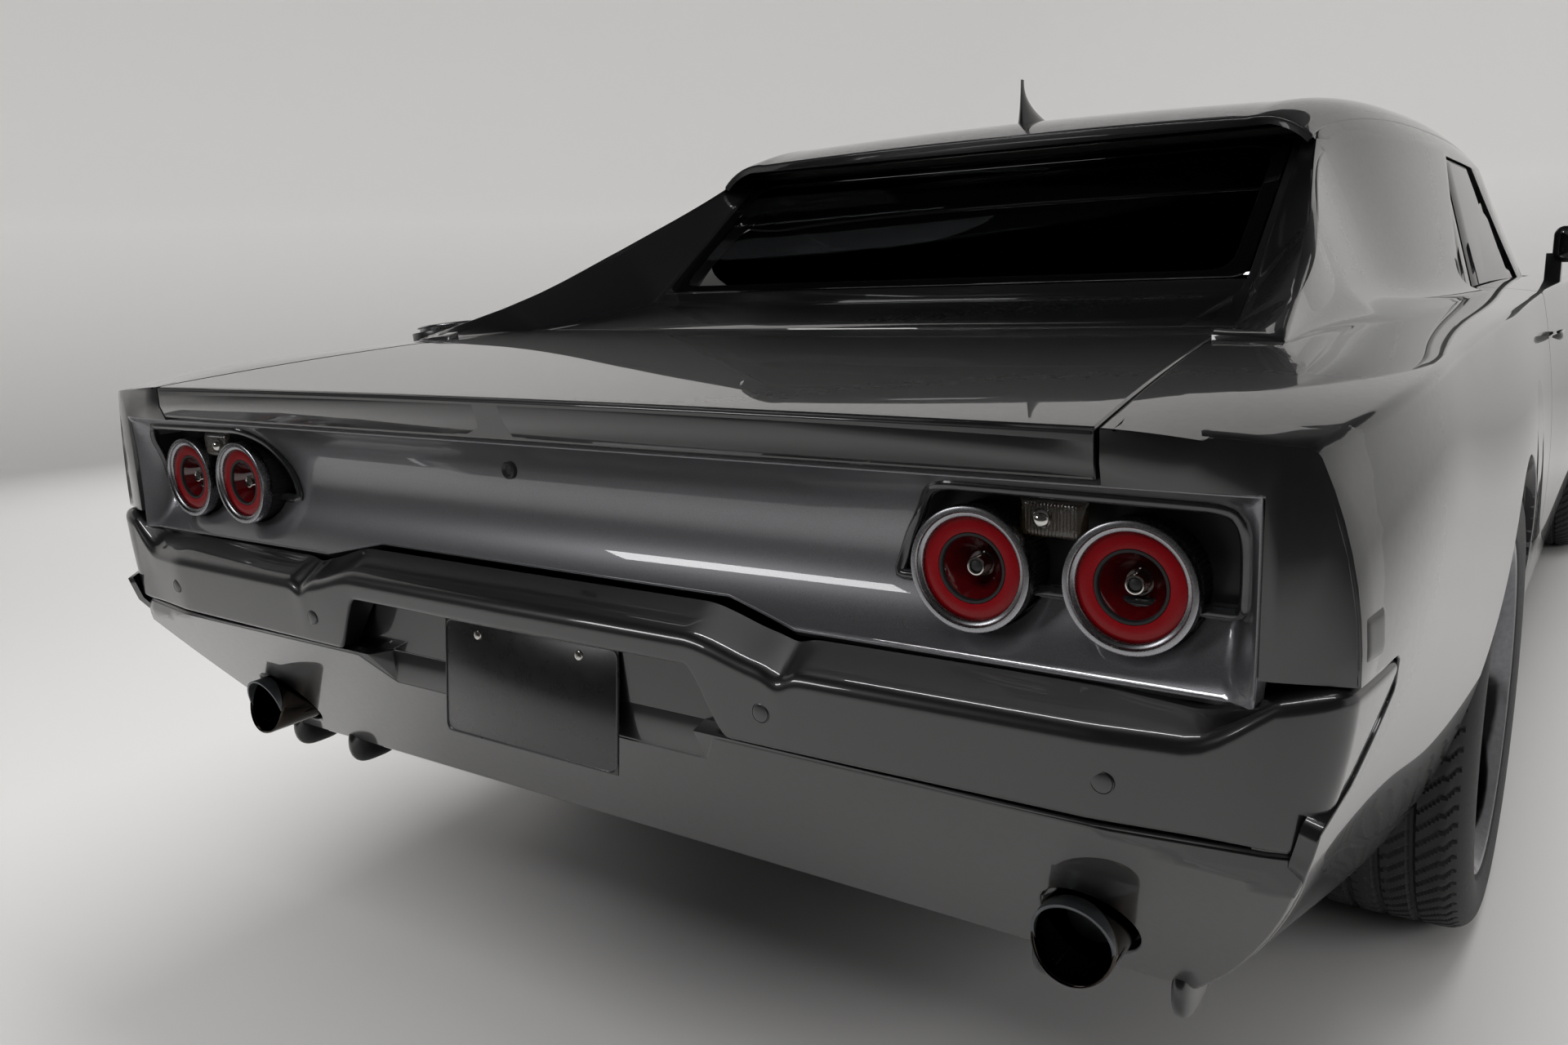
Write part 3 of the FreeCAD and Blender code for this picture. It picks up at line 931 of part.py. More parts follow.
def main():
    """Builds and writes every sub-part."""
    whole, outer, roof, pieces = body_panels()
    pieces.update(nose_pieces(whole, pieces["nose_panel"]))
    pieces["floor_pan"] = floor_pan()
    pieces["tail_lamp_cans"], pieces["tail_lamp_lenses"] = tail_lamps()
    pieces["number_plate"] = number_plate()
    pieces["front_seats"], pieces["rear_seat"] = seats()
    pieces["dashboard"] = dashboard()
    pieces["steering_wheel"] = steering_wheel().cut(pieces["dashboard"])
    pieces["engine_block"] = engine_block()
    pieces["driveshaft"] = driveshaft().cut(pieces["engine_block"])
    pieces["rear_axle"] = rear_axle()
    pieces["front_suspension"] = front_suspension()
    pieces["exhaust_system"] = exhaust_system()
    pieces["fuel_tank"] = fuel_tank()
    pieces["antenna_fin"] = antenna_fin(roof)
    ring, pieces["filler_cap"] = filler()
    pieces["filler_ring"] = ring.cut([outer, pieces["quarter_panels"]])
    pieces["mirror_left"] = mirror_left().cut(pieces["door_left"])
    pieces["mirror_right"] = mirrored(pieces["mirror_left"])
    pieces["knuckle_left"], pieces["knuckle_right"] = knuckle(1), knuckle(-1)
    for name, x, y, width, side in (("fl", FRONT_AXLE_X, FRONT_TYRE_Y, FRONT_TYRE_W, 1),
                                    ("fr", FRONT_AXLE_X, FRONT_TYRE_Y, FRONT_TYRE_W, -1),
                                    ("rl", REAR_AXLE_X, REAR_TYRE_Y, REAR_TYRE_W, 1),
                                    ("rr", REAR_AXLE_X, REAR_TYRE_Y, REAR_TYRE_W, -1)):
        pieces["wheel_" + name] = wheel(x, y, width, side)
        pieces["tyre_" + name] = tyre(x, y, width, side)
    for name in sorted(pieces):
        save(name, pieces[name])


main()
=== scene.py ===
"""Surfaces, finishes, studio and camera for a two-door fastback muscle car.

Lengths inside the classes are in millimetres in the car's own frame: +X forward, +Y to its left,
+Z up, origin on the ground under the middle of the car.  Meshes are written out in metres.
"""
import logging
import math
from dataclasses import dataclass
from enum import Enum
from typing import Callable, ClassVar, Sequence

import bmesh
import bpy
import numpy as np
from mathutils import Matrix, Vector
from mathutils.geometry import delaunay_2d_cdt


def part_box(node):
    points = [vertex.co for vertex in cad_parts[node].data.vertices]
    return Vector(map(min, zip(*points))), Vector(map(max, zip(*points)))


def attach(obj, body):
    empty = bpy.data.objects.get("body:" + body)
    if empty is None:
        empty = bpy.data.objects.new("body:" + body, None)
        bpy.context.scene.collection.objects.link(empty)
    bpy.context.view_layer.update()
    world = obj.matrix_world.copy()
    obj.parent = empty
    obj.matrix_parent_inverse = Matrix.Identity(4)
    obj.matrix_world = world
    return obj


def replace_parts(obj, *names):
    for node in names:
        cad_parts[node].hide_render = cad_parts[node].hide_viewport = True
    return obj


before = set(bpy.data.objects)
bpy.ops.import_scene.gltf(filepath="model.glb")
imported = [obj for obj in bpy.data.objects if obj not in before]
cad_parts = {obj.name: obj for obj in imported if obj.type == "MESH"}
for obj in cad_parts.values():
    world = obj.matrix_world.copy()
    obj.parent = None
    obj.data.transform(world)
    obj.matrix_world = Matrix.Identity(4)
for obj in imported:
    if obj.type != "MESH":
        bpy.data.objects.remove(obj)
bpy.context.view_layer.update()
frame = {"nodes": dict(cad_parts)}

LOG = logging.getLogger("muscle_car")
MM = 0.001
BODY = "body"
WELD_MM = 0.02
FULL_TURN = 2 * math.pi


# ---------------------------------------------------------------- colour and node helpers
def linear(hex_colour: str) -> tuple[float, float, float, float]:
    """Turns an sRGB hex colour to linear light.

    Args:
        hex_colour: six hex digits, such as "1A1A1C".

    Returns:
        Red, green, blue and an opacity of 1.
    """
    parts = [int(hex_colour[i:i + 2], 16) / 255.0 for i in (0, 2, 4)]
    r, g, b = [c / 12.92 if c <= 0.04045 else ((c + 0.055) / 1.055) ** 2.4 for c in parts]
    return r, g, b, 1.0


def add_node(tree: bpy.types.NodeTree, kind: str, settings: dict | None = None,
             inputs: dict | None = None) -> bpy.types.Node:
    """Adds one shader node with its settings and links.

    Args:
        tree: the material's or world's node tree.
        kind: the node's type name without the ShaderNode prefix.
        settings: attribute names and values set on the node.
        inputs: socket names or numbers, each with a constant or an output socket to link from.

    Returns:
        The new node.
    """
    node = tree.nodes.new("ShaderNode" + kind)
    for name, value in (settings or {}).items():
        setattr(node, name, value)
    for socket, value in (inputs or {}).items():
        if isinstance(value, bpy.types.NodeSocket):
            tree.links.new(value, node.inputs[socket])
        else:
            node.inputs[socket].default_value = value
    return node


@dataclass(frozen=True)
class Finish:
    """One real material: its colours, surface numbers and the pattern that breaks them up.

    Attributes:
        name: what the material is and how its surface was made.
        colour: main sRGB hex colour.
        second: colour that the pattern mixes in.
        metallic: 0 for paint, plastic and rubber, 1 for bare metal.
        roughness: middle of the roughness range.
        rough_spread: how far the pattern moves the roughness each way.
        pattern_mm: real size of the pattern's cells or grain.
        stretch: how much longer the pattern is along X, Y and Z.
        bump_mm: height of the relief.
        coat: clear lacquer weight.
        coat_roughness: its roughness.
        transmission: share of light let through.
        ior: index of refraction, left alone for metals.
        sheen: fabric or dust sheen weight.
    """
    name: str
    colour: str
    second: str
    metallic: float = 0.0
    roughness: float = 0.5
    rough_spread: float = 0.05
    pattern_mm: float = 20.0
    stretch: tuple[float, float, float] = (1.0, 1.0, 1.0)
    bump_mm: float = 0.0
    coat: float = 0.0
    coat_roughness: float = 0.03
    transmission: float = 0.0
    ior: float = 1.5
    sheen: float = 0.0

    def material(self) -> bpy.types.Material:
        """Builds the material at the first call.

        Returns:
            The material, the same one at every call.
        """
        known = bpy.data.materials.get(self.name)
        if known:
            return known
        made = bpy.data.materials.new(self.name)
        made.use_nodes = True
        tree = made.node_tree
        surface = tree.nodes["Principled BSDF"]
        place = add_node(tree, "TexCoord")
        scale = [1.0 / max(s, 1e-3) for s in self.stretch]
        stretched = add_node(tree, "Mapping", inputs={"Vector": place.outputs["Object"], "Scale": scale})
        grain = add_node(tree, "TexNoise", inputs={"Vector": stretched.outputs["Vector"], "Detail": 3.0,
                                                   "Scale": 1000.0 / self.pattern_mm})
        tint = add_node(tree, "Mix", {"data_type": "RGBA"},
                        {0: grain.outputs["Fac"], 6: linear(self.colour), 7: linear(self.second)})
        tree.links.new(tint.outputs[2], surface.inputs["Base Color"])
        rough = add_node(tree, "MapRange", inputs={"Value": grain.outputs["Fac"],
                                                   "To Min": max(self.roughness - self.rough_spread, 0.0),
                                                   "To Max": min(self.roughness + self.rough_spread, 1.0)})
        tree.links.new(rough.outputs["Result"], surface.inputs["Roughness"])
        if self.bump_mm:
            relief = add_node(tree, "Bump", inputs={"Height": grain.outputs["Fac"], "Strength": 1.0,
                                                    "Distance": self.bump_mm * MM})
            tree.links.new(relief.outputs["Normal"], surface.inputs["Normal"])
        numbers = {"Metallic": self.metallic, "Coat Weight": self.coat, "Coat Roughness": self.coat_roughness,
                   "Transmission Weight": self.transmission, "Sheen Weight": self.sheen}
        if self.metallic < 0.5:
            numbers["IOR"] = self.ior
        for socket, value in numbers.items():
            surface.inputs[socket].default_value = value
        return made


class Finishes(Enum):
    """Every finish on the car."""

    # two-stage acrylic paint, sprayed and polished: deep black under lacquer, faint orange peel
    GLOSS_BLACK = Finish("gloss_black_lacquered_paint", "060607", "09090A", roughness=0.35, rough_spread=0.03,
                         pattern_mm=9.0, coat=1.0, coat_roughness=0.012)
    # metallic basecoat: aluminium flake under lacquer; flakes of 0.1 mm are drawn at 1.1 mm so that they show
    GUNMETAL = Finish("gunmetal_metallic_paint", "5C5C5F", "8C8C90", metallic=0.85, roughness=0.40,
                      rough_spread=0.10, pattern_mm=1.1, coat=1.0, coat_roughness=0.02)
    # dark grey enamel under lacquer on the recess mouldings
    MOULDING = Finish("dark_grey_enamel", "1E1F21", "28292B", metallic=0.3, roughness=0.25, rough_spread=0.05,
                      pattern_mm=8.0, coat=1.0, coat_roughness=0.03)
    # bitumen sprayed on the floor pan: matt, with a coarse stipple
    UNDERSEAL = Finish("sprayed_black_underseal", "151516", "202022", roughness=0.75, rough_spread=0.1,
                       pattern_mm=6.0, bump_mm=0.5)
    # aluminium turned on a lathe: fine lines run round the ring, so the grain is short along X
    SATIN_ALUMINIUM = Finish("turned_satin_aluminium", "8E8E91", "A2A2A6", metallic=1.0, roughness=0.27,
                             rough_spread=0.03, pattern_mm=3.0, stretch=(0.1, 1.0, 1.0))
    # black nickel plate polished over steel, faintly brown
    BLACK_NICKEL = Finish("polished_black_nickel", "3A3531", "4A443F", metallic=1.0, roughness=0.07,
                          rough_spread=0.03, pattern_mm=30.0)
    # stainless steel, polished: screws, nuts, posts and bezels
    BRIGHT_STEEL = Finish("polished_stainless_steel", "B9B7B2", "CFCDC8", metallic=1.0, roughness=0.12,
                          rough_spread=0.04, pattern_mm=12.0)
    # cast iron under chassis paint: axle, arms and block
    CAST_IRON = Finish("painted_cast_iron", "1B1B1C", "2B2A29", roughness=0.6, rough_spread=0.12,
                       pattern_mm=5.0, bump_mm=0.4)
    # sheet steel with a zinc coat: tank and exhaust pipes
    GALVANISED = Finish("galvanised_sheet_steel", "55585B", "6F7275", metallic=0.9, roughness=0.42,
                        rough_spread=0.1, pattern_mm=14.0)
    # moulded plastic with a fine spark-eroded grain
    MOULDED_BLACK = Finish("moulded_black_plastic", "121213", "19191A", roughness=0.48, rough_spread=0.08,
                           pattern_mm=2.5, bump_mm=0.05)
    # moulded plastic from a polished tool
    GLOSS_PLASTIC = Finish("gloss_black_plastic", "0A0A0B", "0E0E0F", roughness=0.12, rough_spread=0.03,
                           pattern_mm=15.0, coat=0.6)
    # black glass frit fired on to the window's edge
    CERAMIC = Finish("fired_black_ceramic_on_glass", "020202", "030303", roughness=0.04, rough_spread=0.0)
    # vulcanised rubber: dark grey, a little dusty
    TYRE_RUBBER = Finish("vulcanised_tyre_rubber", "1A1A1B", "232324", roughness=0.62, rough_spread=0.1,
                         pattern_mm=7.0, bump_mm=0.08)
    # forged aluminium, polished and tinted dark
    DARK_RIM = Finish("dark_polished_aluminium", "5A5A5D", "77777A", metallic=1.0, roughness=0.16,
                      rough_spread=0.05, pattern_mm=10.0)
    # float glass with a privacy tint in its body
    TINTED_GLASS = Finish("tinted_window_glass", "1C1D1E", "222324", roughness=0.0, rough_spread=0.0,
                          pattern_mm=200.0, transmission=1.0, ior=1.5)
    # clear polycarbonate of the headlamp lenses
    CLEAR_LENS = Finish("clear_moulded_polycarbonate", "E8E8E4", "F2F2F0", roughness=0.03, rough_spread=0.02,
                        pattern_mm=5.0, transmission=0.9, ior=1.58)
    # red acrylic moulded with a fine dot pattern of 1.6 mm
    RED_LENS = Finish("red_moulded_acrylic", "66040B", "860A12", roughness=0.3, rough_spread=0.05,
                      pattern_mm=1.6, bump_mm=0.25, coat=0.25, coat_roughness=0.02, ior=1.22)
    # smooth red acrylic over a dark reflector
    RED_BOWL = Finish("red_acrylic_bowl", "2A0205", "4A0508", roughness=0.08, rough_spread=0.04,
                      pattern_mm=10.0, coat=1.0, coat_roughness=0.02, ior=1.49)
    # smoked amber acrylic with moulded ribs
    AMBER_LENS = Finish("amber_ribbed_acrylic", "1C150B", "3B2E1A", roughness=0.12, rough_spread=0.05,
                        pattern_mm=4.0, stretch=(1.0, 1.0, 0.2), bump_mm=0.6, coat=1.0, transmission=0.25, ior=1.49)
    # grained cow hide, dyed black
    LEATHER = Finish("grained_black_leather", "161617", "202021", roughness=0.46, rough_spread=0.08,
                     pattern_mm=2.2, bump_mm=0.22, sheen=0.1)
    # satin black paint on stamped aluminium
    PLATE_PAINT = Finish("satin_black_stamped_plate", "0E0E10", "131315", roughness=0.28, rough_spread=0.04,
                         pattern_mm=20.0, coat=0.5, coat_roughness=0.08)
    # float glass silvered on its back
    MIRROR = Finish("silvered_mirror_glass", "C9CCCF", "D6D9DC", metallic=1.0, roughness=0.02, rough_spread=0.01)


# ---------------------------------------------------------------- curves and body form
class Spline:
    """Natural cubic spline through rows of values at rising stations."""

    def __init__(self, stations: np.ndarray, values: np.ndarray) -> None:
        """Solves for the second derivatives that make slope and curvature continuous.

        Args:
            stations: rising positions, one for each row.
            values: one row of values for each station.
        """
        self.x = np.asarray(stations, float)
        self.y = np.asarray(values, float).reshape(len(self.x), -1)
        n, h = len(self.x), np.diff(self.x)
        matrix, right = np.eye(n), np.zeros_like(self.y)
        inner = np.arange(1, n - 1)
        matrix[inner, inner - 1], matrix[inner, inner], matrix[inner, inner + 1] = h[:-1], 2 * (h[:-1] + h[1:]), h[1:]
        slope = np.diff(self.y, axis=0) / h[:, None]
        right[inner] = 6 * np.diff(slope, axis=0)
        self.m = np.linalg.solve(matrix, right)

    def __call__(self, at: np.ndarray) -> np.ndarray:
        """Values of the spline.

        Args:
            at: positions along the spline.

        Returns:
            The values there, with the value index first.
        """
        at = np.asarray(at, float)
        i = np.clip(np.searchsorted(self.x, at) - 1, 0, len(self.x) - 2)
        h = (self.x[i + 1] - self.x[i])[..., None]
        a = (self.x[i + 1] - at)[..., None] / h
        b = 1.0 - a
        out = a * self.y[i] + b * self.y[i + 1] + ((a ** 3 - a) * self.m[i] + (b ** 3 - b) * self.m[i + 1]) * h ** 2 / 6
        return np.moveaxis(out, -1, 0)


def circle_through(a: tuple, b: tuple, c: tuple) -> tuple[np.ndarray, np.ndarray, np.ndarray]:
    """Finds the circle through three points, where the perpendiculars halfway along two chords meet.

    Args:
        a: first point, as two numbers or arrays (u, v).
        b: second point.
        c: third point.

    Returns:
        The centre's u and v, and the radius.
    """
    (ax, ay), (bx, by), (cx, cy) = a, b, c
    d = 2 * (ax * (by - cy) + bx * (cy - ay) + cx * (ay - by))
    a2, b2, c2 = ax ** 2 + ay ** 2, bx ** 2 + by ** 2, cx ** 2 + cy ** 2
    u = (a2 * (by - cy) + b2 * (cy - ay) + c2 * (ay - by)) / d
    v = (a2 * (cx - bx) + b2 * (ax - cx) + c2 * (bx - ax)) / d
    return u, v, np.hypot(ax - u, ay - v)


def bezier(a: np.ndarray, corner: np.ndarray, b: np.ndarray, t: np.ndarray) -> np.ndarray:
    """Rounds a corner: the curve (1-t)^2 a + 2t(1-t) corner + t^2 b.

    Args:
        a: start points, shape (n, k).
        corner: the corner cut off, shape (n, k).
        b: end points, shape (n, k).
        t: fractions along the curve, shape (m,).

    Returns:
        Points of shape (n, m, k).
    """
    t = t[None, :, None]
    return (1 - t) ** 2 * a[:, None] + 2 * t * (1 - t) * corner[:, None] + t ** 2 * b[:, None]


def resample(points: np.ndarray, count: int) -> np.ndarray:
    """Evenly spaced points along a polyline.

    Args:
        points: corner points, shape (k, dimensions).
        count: how many points come back.

    Returns:
        Points of shape (count, dimensions).
    """
    points = np.asarray(points, float)
    run = np.concatenate([[0.0], np.cumsum(np.linalg.norm(np.diff(points, axis=0), axis=1))])
    at = np.linspace(0.0, run[-1], count)
    return np.stack([np.interp(at, run, points[:, k]) for k in range(points.shape[1])], axis=1)


@dataclass(frozen=True)
class BodyForm:
    """The body's master form: sections along the car joined by splines, as its panels are cut from it."""

    # x; sill half-width, underside; widest point y, z; crease y, z; shoulder's inner end y, z; deck centre z
    lower_rows: tuple = (
        (-2580, 785, 345, 926, 715, 876, 922, 737, 944, 952),
        (-2400, 815, 340, 950, 728, 923, 950, 722, 960, 962),
        (-2000, 865, 290, 968, 742, 935, 966, 690, 984, 982),
        (-1345, 900, 225, 972, 740, 926, 971, 700, 990, 992),
        (-690, 908, 188, 950, 700, 913, 970, 740, 985, 990),
        (150, 908, 180, 946, 690, 906, 966, 740, 982, 988),
        (950, 906, 185, 956, 685, 905, 953, 720, 968, 982),
        (1605, 895, 230, 970, 690, 903, 938, 690, 955, 966),
        (2150, 872, 290, 945, 665, 880, 905, 660, 923, 934),
        (2560, 825, 330, 895, 640, 830, 864, 615, 876, 884),
    )
    # x; half-width at the belt; roof rail y, z; roof centre z
    roof_rows: tuple = (
        (-2010, 800, 762, 984, 992),
        (-1829, 796, 735, 1029, 1046),
        (-1534, 796, 690, 1128, 1178),
        (-1240, 797, 634, 1244, 1316),
        (-1000, 800, 655, 1280, 1362),
        (-600, 804, 692, 1284, 1374),
        (0, 804, 694, 1280, 1362),
        (300, 803, 690, 1272, 1342),
        (1200, 800, 680, 1230, 1270),
    )
    # x; foot of the sail panel's inner wall y, z; its crest y, z
    tunnel_rows: tuple = (
        (-1990, 700, 982, 752, 998),
        (-1829, 660, 989, 727, 1029),
        (-1530, 602, 1027, 678, 1130),
        (-1345, 594, 1157, 640, 1212),
        (-1170, 586, 1280, 606, 1288),
    )
    sill_chamfer: float = 55.0
    belt_z: float = 880.0
    shoulder_bulge: float = 3.0
    # roof section: where the roll from the rail ends, as shares of half-width and rise, and a point halfway round it
    roll_share: float = 0.3
    roll_end: tuple[float, float] = (0.8, 0.88)
    roll_middle: tuple[float, float] = (0.935, 0.62)

    def lower(self, x: np.ndarray) -> np.ndarray:
        """The nine section values of the lower body at stations x."""
        rows = np.array(self.lower_rows, float)
        return Spline(rows[:, 0], rows[:, 1:])(x)

    def roof(self, x: np.ndarray) -> np.ndarray:
        """Belt half-width, rail y, rail z and roof centre z at stations x."""
        rows = np.array(self.roof_rows, float)
        return Spline(rows[:, 0], rows[:, 1:])(x)

    def tunnel(self, x: np.ndarray) -> np.ndarray:
        """Foot y, foot z, crest y and crest z of the sail's inner wall, straight between stations."""
        rows = np.array(self.tunnel_rows, float)
        return np.stack([np.interp(x, rows[:, 0], rows[:, k]) for k in range(1, 5)])

    def side_y(self, x: np.ndarray, z: np.ndarray) -> np.ndarray:
        """Half-width of the flank: the circle through sill, widest point and crease.

        Args:
            x: stations.
            z: heights there.

        Returns:
            Half-widths.
        """
        wr, zb, wm, zm, wc, zc, _, _, _ = self.lower(x)
        u, v, r = circle_through((wr, zb + self.sill_chamfer), (wm, zm), (wc, zc))
        return u + np.sqrt(np.maximum(r * r - (z - v) ** 2, 0.0))

    def deck_z(self, x: np.ndarray, y: np.ndarray) -> np.ndarray:
        """Height of the top surfaces: a shallow crown in the middle, a shoulder arc outboard of it.

        Args:
            x: stations.
            y: distances from the middle.

        Returns:
            Heights.
        """
        _, _, _, _, wc, zc, ys, zs, zt = self.lower(x)
        y = np.abs(y)
        crown_c = (zt ** 2 - zs ** 2 - ys ** 2) / (2 * (zt - zs) + 1e-9)
        crown_r = zt - crown_c
        crown = crown_c + np.sign(crown_r) * np.sqrt(np.maximum(crown_r ** 2 - y ** 2, 0.0))
        u, v, r = circle_through((ys, zs), ((wc + ys) / 2, (zc + zs) / 2 + self.shoulder_bulge), (wc, zc))
        shoulder = v + np.sqrt(np.maximum(r * r - (y - u) ** 2, 0.0))
        return np.where(y <= ys, crown, shoulder)

    def house_y(self, x: np.ndarray, z: np.ndarray) -> np.ndarray:
        """Half-width of the glasshouse side, on the straight line from belt to roof rail."""
        yb, yr, zr, _ = self.roof(x)
        return yb + (yr - yb) * (z - self.belt_z) / (zr - self.belt_z)

    def roof_z(self, x: np.ndarray, share: np.ndarray) -> tuple[np.ndarray, np.ndarray]:
        """Roof surface from rail to centre.

        Args:
            x: stations.
            share: 0 at the roof rail, 1 on the centre line, the same shape as x.

        Returns:
            y and z of the surface there.
        """
        _, yr, zr, zt = self.roof(x)
        (sy, sz), (ry, rz) = [(wide * yr, zr + rise * (zt - zr)) for wide, rise in (self.roll_end, self.roll_middle)]
        u, v, r = circle_through((yr, zr), (ry, rz), (sy, sz))
        start, stop = np.arctan2(zr - v, yr - u), np.arctan2(sz - v, sy - u)
        angle = start + (stop - start) * np.clip(share / self.roll_share, 0, 1)
        roll_y, roll_z = u + r * np.cos(angle), v + r * np.sin(angle)
        crown_c = (zt ** 2 - sz ** 2 - sy ** 2) / (2 * (zt - sz))
        crown_r = zt - crown_c
        y = sy * (1 - np.clip((share - self.roll_share) / (1 - self.roll_share), 0, 1))
        z = crown_c + np.sign(crown_r) * np.sqrt(np.maximum(crown_r ** 2 - y ** 2, 0.0))
        rolled = share < self.roll_share
        return np.where(rolled, roll_y, y), np.where(rolled, roll_z, z)


FORM = BodyForm()


# ---------------------------------------------------------------- mesh building
def unit(v: np.ndarray) -> np.ndarray:
    """Vectors scaled to length one."""
    return v / np.maximum(np.linalg.norm(v, axis=-1, keepdims=True), 1e-9)


def signed_power(value: np.ndarray, power: float) -> np.ndarray:
    """Raises a value's size to a power and keeps its sign, which squares off a sine or cosine."""
    return np.sign(value) * np.abs(value) ** power


def smooth_step(value: np.ndarray, start: float, stop: float) -> np.ndarray:
    """Goes smoothly from 0 at start to 1 at stop."""
    t = np.clip((value - start) / (stop - start), 0, 1)
    return t * t * (3 - 2 * t)


def quads_of(index: np.ndarray) -> np.ndarray:
    """Four point numbers for each cell of a grid of point numbers."""
    return np.stack([index[:-1, :-1], index[1:, :-1], index[1:, 1:], index[:-1, 1:]], axis=-1).reshape(-1, 4)


def with_rims(p: np.ndarray, radius: float, depth: float, edges: str = "uUvV", up: float = 1.0) -> np.ndarray:
    """Rolls a panel's edges over and turns a flange down behind them.

    Each marked edge is drawn in by the radius, carried round a quarter circle, and then straight down, so the
    panel's outline stays where it was.

    Args:
        p: surface points, shape (n, m, 3).
        radius: radius of the rolled edge.
        depth: how far the flange reaches below the surface.
        edges: which edges: u and v for the low ends, U and V for the high ends.
        up: 1 where u cross v points outwards, -1 where it points inwards.

    Returns:
        Points of a larger grid.
    """
    n, m, _ = p.shape
    du, dv = np.gradient(p, axis=0), np.gradient(p, axis=1)
    normal = unit(np.cross(du, dv)) * up
    turn = np.radians([0.0, 30.0, 60.0, 90.0])
    reach = np.append(radius * np.sin(turn) - radius, 0.0)
    fall = np.append(radius * (1 - np.cos(turn)), depth)

    def steps(count: int, low: bool, high: bool) -> tuple[np.ndarray, np.ndarray, np.ndarray]:
        """Rows of the larger grid along one direction.

        Args:
            count: rows of the given grid.
            low: add the rolled edge before the first row.
            high: add it after the last row.

        Returns:
            Grid index, outward reach and fall of every row.
        """
        index, out, down = np.arange(count), np.zeros(count), np.zeros(count)
        if low:
            index = np.concatenate([np.zeros(len(reach), int), index[1:]])
            out, down = np.concatenate([-reach[::-1], out[1:]]), np.concatenate([fall[::-1], down[1:]])
        if high:
            index = np.concatenate([index[:-1], np.full(len(reach), count - 1)])
            out, down = np.concatenate([out[:-1], reach]), np.concatenate([down[:-1], fall])
        return index, out, down

    iu, ou, fu = steps(n, "u" in edges, "U" in edges)
    iv, ov, fv = steps(m, "v" in edges, "V" in edges)
    grid_u, grid_v = np.ix_(iu, iv)
    shift = ou[:, None, None] * unit(du)[grid_u, grid_v] + ov[None, :, None] * unit(dv)[grid_u, grid_v]
    return p[grid_u, grid_v] + shift - np.maximum(fu[:, None], fv[None])[..., None] * normal[grid_u, grid_v]


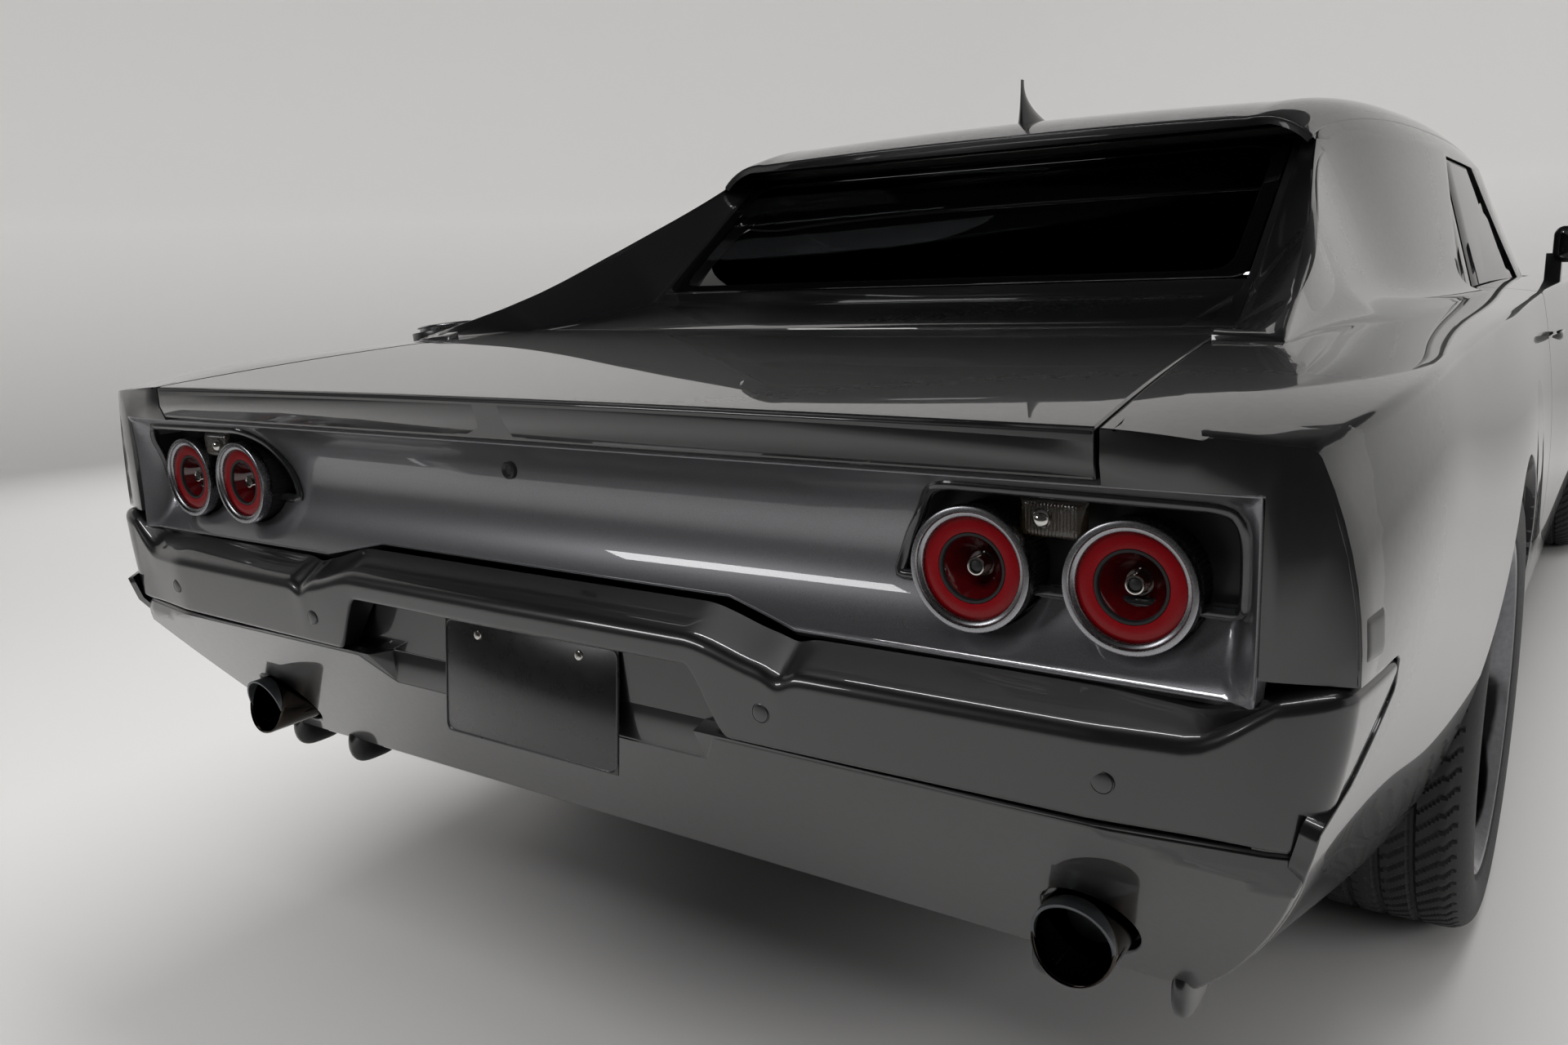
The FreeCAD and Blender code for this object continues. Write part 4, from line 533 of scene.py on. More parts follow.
class Shell:
    """Grids of points gathered into one piece."""

    def __init__(self) -> None:
        """Starts with nothing in it."""
        self.points: list[np.ndarray] = []
        self.normals: list[np.ndarray] = []
        self.faces: list[np.ndarray] = []
        self.slots: list[np.ndarray] = []
        self.count = 0

    def grid(self, p: np.ndarray, slot: int = 0, wrap_u: bool = False, wrap_v: bool = False) -> "Shell":
        """Adds a grid of quads.

        Args:
            p: points in millimetres, shape (n, m, 3).
            slot: material slot of its faces.
            wrap_u: joins the last row of points to the first.
            wrap_v: joins the last column of points to the first.

        Returns:
            The shell itself, so that calls can follow one another.
        """
        n, m, _ = p.shape
        index = np.arange(n * m).reshape(n, m) + self.count
        if wrap_u:
            index = np.concatenate([index, index[:1]], axis=0)
        if wrap_v:
            index = np.concatenate([index, index[:, :1]], axis=1)
        quads = quads_of(index)
        self.points.append(p.reshape(-1, 3))
        self.normals.append(np.zeros((n * m, 3)))
        self.faces.append(quads)
        self.slots.append(np.full(len(quads), slot))
        self.count += n * m
        return self

    def triangles(self, points: np.ndarray, normals: np.ndarray, faces: np.ndarray, slot: int = 0,
                  mirror: bool = False) -> None:
        """Adds loose faces whose normals are already known.

        Args:
            points: places in millimetres, shape (n, 3).
            normals: outward unit normals, one for each point.
            faces: point numbers, three or four to a face.
            slot: material slot.
            mirror: also adds the mirror image on the car's other side.
        """
        self.points.append(points)
        self.normals.append(normals)
        self.faces.append(faces + self.count)
        self.slots.append(np.full(len(faces), slot))
        self.count += len(points)
        if mirror:
            self.triangles(points * (1.0, -1.0, 1.0), normals * (1.0, -1.0, 1.0), faces[:, ::-1], slot)

    def patch(self, p: np.ndarray, up: float = 1.0, slot: int = 0, mirror: bool = False, lift: float = 0.0) -> None:
        """Adds a grid with normals worked out from the grid's own slopes.

        Args:
            p: points in millimetres, shape (n, m, 3).
            up: 1 where the first slope crossed with the second points outwards, -1 where it points inwards.
            slot: material slot.
            mirror: also adds the mirror image.
            lift: how far the grid is moved along its normals.
        """
        normal = unit(np.cross(np.gradient(p, axis=0), np.gradient(p, axis=1))) * up
        n, m, _ = p.shape
        quads = quads_of(np.arange(n * m).reshape(n, m))
        if up < 0:
            quads = quads[:, ::-1]
        self.triangles((p + lift * normal).reshape(-1, 3), normal.reshape(-1, 3), quads, slot, mirror)

    def reflect(self) -> None:
        """Turns everything gathered so far into its mirror image."""
        self.points = [p * (1.0, -1.0, 1.0) for p in self.points]
        self.normals = [n * (1.0, -1.0, 1.0) for n in self.normals]
        self.faces = [f[:, ::-1] for f in self.faces]

    def mesh(self, name: str) -> bpy.types.Mesh:
        """Writes the gathered points and faces to a mesh, in metres, with their material slots.

        Args:
            name: name of the mesh.

        Returns:
            The mesh.
        """
        mesh = bpy.data.meshes.new(name)
        faces = [face for block in self.faces for face in block.tolist()]
        mesh.from_pydata((np.concatenate(self.points) * MM).tolist(), [], faces)
        mesh.polygons.foreach_set("material_index", np.concatenate(self.slots).astype(np.int32))
        return mesh

    def build_smooth(self, name: str, finishes: Sequence[Finishes], body: str = BODY) -> bpy.types.Object:
        """Makes the object with the normals that came with its faces.

        Args:
            name: the piece's name.
            finishes: one finish for each material slot.
            body: the moving body that it rides on.

        Returns:
            The finished object.
        """
        mesh = self.mesh(name)
        mesh.shade_smooth()
        mesh.normals_split_custom_set_from_vertices(np.concatenate(self.normals).tolist())
        return dressed(mesh, finishes, body)

    def build(self, name: str, finishes: Sequence[Finishes], body: str = BODY, sharp: float = 35.0) -> bpy.types.Object:
        """Makes the object with its seams closed, its faces outwards and its crisp edges marked.

        Args:
            name: the piece's name.
            finishes: one finish for each material slot.
            body: the moving body that it rides on.
            sharp: edges steeper than this angle stay crisp.

        Returns:
            The finished object.
        """
        mesh = self.mesh(name)
        work = bmesh.new()
        work.from_mesh(mesh)
        bmesh.ops.remove_doubles(work, verts=work.verts[:], dist=WELD_MM * MM)
        bmesh.ops.dissolve_degenerate(work, edges=work.edges[:], dist=1e-6)
        bmesh.ops.recalc_face_normals(work, faces=work.faces[:])
        work.to_mesh(mesh)
        work.free()
        mesh.shade_smooth()
        mesh.set_sharp_from_angle(angle=math.radians(sharp))
        return dressed(mesh, finishes, body)


def dressed(mesh: bpy.types.Mesh, finishes: Sequence[Finishes], body: str) -> bpy.types.Object:
    """Gives a mesh its finishes, puts it in the scene as one piece and hangs it on its body.

    Args:
        mesh: the finished mesh, whose name the piece takes.
        finishes: one finish for each material slot.
        body: the moving body that it rides on.

    Returns:
        The piece.
    """
    for finish in finishes:
        mesh.materials.append(finish.value.material())
    piece = bpy.data.objects.new(mesh.name, mesh)
    bpy.context.scene.collection.objects.link(piece)
    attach(piece, body)
    LOG.info("%s: %d faces", piece.name, len(mesh.polygons))
    return piece


def revolve(profile: np.ndarray, centre: Sequence[float], axis: str, count: int = 96) -> np.ndarray:
    """Carries a profile round an axis.

    The point at (radius, offset) goes to centre + offset along the axis + radius at each angle.

    Args:
        profile: (radius, offset along the axis) points, shape (m, 2).
        centre: a point on the axis.
        axis: "x", "y" or "z".
        count: how many angles.

    Returns:
        Points of shape (count, m, 3), to be wrapped along their first index.
    """
    angle = np.linspace(0, FULL_TURN, count, endpoint=False)[:, None]
    radius, offset = profile[None, :, 0], profile[None, :, 1] + 0 * angle
    a, b = radius * np.cos(angle), radius * np.sin(angle)
    order = {"x": (offset, a, b), "y": (b, offset, a), "z": (a, b, offset)}[axis]
    return np.stack(order, axis=-1) + np.asarray(centre, float)


# ---------------------------------------------------------------- painted outer panels
class Edge(Enum):
    """How a panel ends along one stretch of its outline."""

    ROLLED = 1
    JOINED = 0


Surface = Callable[[np.ndarray, np.ndarray], np.ndarray]


def surface_normals(surface: Surface, u: np.ndarray, v: np.ndarray, flip: float) -> np.ndarray:
    """Unit normals of a surface: the cross product of its two slopes, taken over 1 mm each way.

    Args:
        surface: the surface as a function of two coordinates.
        u: first coordinates.
        v: second coordinates.
        flip: 1 where the first slope crossed with the second points outwards, else -1.

    Returns:
        One normal for each (u, v).
    """
    du = surface(u + 1.0, v) - surface(u - 1.0, v)
    dv = surface(u, v + 1.0) - surface(u, v - 1.0)
    return unit(np.cross(du, dv)) * flip


def inside(points: np.ndarray, loop: np.ndarray) -> np.ndarray:
    """Finds which points lie inside a closed loop, by counting the edges that a ray crosses.

    Args:
        points: shape (n, 2).
        loop: the loop's corners in turn, shape (m, 2).

    Returns:
        One flag for each point.
    """
    x, y = points[:, :1], points[:, 1:]
    ax, ay = loop[:, 0], loop[:, 1]
    bx, by = np.roll(ax, -1), np.roll(ay, -1)
    rise = np.where(by == ay, 1e-9, by - ay)
    crossing = ((ay > y) != (by > y)) & (x < ax + (y - ay) * (bx - ax) / rise)
    return crossing.sum(axis=1) % 2 == 1


def distance_to(points: np.ndarray, loop: np.ndarray) -> np.ndarray:
    """Shortest distance from each point to a closed loop.

    Args:
        points: shape (n, 2).
        loop: the loop's corners in turn, shape (m, 2).

    Returns:
        One distance for each point.
    """
    a, b = loop[None], np.roll(loop, -1, axis=0)[None]
    along = np.clip(((points[:, None] - a) * (b - a)).sum(-1) / np.maximum(((b - a) ** 2).sum(-1), 1e-9), 0, 1)
    return np.linalg.norm(points[:, None] - a - along[..., None] * (b - a), axis=-1).min(axis=1)


@dataclass
class Loop:
    """A closed outline in a surface's own two coordinates, made of stretches that end where the next begins.

    Attributes:
        stretches: each a list of corner points and how the panel ends along it.
        step: spacing of the points along it, in millimetres.
    """
    stretches: list[tuple[Sequence[tuple[float, float]], Edge]]
    step: float = 12.0

    def sampled(self, turn: float) -> tuple[np.ndarray, np.ndarray]:
        """Points round the loop, and for each whether the edge after it is rolled.

        Args:
            turn: 1 for anticlockwise, -1 for clockwise.

        Returns:
            Points, and flags.
        """
        points, rolled = [], []
        for corners, edge in self.stretches:
            corners = np.asarray(corners, float)
            for a, b in zip(corners[:-1], corners[1:]):
                count = max(int(np.hypot(*(b - a)) // self.step), 1)
                points.append(a + (b - a) * np.arange(count)[:, None] / count)
                rolled.append(np.full(count, bool(edge.value)))
        p, flags = np.concatenate(points), np.concatenate(rolled)
        area = (p[:, 0] * np.roll(p[:, 1], -1) - p[:, 1] * np.roll(p[:, 0], -1)).sum()
        return (p, flags) if area * turn > 0 else (p[::-1], np.roll(flags[::-1], -1))


def arc_points(cx: float, cy: float, radius: float, start: float, stop: float, count: int) -> list:
    """Points on a circle about (cx, cy) from one angle to another, in degrees."""
    angle = np.radians(np.linspace(start, stop, count))
    return [(cx + radius * math.cos(a), cy + radius * math.sin(a)) for a in angle]


@dataclass
class Skin:
    """Smooth painted skin of one panel, trimmed to its outline with rolled edges.

    Attributes:
        surface: the surface as a function of two coordinates.
        outline: outer loop, run so that the panel is on its left.
        holes: loops of the openings, run the other way round.
        flip: 1 where the first slope crossed with the second points outwards, else -1.
        radius: radius of the rolled edge.
        depth: depth of the flange behind it.
        lift: how far the skin stands off the form.
        spacing: grid spacing along the two coordinates.
        second_lines: places of the grid's lines across the second coordinate, where even spacing won't do.
        clear_of_edge: how near the loops the grid's points may come.
        corner_share: share of the radius kept where a rolled edge meets a joined one.
    """
    surface: Surface
    outline: Loop
    holes: tuple[Loop, ...] = ()
    flip: float = 1.0
    radius: float = 2.0
    depth: float = 14.0
    lift: float = 1.2
    spacing: tuple[float, float] = (22.0, 22.0)
    second_lines: Sequence[float] | None = None
    clear_of_edge: float = 5.0
    corner_share: float = 0.2

    def add_to(self, shell: Shell, slot: int = 0, mirror: bool = True) -> None:
        """Triangulates the trimmed grid and adds it, with its rolled edges, to a shell.

        Args:
            shell: where the panel goes.
            slot: material slot of its faces.
            mirror: also adds the mirror image on the other side.
        """
        rims = [self.drawn_in(loop) for loop in (self.outline, *self.holes)]
        loops = [inner for _, inner, _, _ in rims]
        flat, triangles = self.triangulated(loops)
        if self.flip < 0:
            triangles = triangles[:, ::-1]
        normal = surface_normals(self.surface, flat[:, 0], flat[:, 1], self.flip)
        shell.triangles(self.surface(flat[:, 0], flat[:, 1]) + normal * self.lift, normal, triangles, slot, mirror)
        for _, inner, rolled, kept in rims:
            self.rim(shell, inner, rolled, kept, slot, mirror)

    def drawn_in(self, loop: Loop) -> tuple[np.ndarray, np.ndarray, np.ndarray, np.ndarray]:
        """Draws a loop in by the rolled edge's radius.

        Args:
            loop: the outline or a hole.

        Returns:
            The loop, the loop drawn in, which edges are rolled, and which points lie between two rolled edges.
        """
        edge, rolled = loop.sampled(1.0 if loop is self.outline else -1.0)
        both = unit(edge - np.roll(edge, 1, 0)) + unit(np.roll(edge, -1, 0) - edge)
        left = unit(np.stack([-both[:, 1], both[:, 0]], axis=1))
        kept = rolled & np.roll(rolled, 1)
        return edge, edge + left * self.radius * kept[:, None], rolled, kept

    def triangulated(self, loops: list[np.ndarray]) -> tuple[np.ndarray, np.ndarray]:
        """Fills the panel with a grid joined to its loops by Delaunay triangles.

        Args:
            loops: the outline, then the holes, all drawn in.

        Returns:
            Points in the surface's coordinates, and triangles of point numbers.
        """
        def on_panel(points: np.ndarray) -> np.ndarray:
            """Which points lie in the outline and in none of the holes."""
            return inside(points, loops[0]) & ~np.logical_or.reduce([inside(points, hole) for hole in loops[1:]]
                                                                    + [np.zeros(len(points), bool)])

        low, high = loops[0].min(0), loops[0].max(0)
        u, v = (np.arange(low[k], high[k], self.spacing[k]) + self.spacing[k] / 2 for k in (0, 1))
        if self.second_lines is not None:
            v = np.asarray(self.second_lines, float)
        grid = np.stack(np.meshgrid(u, v, indexing="ij"), axis=-1).reshape(-1, 2)
        grid = grid[on_panel(grid)]
        grid = grid[np.minimum.reduce([distance_to(grid, loop) for loop in loops]) > self.clear_of_edge]
        edges, base = [], 0
        for loop in loops:
            edges += [(base + i, base + (i + 1) % len(loop)) for i in range(len(loop))]
            base += len(loop)
        made = delaunay_2d_cdt([Vector(p) for p in np.concatenate([*loops, grid])], edges, [], 0, 1e-4)
        flat = np.array([tuple(p) for p in made[0]])
        triangles = np.array([face for face in made[2] if len(face) == 3])
        return flat, triangles[on_panel(flat[triangles].mean(axis=1))]

    def rim(self, shell: Shell, inner: np.ndarray, rolled: np.ndarray, kept: np.ndarray, slot: int,
            mirror: bool) -> None:
        """Adds the quarter-round roll and the flange along one loop.

        Args:
            shell: where they go.
            inner: the loop, drawn in.
            rolled: which of its edges are rolled.
            kept: which of its points were drawn in by the full radius.
            slot: material slot.
            mirror: also adds the mirror image.
        """
        normal = surface_normals(self.surface, inner[:, 0], inner[:, 1], self.flip)
        start = self.surface(inner[:, 0], inner[:, 1]) + normal * self.lift
        run = np.roll(start, -1, 0) - np.roll(start, 1, 0)
        out = unit(np.cross(run, normal)) * self.flip
        turn = np.radians([0.0, 30.0, 60.0, 90.0, 90.0])[None, :, None]
        drop = np.array([0.0, 0.0, 0.0, 0.0, self.depth])[None, :, None]
        reach = self.radius * np.where(kept, 1.0, self.corner_share)[:, None, None]
        points = (start[:, None] + reach * np.sin(turn) * out[:, None]
                  - (reach * (1 - np.cos(turn)) + drop) * normal[:, None])
        normals = np.cos(turn) * normal[:, None] + np.sin(turn) * out[:, None]
        count, rows = len(inner), points.shape[1]
        first = np.arange(count)[rolled][:, None] * rows + np.arange(rows - 1)[None]
        second = (np.arange(count)[rolled][:, None] + 1) % count * rows + np.arange(rows - 1)[None]
        quads = np.stack([second, first, first + 1, second + 1], axis=-1).reshape(-1, 4)
        if self.flip < 0:
            quads = quads[:, ::-1]
        shell.triangles(points.reshape(-1, 3), normals.reshape(-1, 3), quads, slot, mirror)


@dataclass(frozen=True)
class SideForm:
    """The flank, its crease and the shoulder as one surface of x and w.

    w runs up the flank in step with height, is 0 at the crease, and then runs inboard over the shoulder, scaled
    so that it is shoulder_w where the glasshouse stands.  Within crease_reach of the crease the section is a
    parabola, (1-t)^2 of the flank + 2t(1-t) of the crease + t^2 of the shoulder.
    """

    crease_reach: float = 9.0
    shoulder_w: float = 150.0
    sail_tail_x: float = -2010.0
    glass_front_x: float = 700.0
    first_guess_y: float = 772.0

    def foot_y(self, x: np.ndarray) -> np.ndarray:
        """Half-width at which the glasshouse side meets the shoulder, by repeated substitution.

        Args:
            x: stations.

        Returns:
            Half-widths.
        """
        x = np.clip(x, self.sail_tail_x, self.glass_front_x)
        y = np.full_like(x, self.first_guess_y)
        for _ in range(3):
            y = FORM.house_y(x, FORM.deck_z(x, y))
        return y

    def shoulder_y(self, x: np.ndarray, w: np.ndarray) -> np.ndarray:
        """Half-width at coordinate w of the shoulder."""
        crease_y = FORM.lower(x)[4]
        return crease_y - w * (crease_y - self.foot_y(x)) / self.shoulder_w

    def w_of_y(self, x: float, y: float) -> float:
        """Coordinate w of a half-width on the shoulder.

        Args:
            x: station along the car.
            y: half-width.

        Returns:
            The coordinate.
        """
        at = np.array([float(x)])
        crease_y = FORM.lower(at)[4]
        return float((self.shoulder_w * (crease_y - y) / (crease_y - self.foot_y(at)))[0])

    def w_of_z(self, x: float, z: float) -> float:
        """Coordinate w of a height on the flank."""
        return float(z - FORM.lower(np.array([float(x)]))[5][0])

    def __call__(self, x: np.ndarray, w: np.ndarray) -> np.ndarray:
        """Points of the left side.

        Args:
            x: stations.
            w: coordinates up the flank and over the shoulder.

        Returns:
            Points, with the three coordinates last.
        """
        x, w = np.broadcast_arrays(np.asarray(x, float), np.asarray(w, float))
        lower = FORM.lower(x)
        crease_y, crease_z = lower[4], lower[5]
        reach = self.crease_reach
        flank_w, deck_w = np.minimum(w, -reach), np.maximum(w, reach)
        flank_z = crease_z + flank_w
        flank_y = FORM.side_y(x, flank_z)
        deck_y = self.shoulder_y(x, deck_w)
        deck_z = FORM.deck_z(x, deck_y)
        t = np.clip((w + reach) / (2 * reach), 0, 1)
        low, corner, high = (1 - t) ** 2, 2 * t * (1 - t), t ** 2
        round_y = low * flank_y + corner * crease_y + high * deck_y
        round_z = low * flank_z + corner * crease_z + high * deck_z
        y = np.where(w < -reach, flank_y, np.where(w > reach, deck_y, round_y))
        z = np.where(w < -reach, flank_z, np.where(w > reach, deck_z, round_z))
        return np.stack([x, y, z], axis=-1)


SIDE = SideForm()


def tail_x(y: np.ndarray) -> np.ndarray:
    """How far back the tail reaches at a half-width."""
    return np.interp(np.abs(y), (0.0, 400.0, 737.0, 880.0, 960.0), (-2535.0, -2532.5, -2526.0, -2507.0, -2484.0))


@dataclass(frozen=True)
class PanelLines:
    """Where the painted panels meet, in the form's own coordinates."""
    gap: float = 5.0
    door_rear_x: float = -400.0
    door_front_x: float = 800.0
    sill_top_z: float = 262.0
    rear_axle_x: float = -1345.0
    front_axle_x: float = 1605.0
    arch_r: float = 392.0
    arch_z: float = 368.0
    hood_rear_x: float = 1040.0
    hood_front_x: float = 2440.0
    hood_rear_half_w: float = 700.0
    hood_front_half_w: float = 630.0
    lid_front_x: float = -1827.0
    lid_front_half_w: float = 656.0
    lid_rear_half_w: float = 737.0
    lid_rear_x: float = -2535.0
    lip_foot_x: float = -2520.0
    lip_foot_z: float = 904.0
    lip_height: float = 43.0
    nose_x: float = 2380.0
    flank_top_w: float = 80.0
    belt_w: float = 142.0
    sill_margin: float = 1.5

    def lid_half_w(self, x: np.ndarray) -> np.ndarray:
        """Half-width of the lid's opening along the car."""
        share = (x - self.lid_front_x) / (self.lid_rear_x - self.lid_front_x)
        return self.lid_front_half_w + (self.lid_rear_half_w - self.lid_front_half_w) * share

    def hood_half_w(self, x: np.ndarray) -> np.ndarray:
        """Half-width of the hood's opening along the car."""
        return np.interp(x, (self.hood_rear_x, self.hood_front_x), (self.hood_rear_half_w, self.hood_front_half_w))

    def sill_w(self, x: float) -> float:
        """Coordinate w of the sill's lower edge."""
        lower = FORM.lower(np.array([float(x)]))
        return float(lower[1][0] + FORM.sill_chamfer - lower[5][0]) + self.sill_margin

    def arch(self, axle_x: float, backwards: bool) -> list[tuple[float, float]]:
        """Runs round a wheel opening from one foot to the other.

        Args:
            axle_x: station of the axle.
            backwards: runs from front to rear.

        Returns:
            Points (x, w) of the opening.
        """
        rear, front = axle_x - self.arch_r, axle_x + self.arch_r
        points = [(rear, self.arch_z), *arc_points(axle_x, self.arch_z, self.arch_r, 180, 0, 40), (front, self.arch_z)]
        line = [(rear, self.sill_w(rear)), *[(x, SIDE.w_of_z(x, z)) for x, z in points], (front, self.sill_w(front))]
        return line[::-1] if backwards else line

    def sill(self, start: float, stop: float, count: int = 12) -> list[tuple[float, float]]:
        """Points along the sill's lower edge."""
        return [(x, self.sill_w(x)) for x in np.linspace(start, stop, count)]


LINES = PanelLines()


@dataclass(frozen=True)
class PaintedPanels:
    """The painted outer skins of the body, doors, hood and boot lid.

    Attributes:
        flange: depth of the flange behind a shut line.
        lift: how far a skin stands off its panel, and the same for the lid and the hood.
        rail_reach: how far from its corners the roof rail's rounding starts.
        crest_reach: the same for the sail panel's crest.
        foot_reach: the same for the foot of its inner wall.
        root_reach: the same for the hollow at the foot of the glasshouse, where it is full.
        roof_share: where the side columns end on the roof's curve.
        window_foot_z: height at which the rear window starts to lean forward.
        window_rise: height over which it leans.
        window_lean: how far it leans.
        roof_ends_x: rear and front end of the roof skin.
        corner: size of a door's rounded lower corners.
        fender_top_x: where a front fender's top edge leaves the hood.
        quarter_top_x: where a quarter's top edge drops from the sail panel to the belt.
        quarter_foot_x: where its sill ends behind the rear wheel.
        wrap_seam: its rear edge behind the sill, up the bumper's wrapped end, as (x, z).
    """

    flange: float = 14.0
    lift: float = 1.2
    lid_lift: float = 1.0
    hood_lift: float = 1.8
    rail_reach: float = 15.0
    crest_reach: float = 10.0
    foot_reach: float = 14.0
    root_reach: float = 66.0
    roof_share: float = 0.1
    window_foot_z: float = 1012.0
    window_rise: float = 256.0
    window_lean: float = 208.0
    roof_ends_x: tuple[float, float] = (-1248.0, 268.0)
    corner: float = 12.0
    fender_top_x: float = 985.0
    quarter_top_x: float = -600.0
    quarter_foot_x: float = -2318.0
    wrap_seam: tuple = ((-2400, 434), (-2460, 518), (-2513, 592), (-2521, 629), (-2465, 652), (-2388, 714),
                        (-2386, 720), (-2386, 741), (-2391, 746))
    side_lines: ClassVar[tuple[float, ...]] = (
        *np.arange(-740.0, -24.0, 24.0), -16.0, -9.0, -6.0, -3.0, 0.0, 3.0, 6.0, 9.0, 16.0,
        *np.arange(30.0, 160.0, 22.0))

    def doors(self) -> None:
        """Door skins, from the sill over the crease to the window seal."""
        rear, front = LINES.door_rear_x + LINES.gap / 2, LINES.door_front_x - LINES.gap / 2
        cut, mid = self.corner, self.corner / 3
        foot = [(x, SIDE.w_of_z(x, LINES.sill_top_z + LINES.gap / 2))
                for x in np.linspace(rear + cut, front - cut, 14)]
        corners = [*foot, (front - mid, foot[-1][1] + mid), (front, foot[-1][1] + cut)]
        right = [(front, foot[-1][1] + cut), (front, LINES.belt_w)]
        top = [(front, LINES.belt_w), (rear, LINES.belt_w)]
        left = [(rear, LINES.belt_w), (rear, foot[0][1] + cut), (rear + mid, foot[0][1] + mid), foot[0]]
        outline = Loop([(corners, Edge.ROLLED), (right, Edge.ROLLED), (top, Edge.ROLLED), (left, Edge.ROLLED)])
        for side, body in ((1, "door_left"), (-1, "door_right")):
            shell = Shell()
            Skin(SIDE, outline, flip=-1.0, second_lines=self.side_lines).add_to(shell, mirror=False)
            if side < 0:
                shell.reflect()
            piece = shell.build_smooth(f"{body}_skin", (Finishes.GLOSS_BLACK,), body)

    def fenders(self) -> None:
        """Front fender skins with their wheel openings."""
        start, stop = LINES.door_front_x + LINES.gap / 2, LINES.nose_x - 2.0
        rear_arch, front_arch = LINES.front_axle_x - LINES.arch_r, LINES.front_axle_x + LINES.arch_r
        hood = [(x, SIDE.w_of_y(x, LINES.hood_half_w(x) + LINES.gap / 2))
                for x in np.linspace(stop, LINES.hood_rear_x + LINES.gap, 16)]
        outline = Loop([
            (LINES.sill(start, rear_arch, 8), Edge.ROLLED),
            (LINES.arch(LINES.front_axle_x, False), Edge.ROLLED),
            (LINES.sill(front_arch, stop, 8), Edge.ROLLED),
            ([(stop, LINES.sill_w(stop)), (stop, hood[0][1])], Edge.ROLLED),
            (hood, Edge.ROLLED),
            ([hood[-1], (self.fender_top_x, LINES.belt_w), (start, LINES.belt_w), (start, LINES.sill_w(start))],
             Edge.ROLLED),
        ])
        shell = Shell()
        lines = (*self.side_lines, *np.arange(168.0, 300.0, 22.0))
        Skin(SIDE, outline, flip=-1.0, second_lines=lines).add_to(shell)
        shell.build_smooth("front_fender_skins", (Finishes.GLOSS_BLACK,))

    def quarters(self) -> Shell:
        """Rear quarter flanks, up to a little above the crease, where the sail panel's skin takes over.

        Returns:
            A shell that holds both flanks.
        """
        start = LINES.door_rear_x - LINES.gap / 2
        front_arch, rear_arch = LINES.rear_axle_x + LINES.arch_r, LINES.rear_axle_x - LINES.arch_r
        foot_x, front_x, top = self.quarter_foot_x, self.quarter_top_x, LINES.flank_top_w
        end_x = np.array([-2500.0])
        seam = ((foot_x, FORM.lower(np.array([foot_x]))[1][0] + 58), *self.wrap_seam)
        wrap = [(x, SIDE.w_of_z(x, z)) for x, z in seam]
        tail = [(float(tail_x(FORM.side_y(end_x, np.array([z]))[0])), SIDE.w_of_z(end_x[0], z))
                for z in (746.0, 800.0, 850.0, 900.0, 925.0)]
        tail += [(float(tail_x(SIDE.shoulder_y(end_x, np.array([w]))[0])), w) for w in (0.0, 40.0, top)]
        outline = Loop([
            (LINES.sill(start, front_arch, 8), Edge.ROLLED),
            (LINES.arch(LINES.rear_axle_x, True), Edge.ROLLED),
            (LINES.sill(rear_arch, foot_x, 8), Edge.ROLLED),
            (wrap, Edge.ROLLED), ([wrap[-1], *tail], Edge.ROLLED),
            ([tail[-1], (front_x, top), (front_x, LINES.belt_w)], Edge.JOINED),
            ([(front_x, LINES.belt_w), (start, LINES.belt_w), (start, LINES.sill_w(start))], Edge.ROLLED),
        ])
        shell = Shell()
        Skin(SIDE, outline, flip=-1.0, second_lines=self.side_lines).add_to(shell)
        return shell

    def sail(self, shell: Shell) -> None:
        """Sail panels: shoulder, hollow root, side, rounded rail and crest, and the wall beside the rear window.

        Each column is a line of corners, every one rounded by a parabola that leaves its sides at the given reach.

        Args:
            shell: the shell that takes both panels.
        """
        x = np.concatenate([np.linspace(-2526.0, SIDE.sail_tail_x, 14), np.linspace(-1990.0, -1245.0, 34)])
        _, rail_y, rail_z, _ = FORM.roof(x)
        foot_y, foot_z, crest_y, crest_z = FORM.tunnel(x)
        crest_y, crest_z = np.minimum(crest_y, rail_y - 8.0), np.minimum(crest_z, rail_z + 2.0)
        on_deck, beside_lid = x <= SIDE.sail_tail_x, x < LINES.lid_front_x
        edge_y = np.where(beside_lid, LINES.lid_half_w(x) + LINES.gap / 2, foot_y - 4.0)
        foot_y = np.where(beside_lid, np.maximum(foot_y, edge_y + 12.0), foot_y)
        foot_y = np.where(on_deck, edge_y + 12.0, foot_y)
        root_y = SIDE.foot_y(x)
        corner_y = [root_y, np.where(on_deck, 762.0, rail_y), np.where(on_deck, 750.0, crest_y), foot_y, edge_y]
        corner_z = [FORM.deck_z(x, root_y), rail_z, crest_z, foot_z, foot_z]
        for k, flat in ((1, on_deck), (2, on_deck), (3, beside_lid), (4, beside_lid)):
            corner_z[k] = np.where(flat, FORM.deck_z(x, corner_y[k]), corner_z[k])
        root = 6.0 + 60.0 * smooth_step(x, SIDE.sail_tail_x, SIDE.sail_tail_x + 410.0)
        reaches = [root, *(np.full_like(x, reach) for reach in (self.rail_reach, self.crest_reach, self.foot_reach))]
        columns = self.columns(x, corner_y, corner_z, reaches)
        shell.patch(with_rims(columns, 2.0, self.flange, "V", up=-1.0), up=-1.0, mirror=True, lift=self.lift)

        share = np.linspace(0.0, 1.0, 26)
        x = -1245.0 + 645.0 * share
        lean = self.window_lean * np.clip((self.side_columns(x)[..., 2] - self.window_foot_z) / self.window_rise, 0, 1)
        moved = x[:, None] + share[:, None] * lean
        rows = [self.side_columns(moved[:, row])[:, row] for row in range(moved.shape[1])]
        shell.patch(np.stack(rows, axis=1), up=-1.0, mirror=True, lift=self.lift)

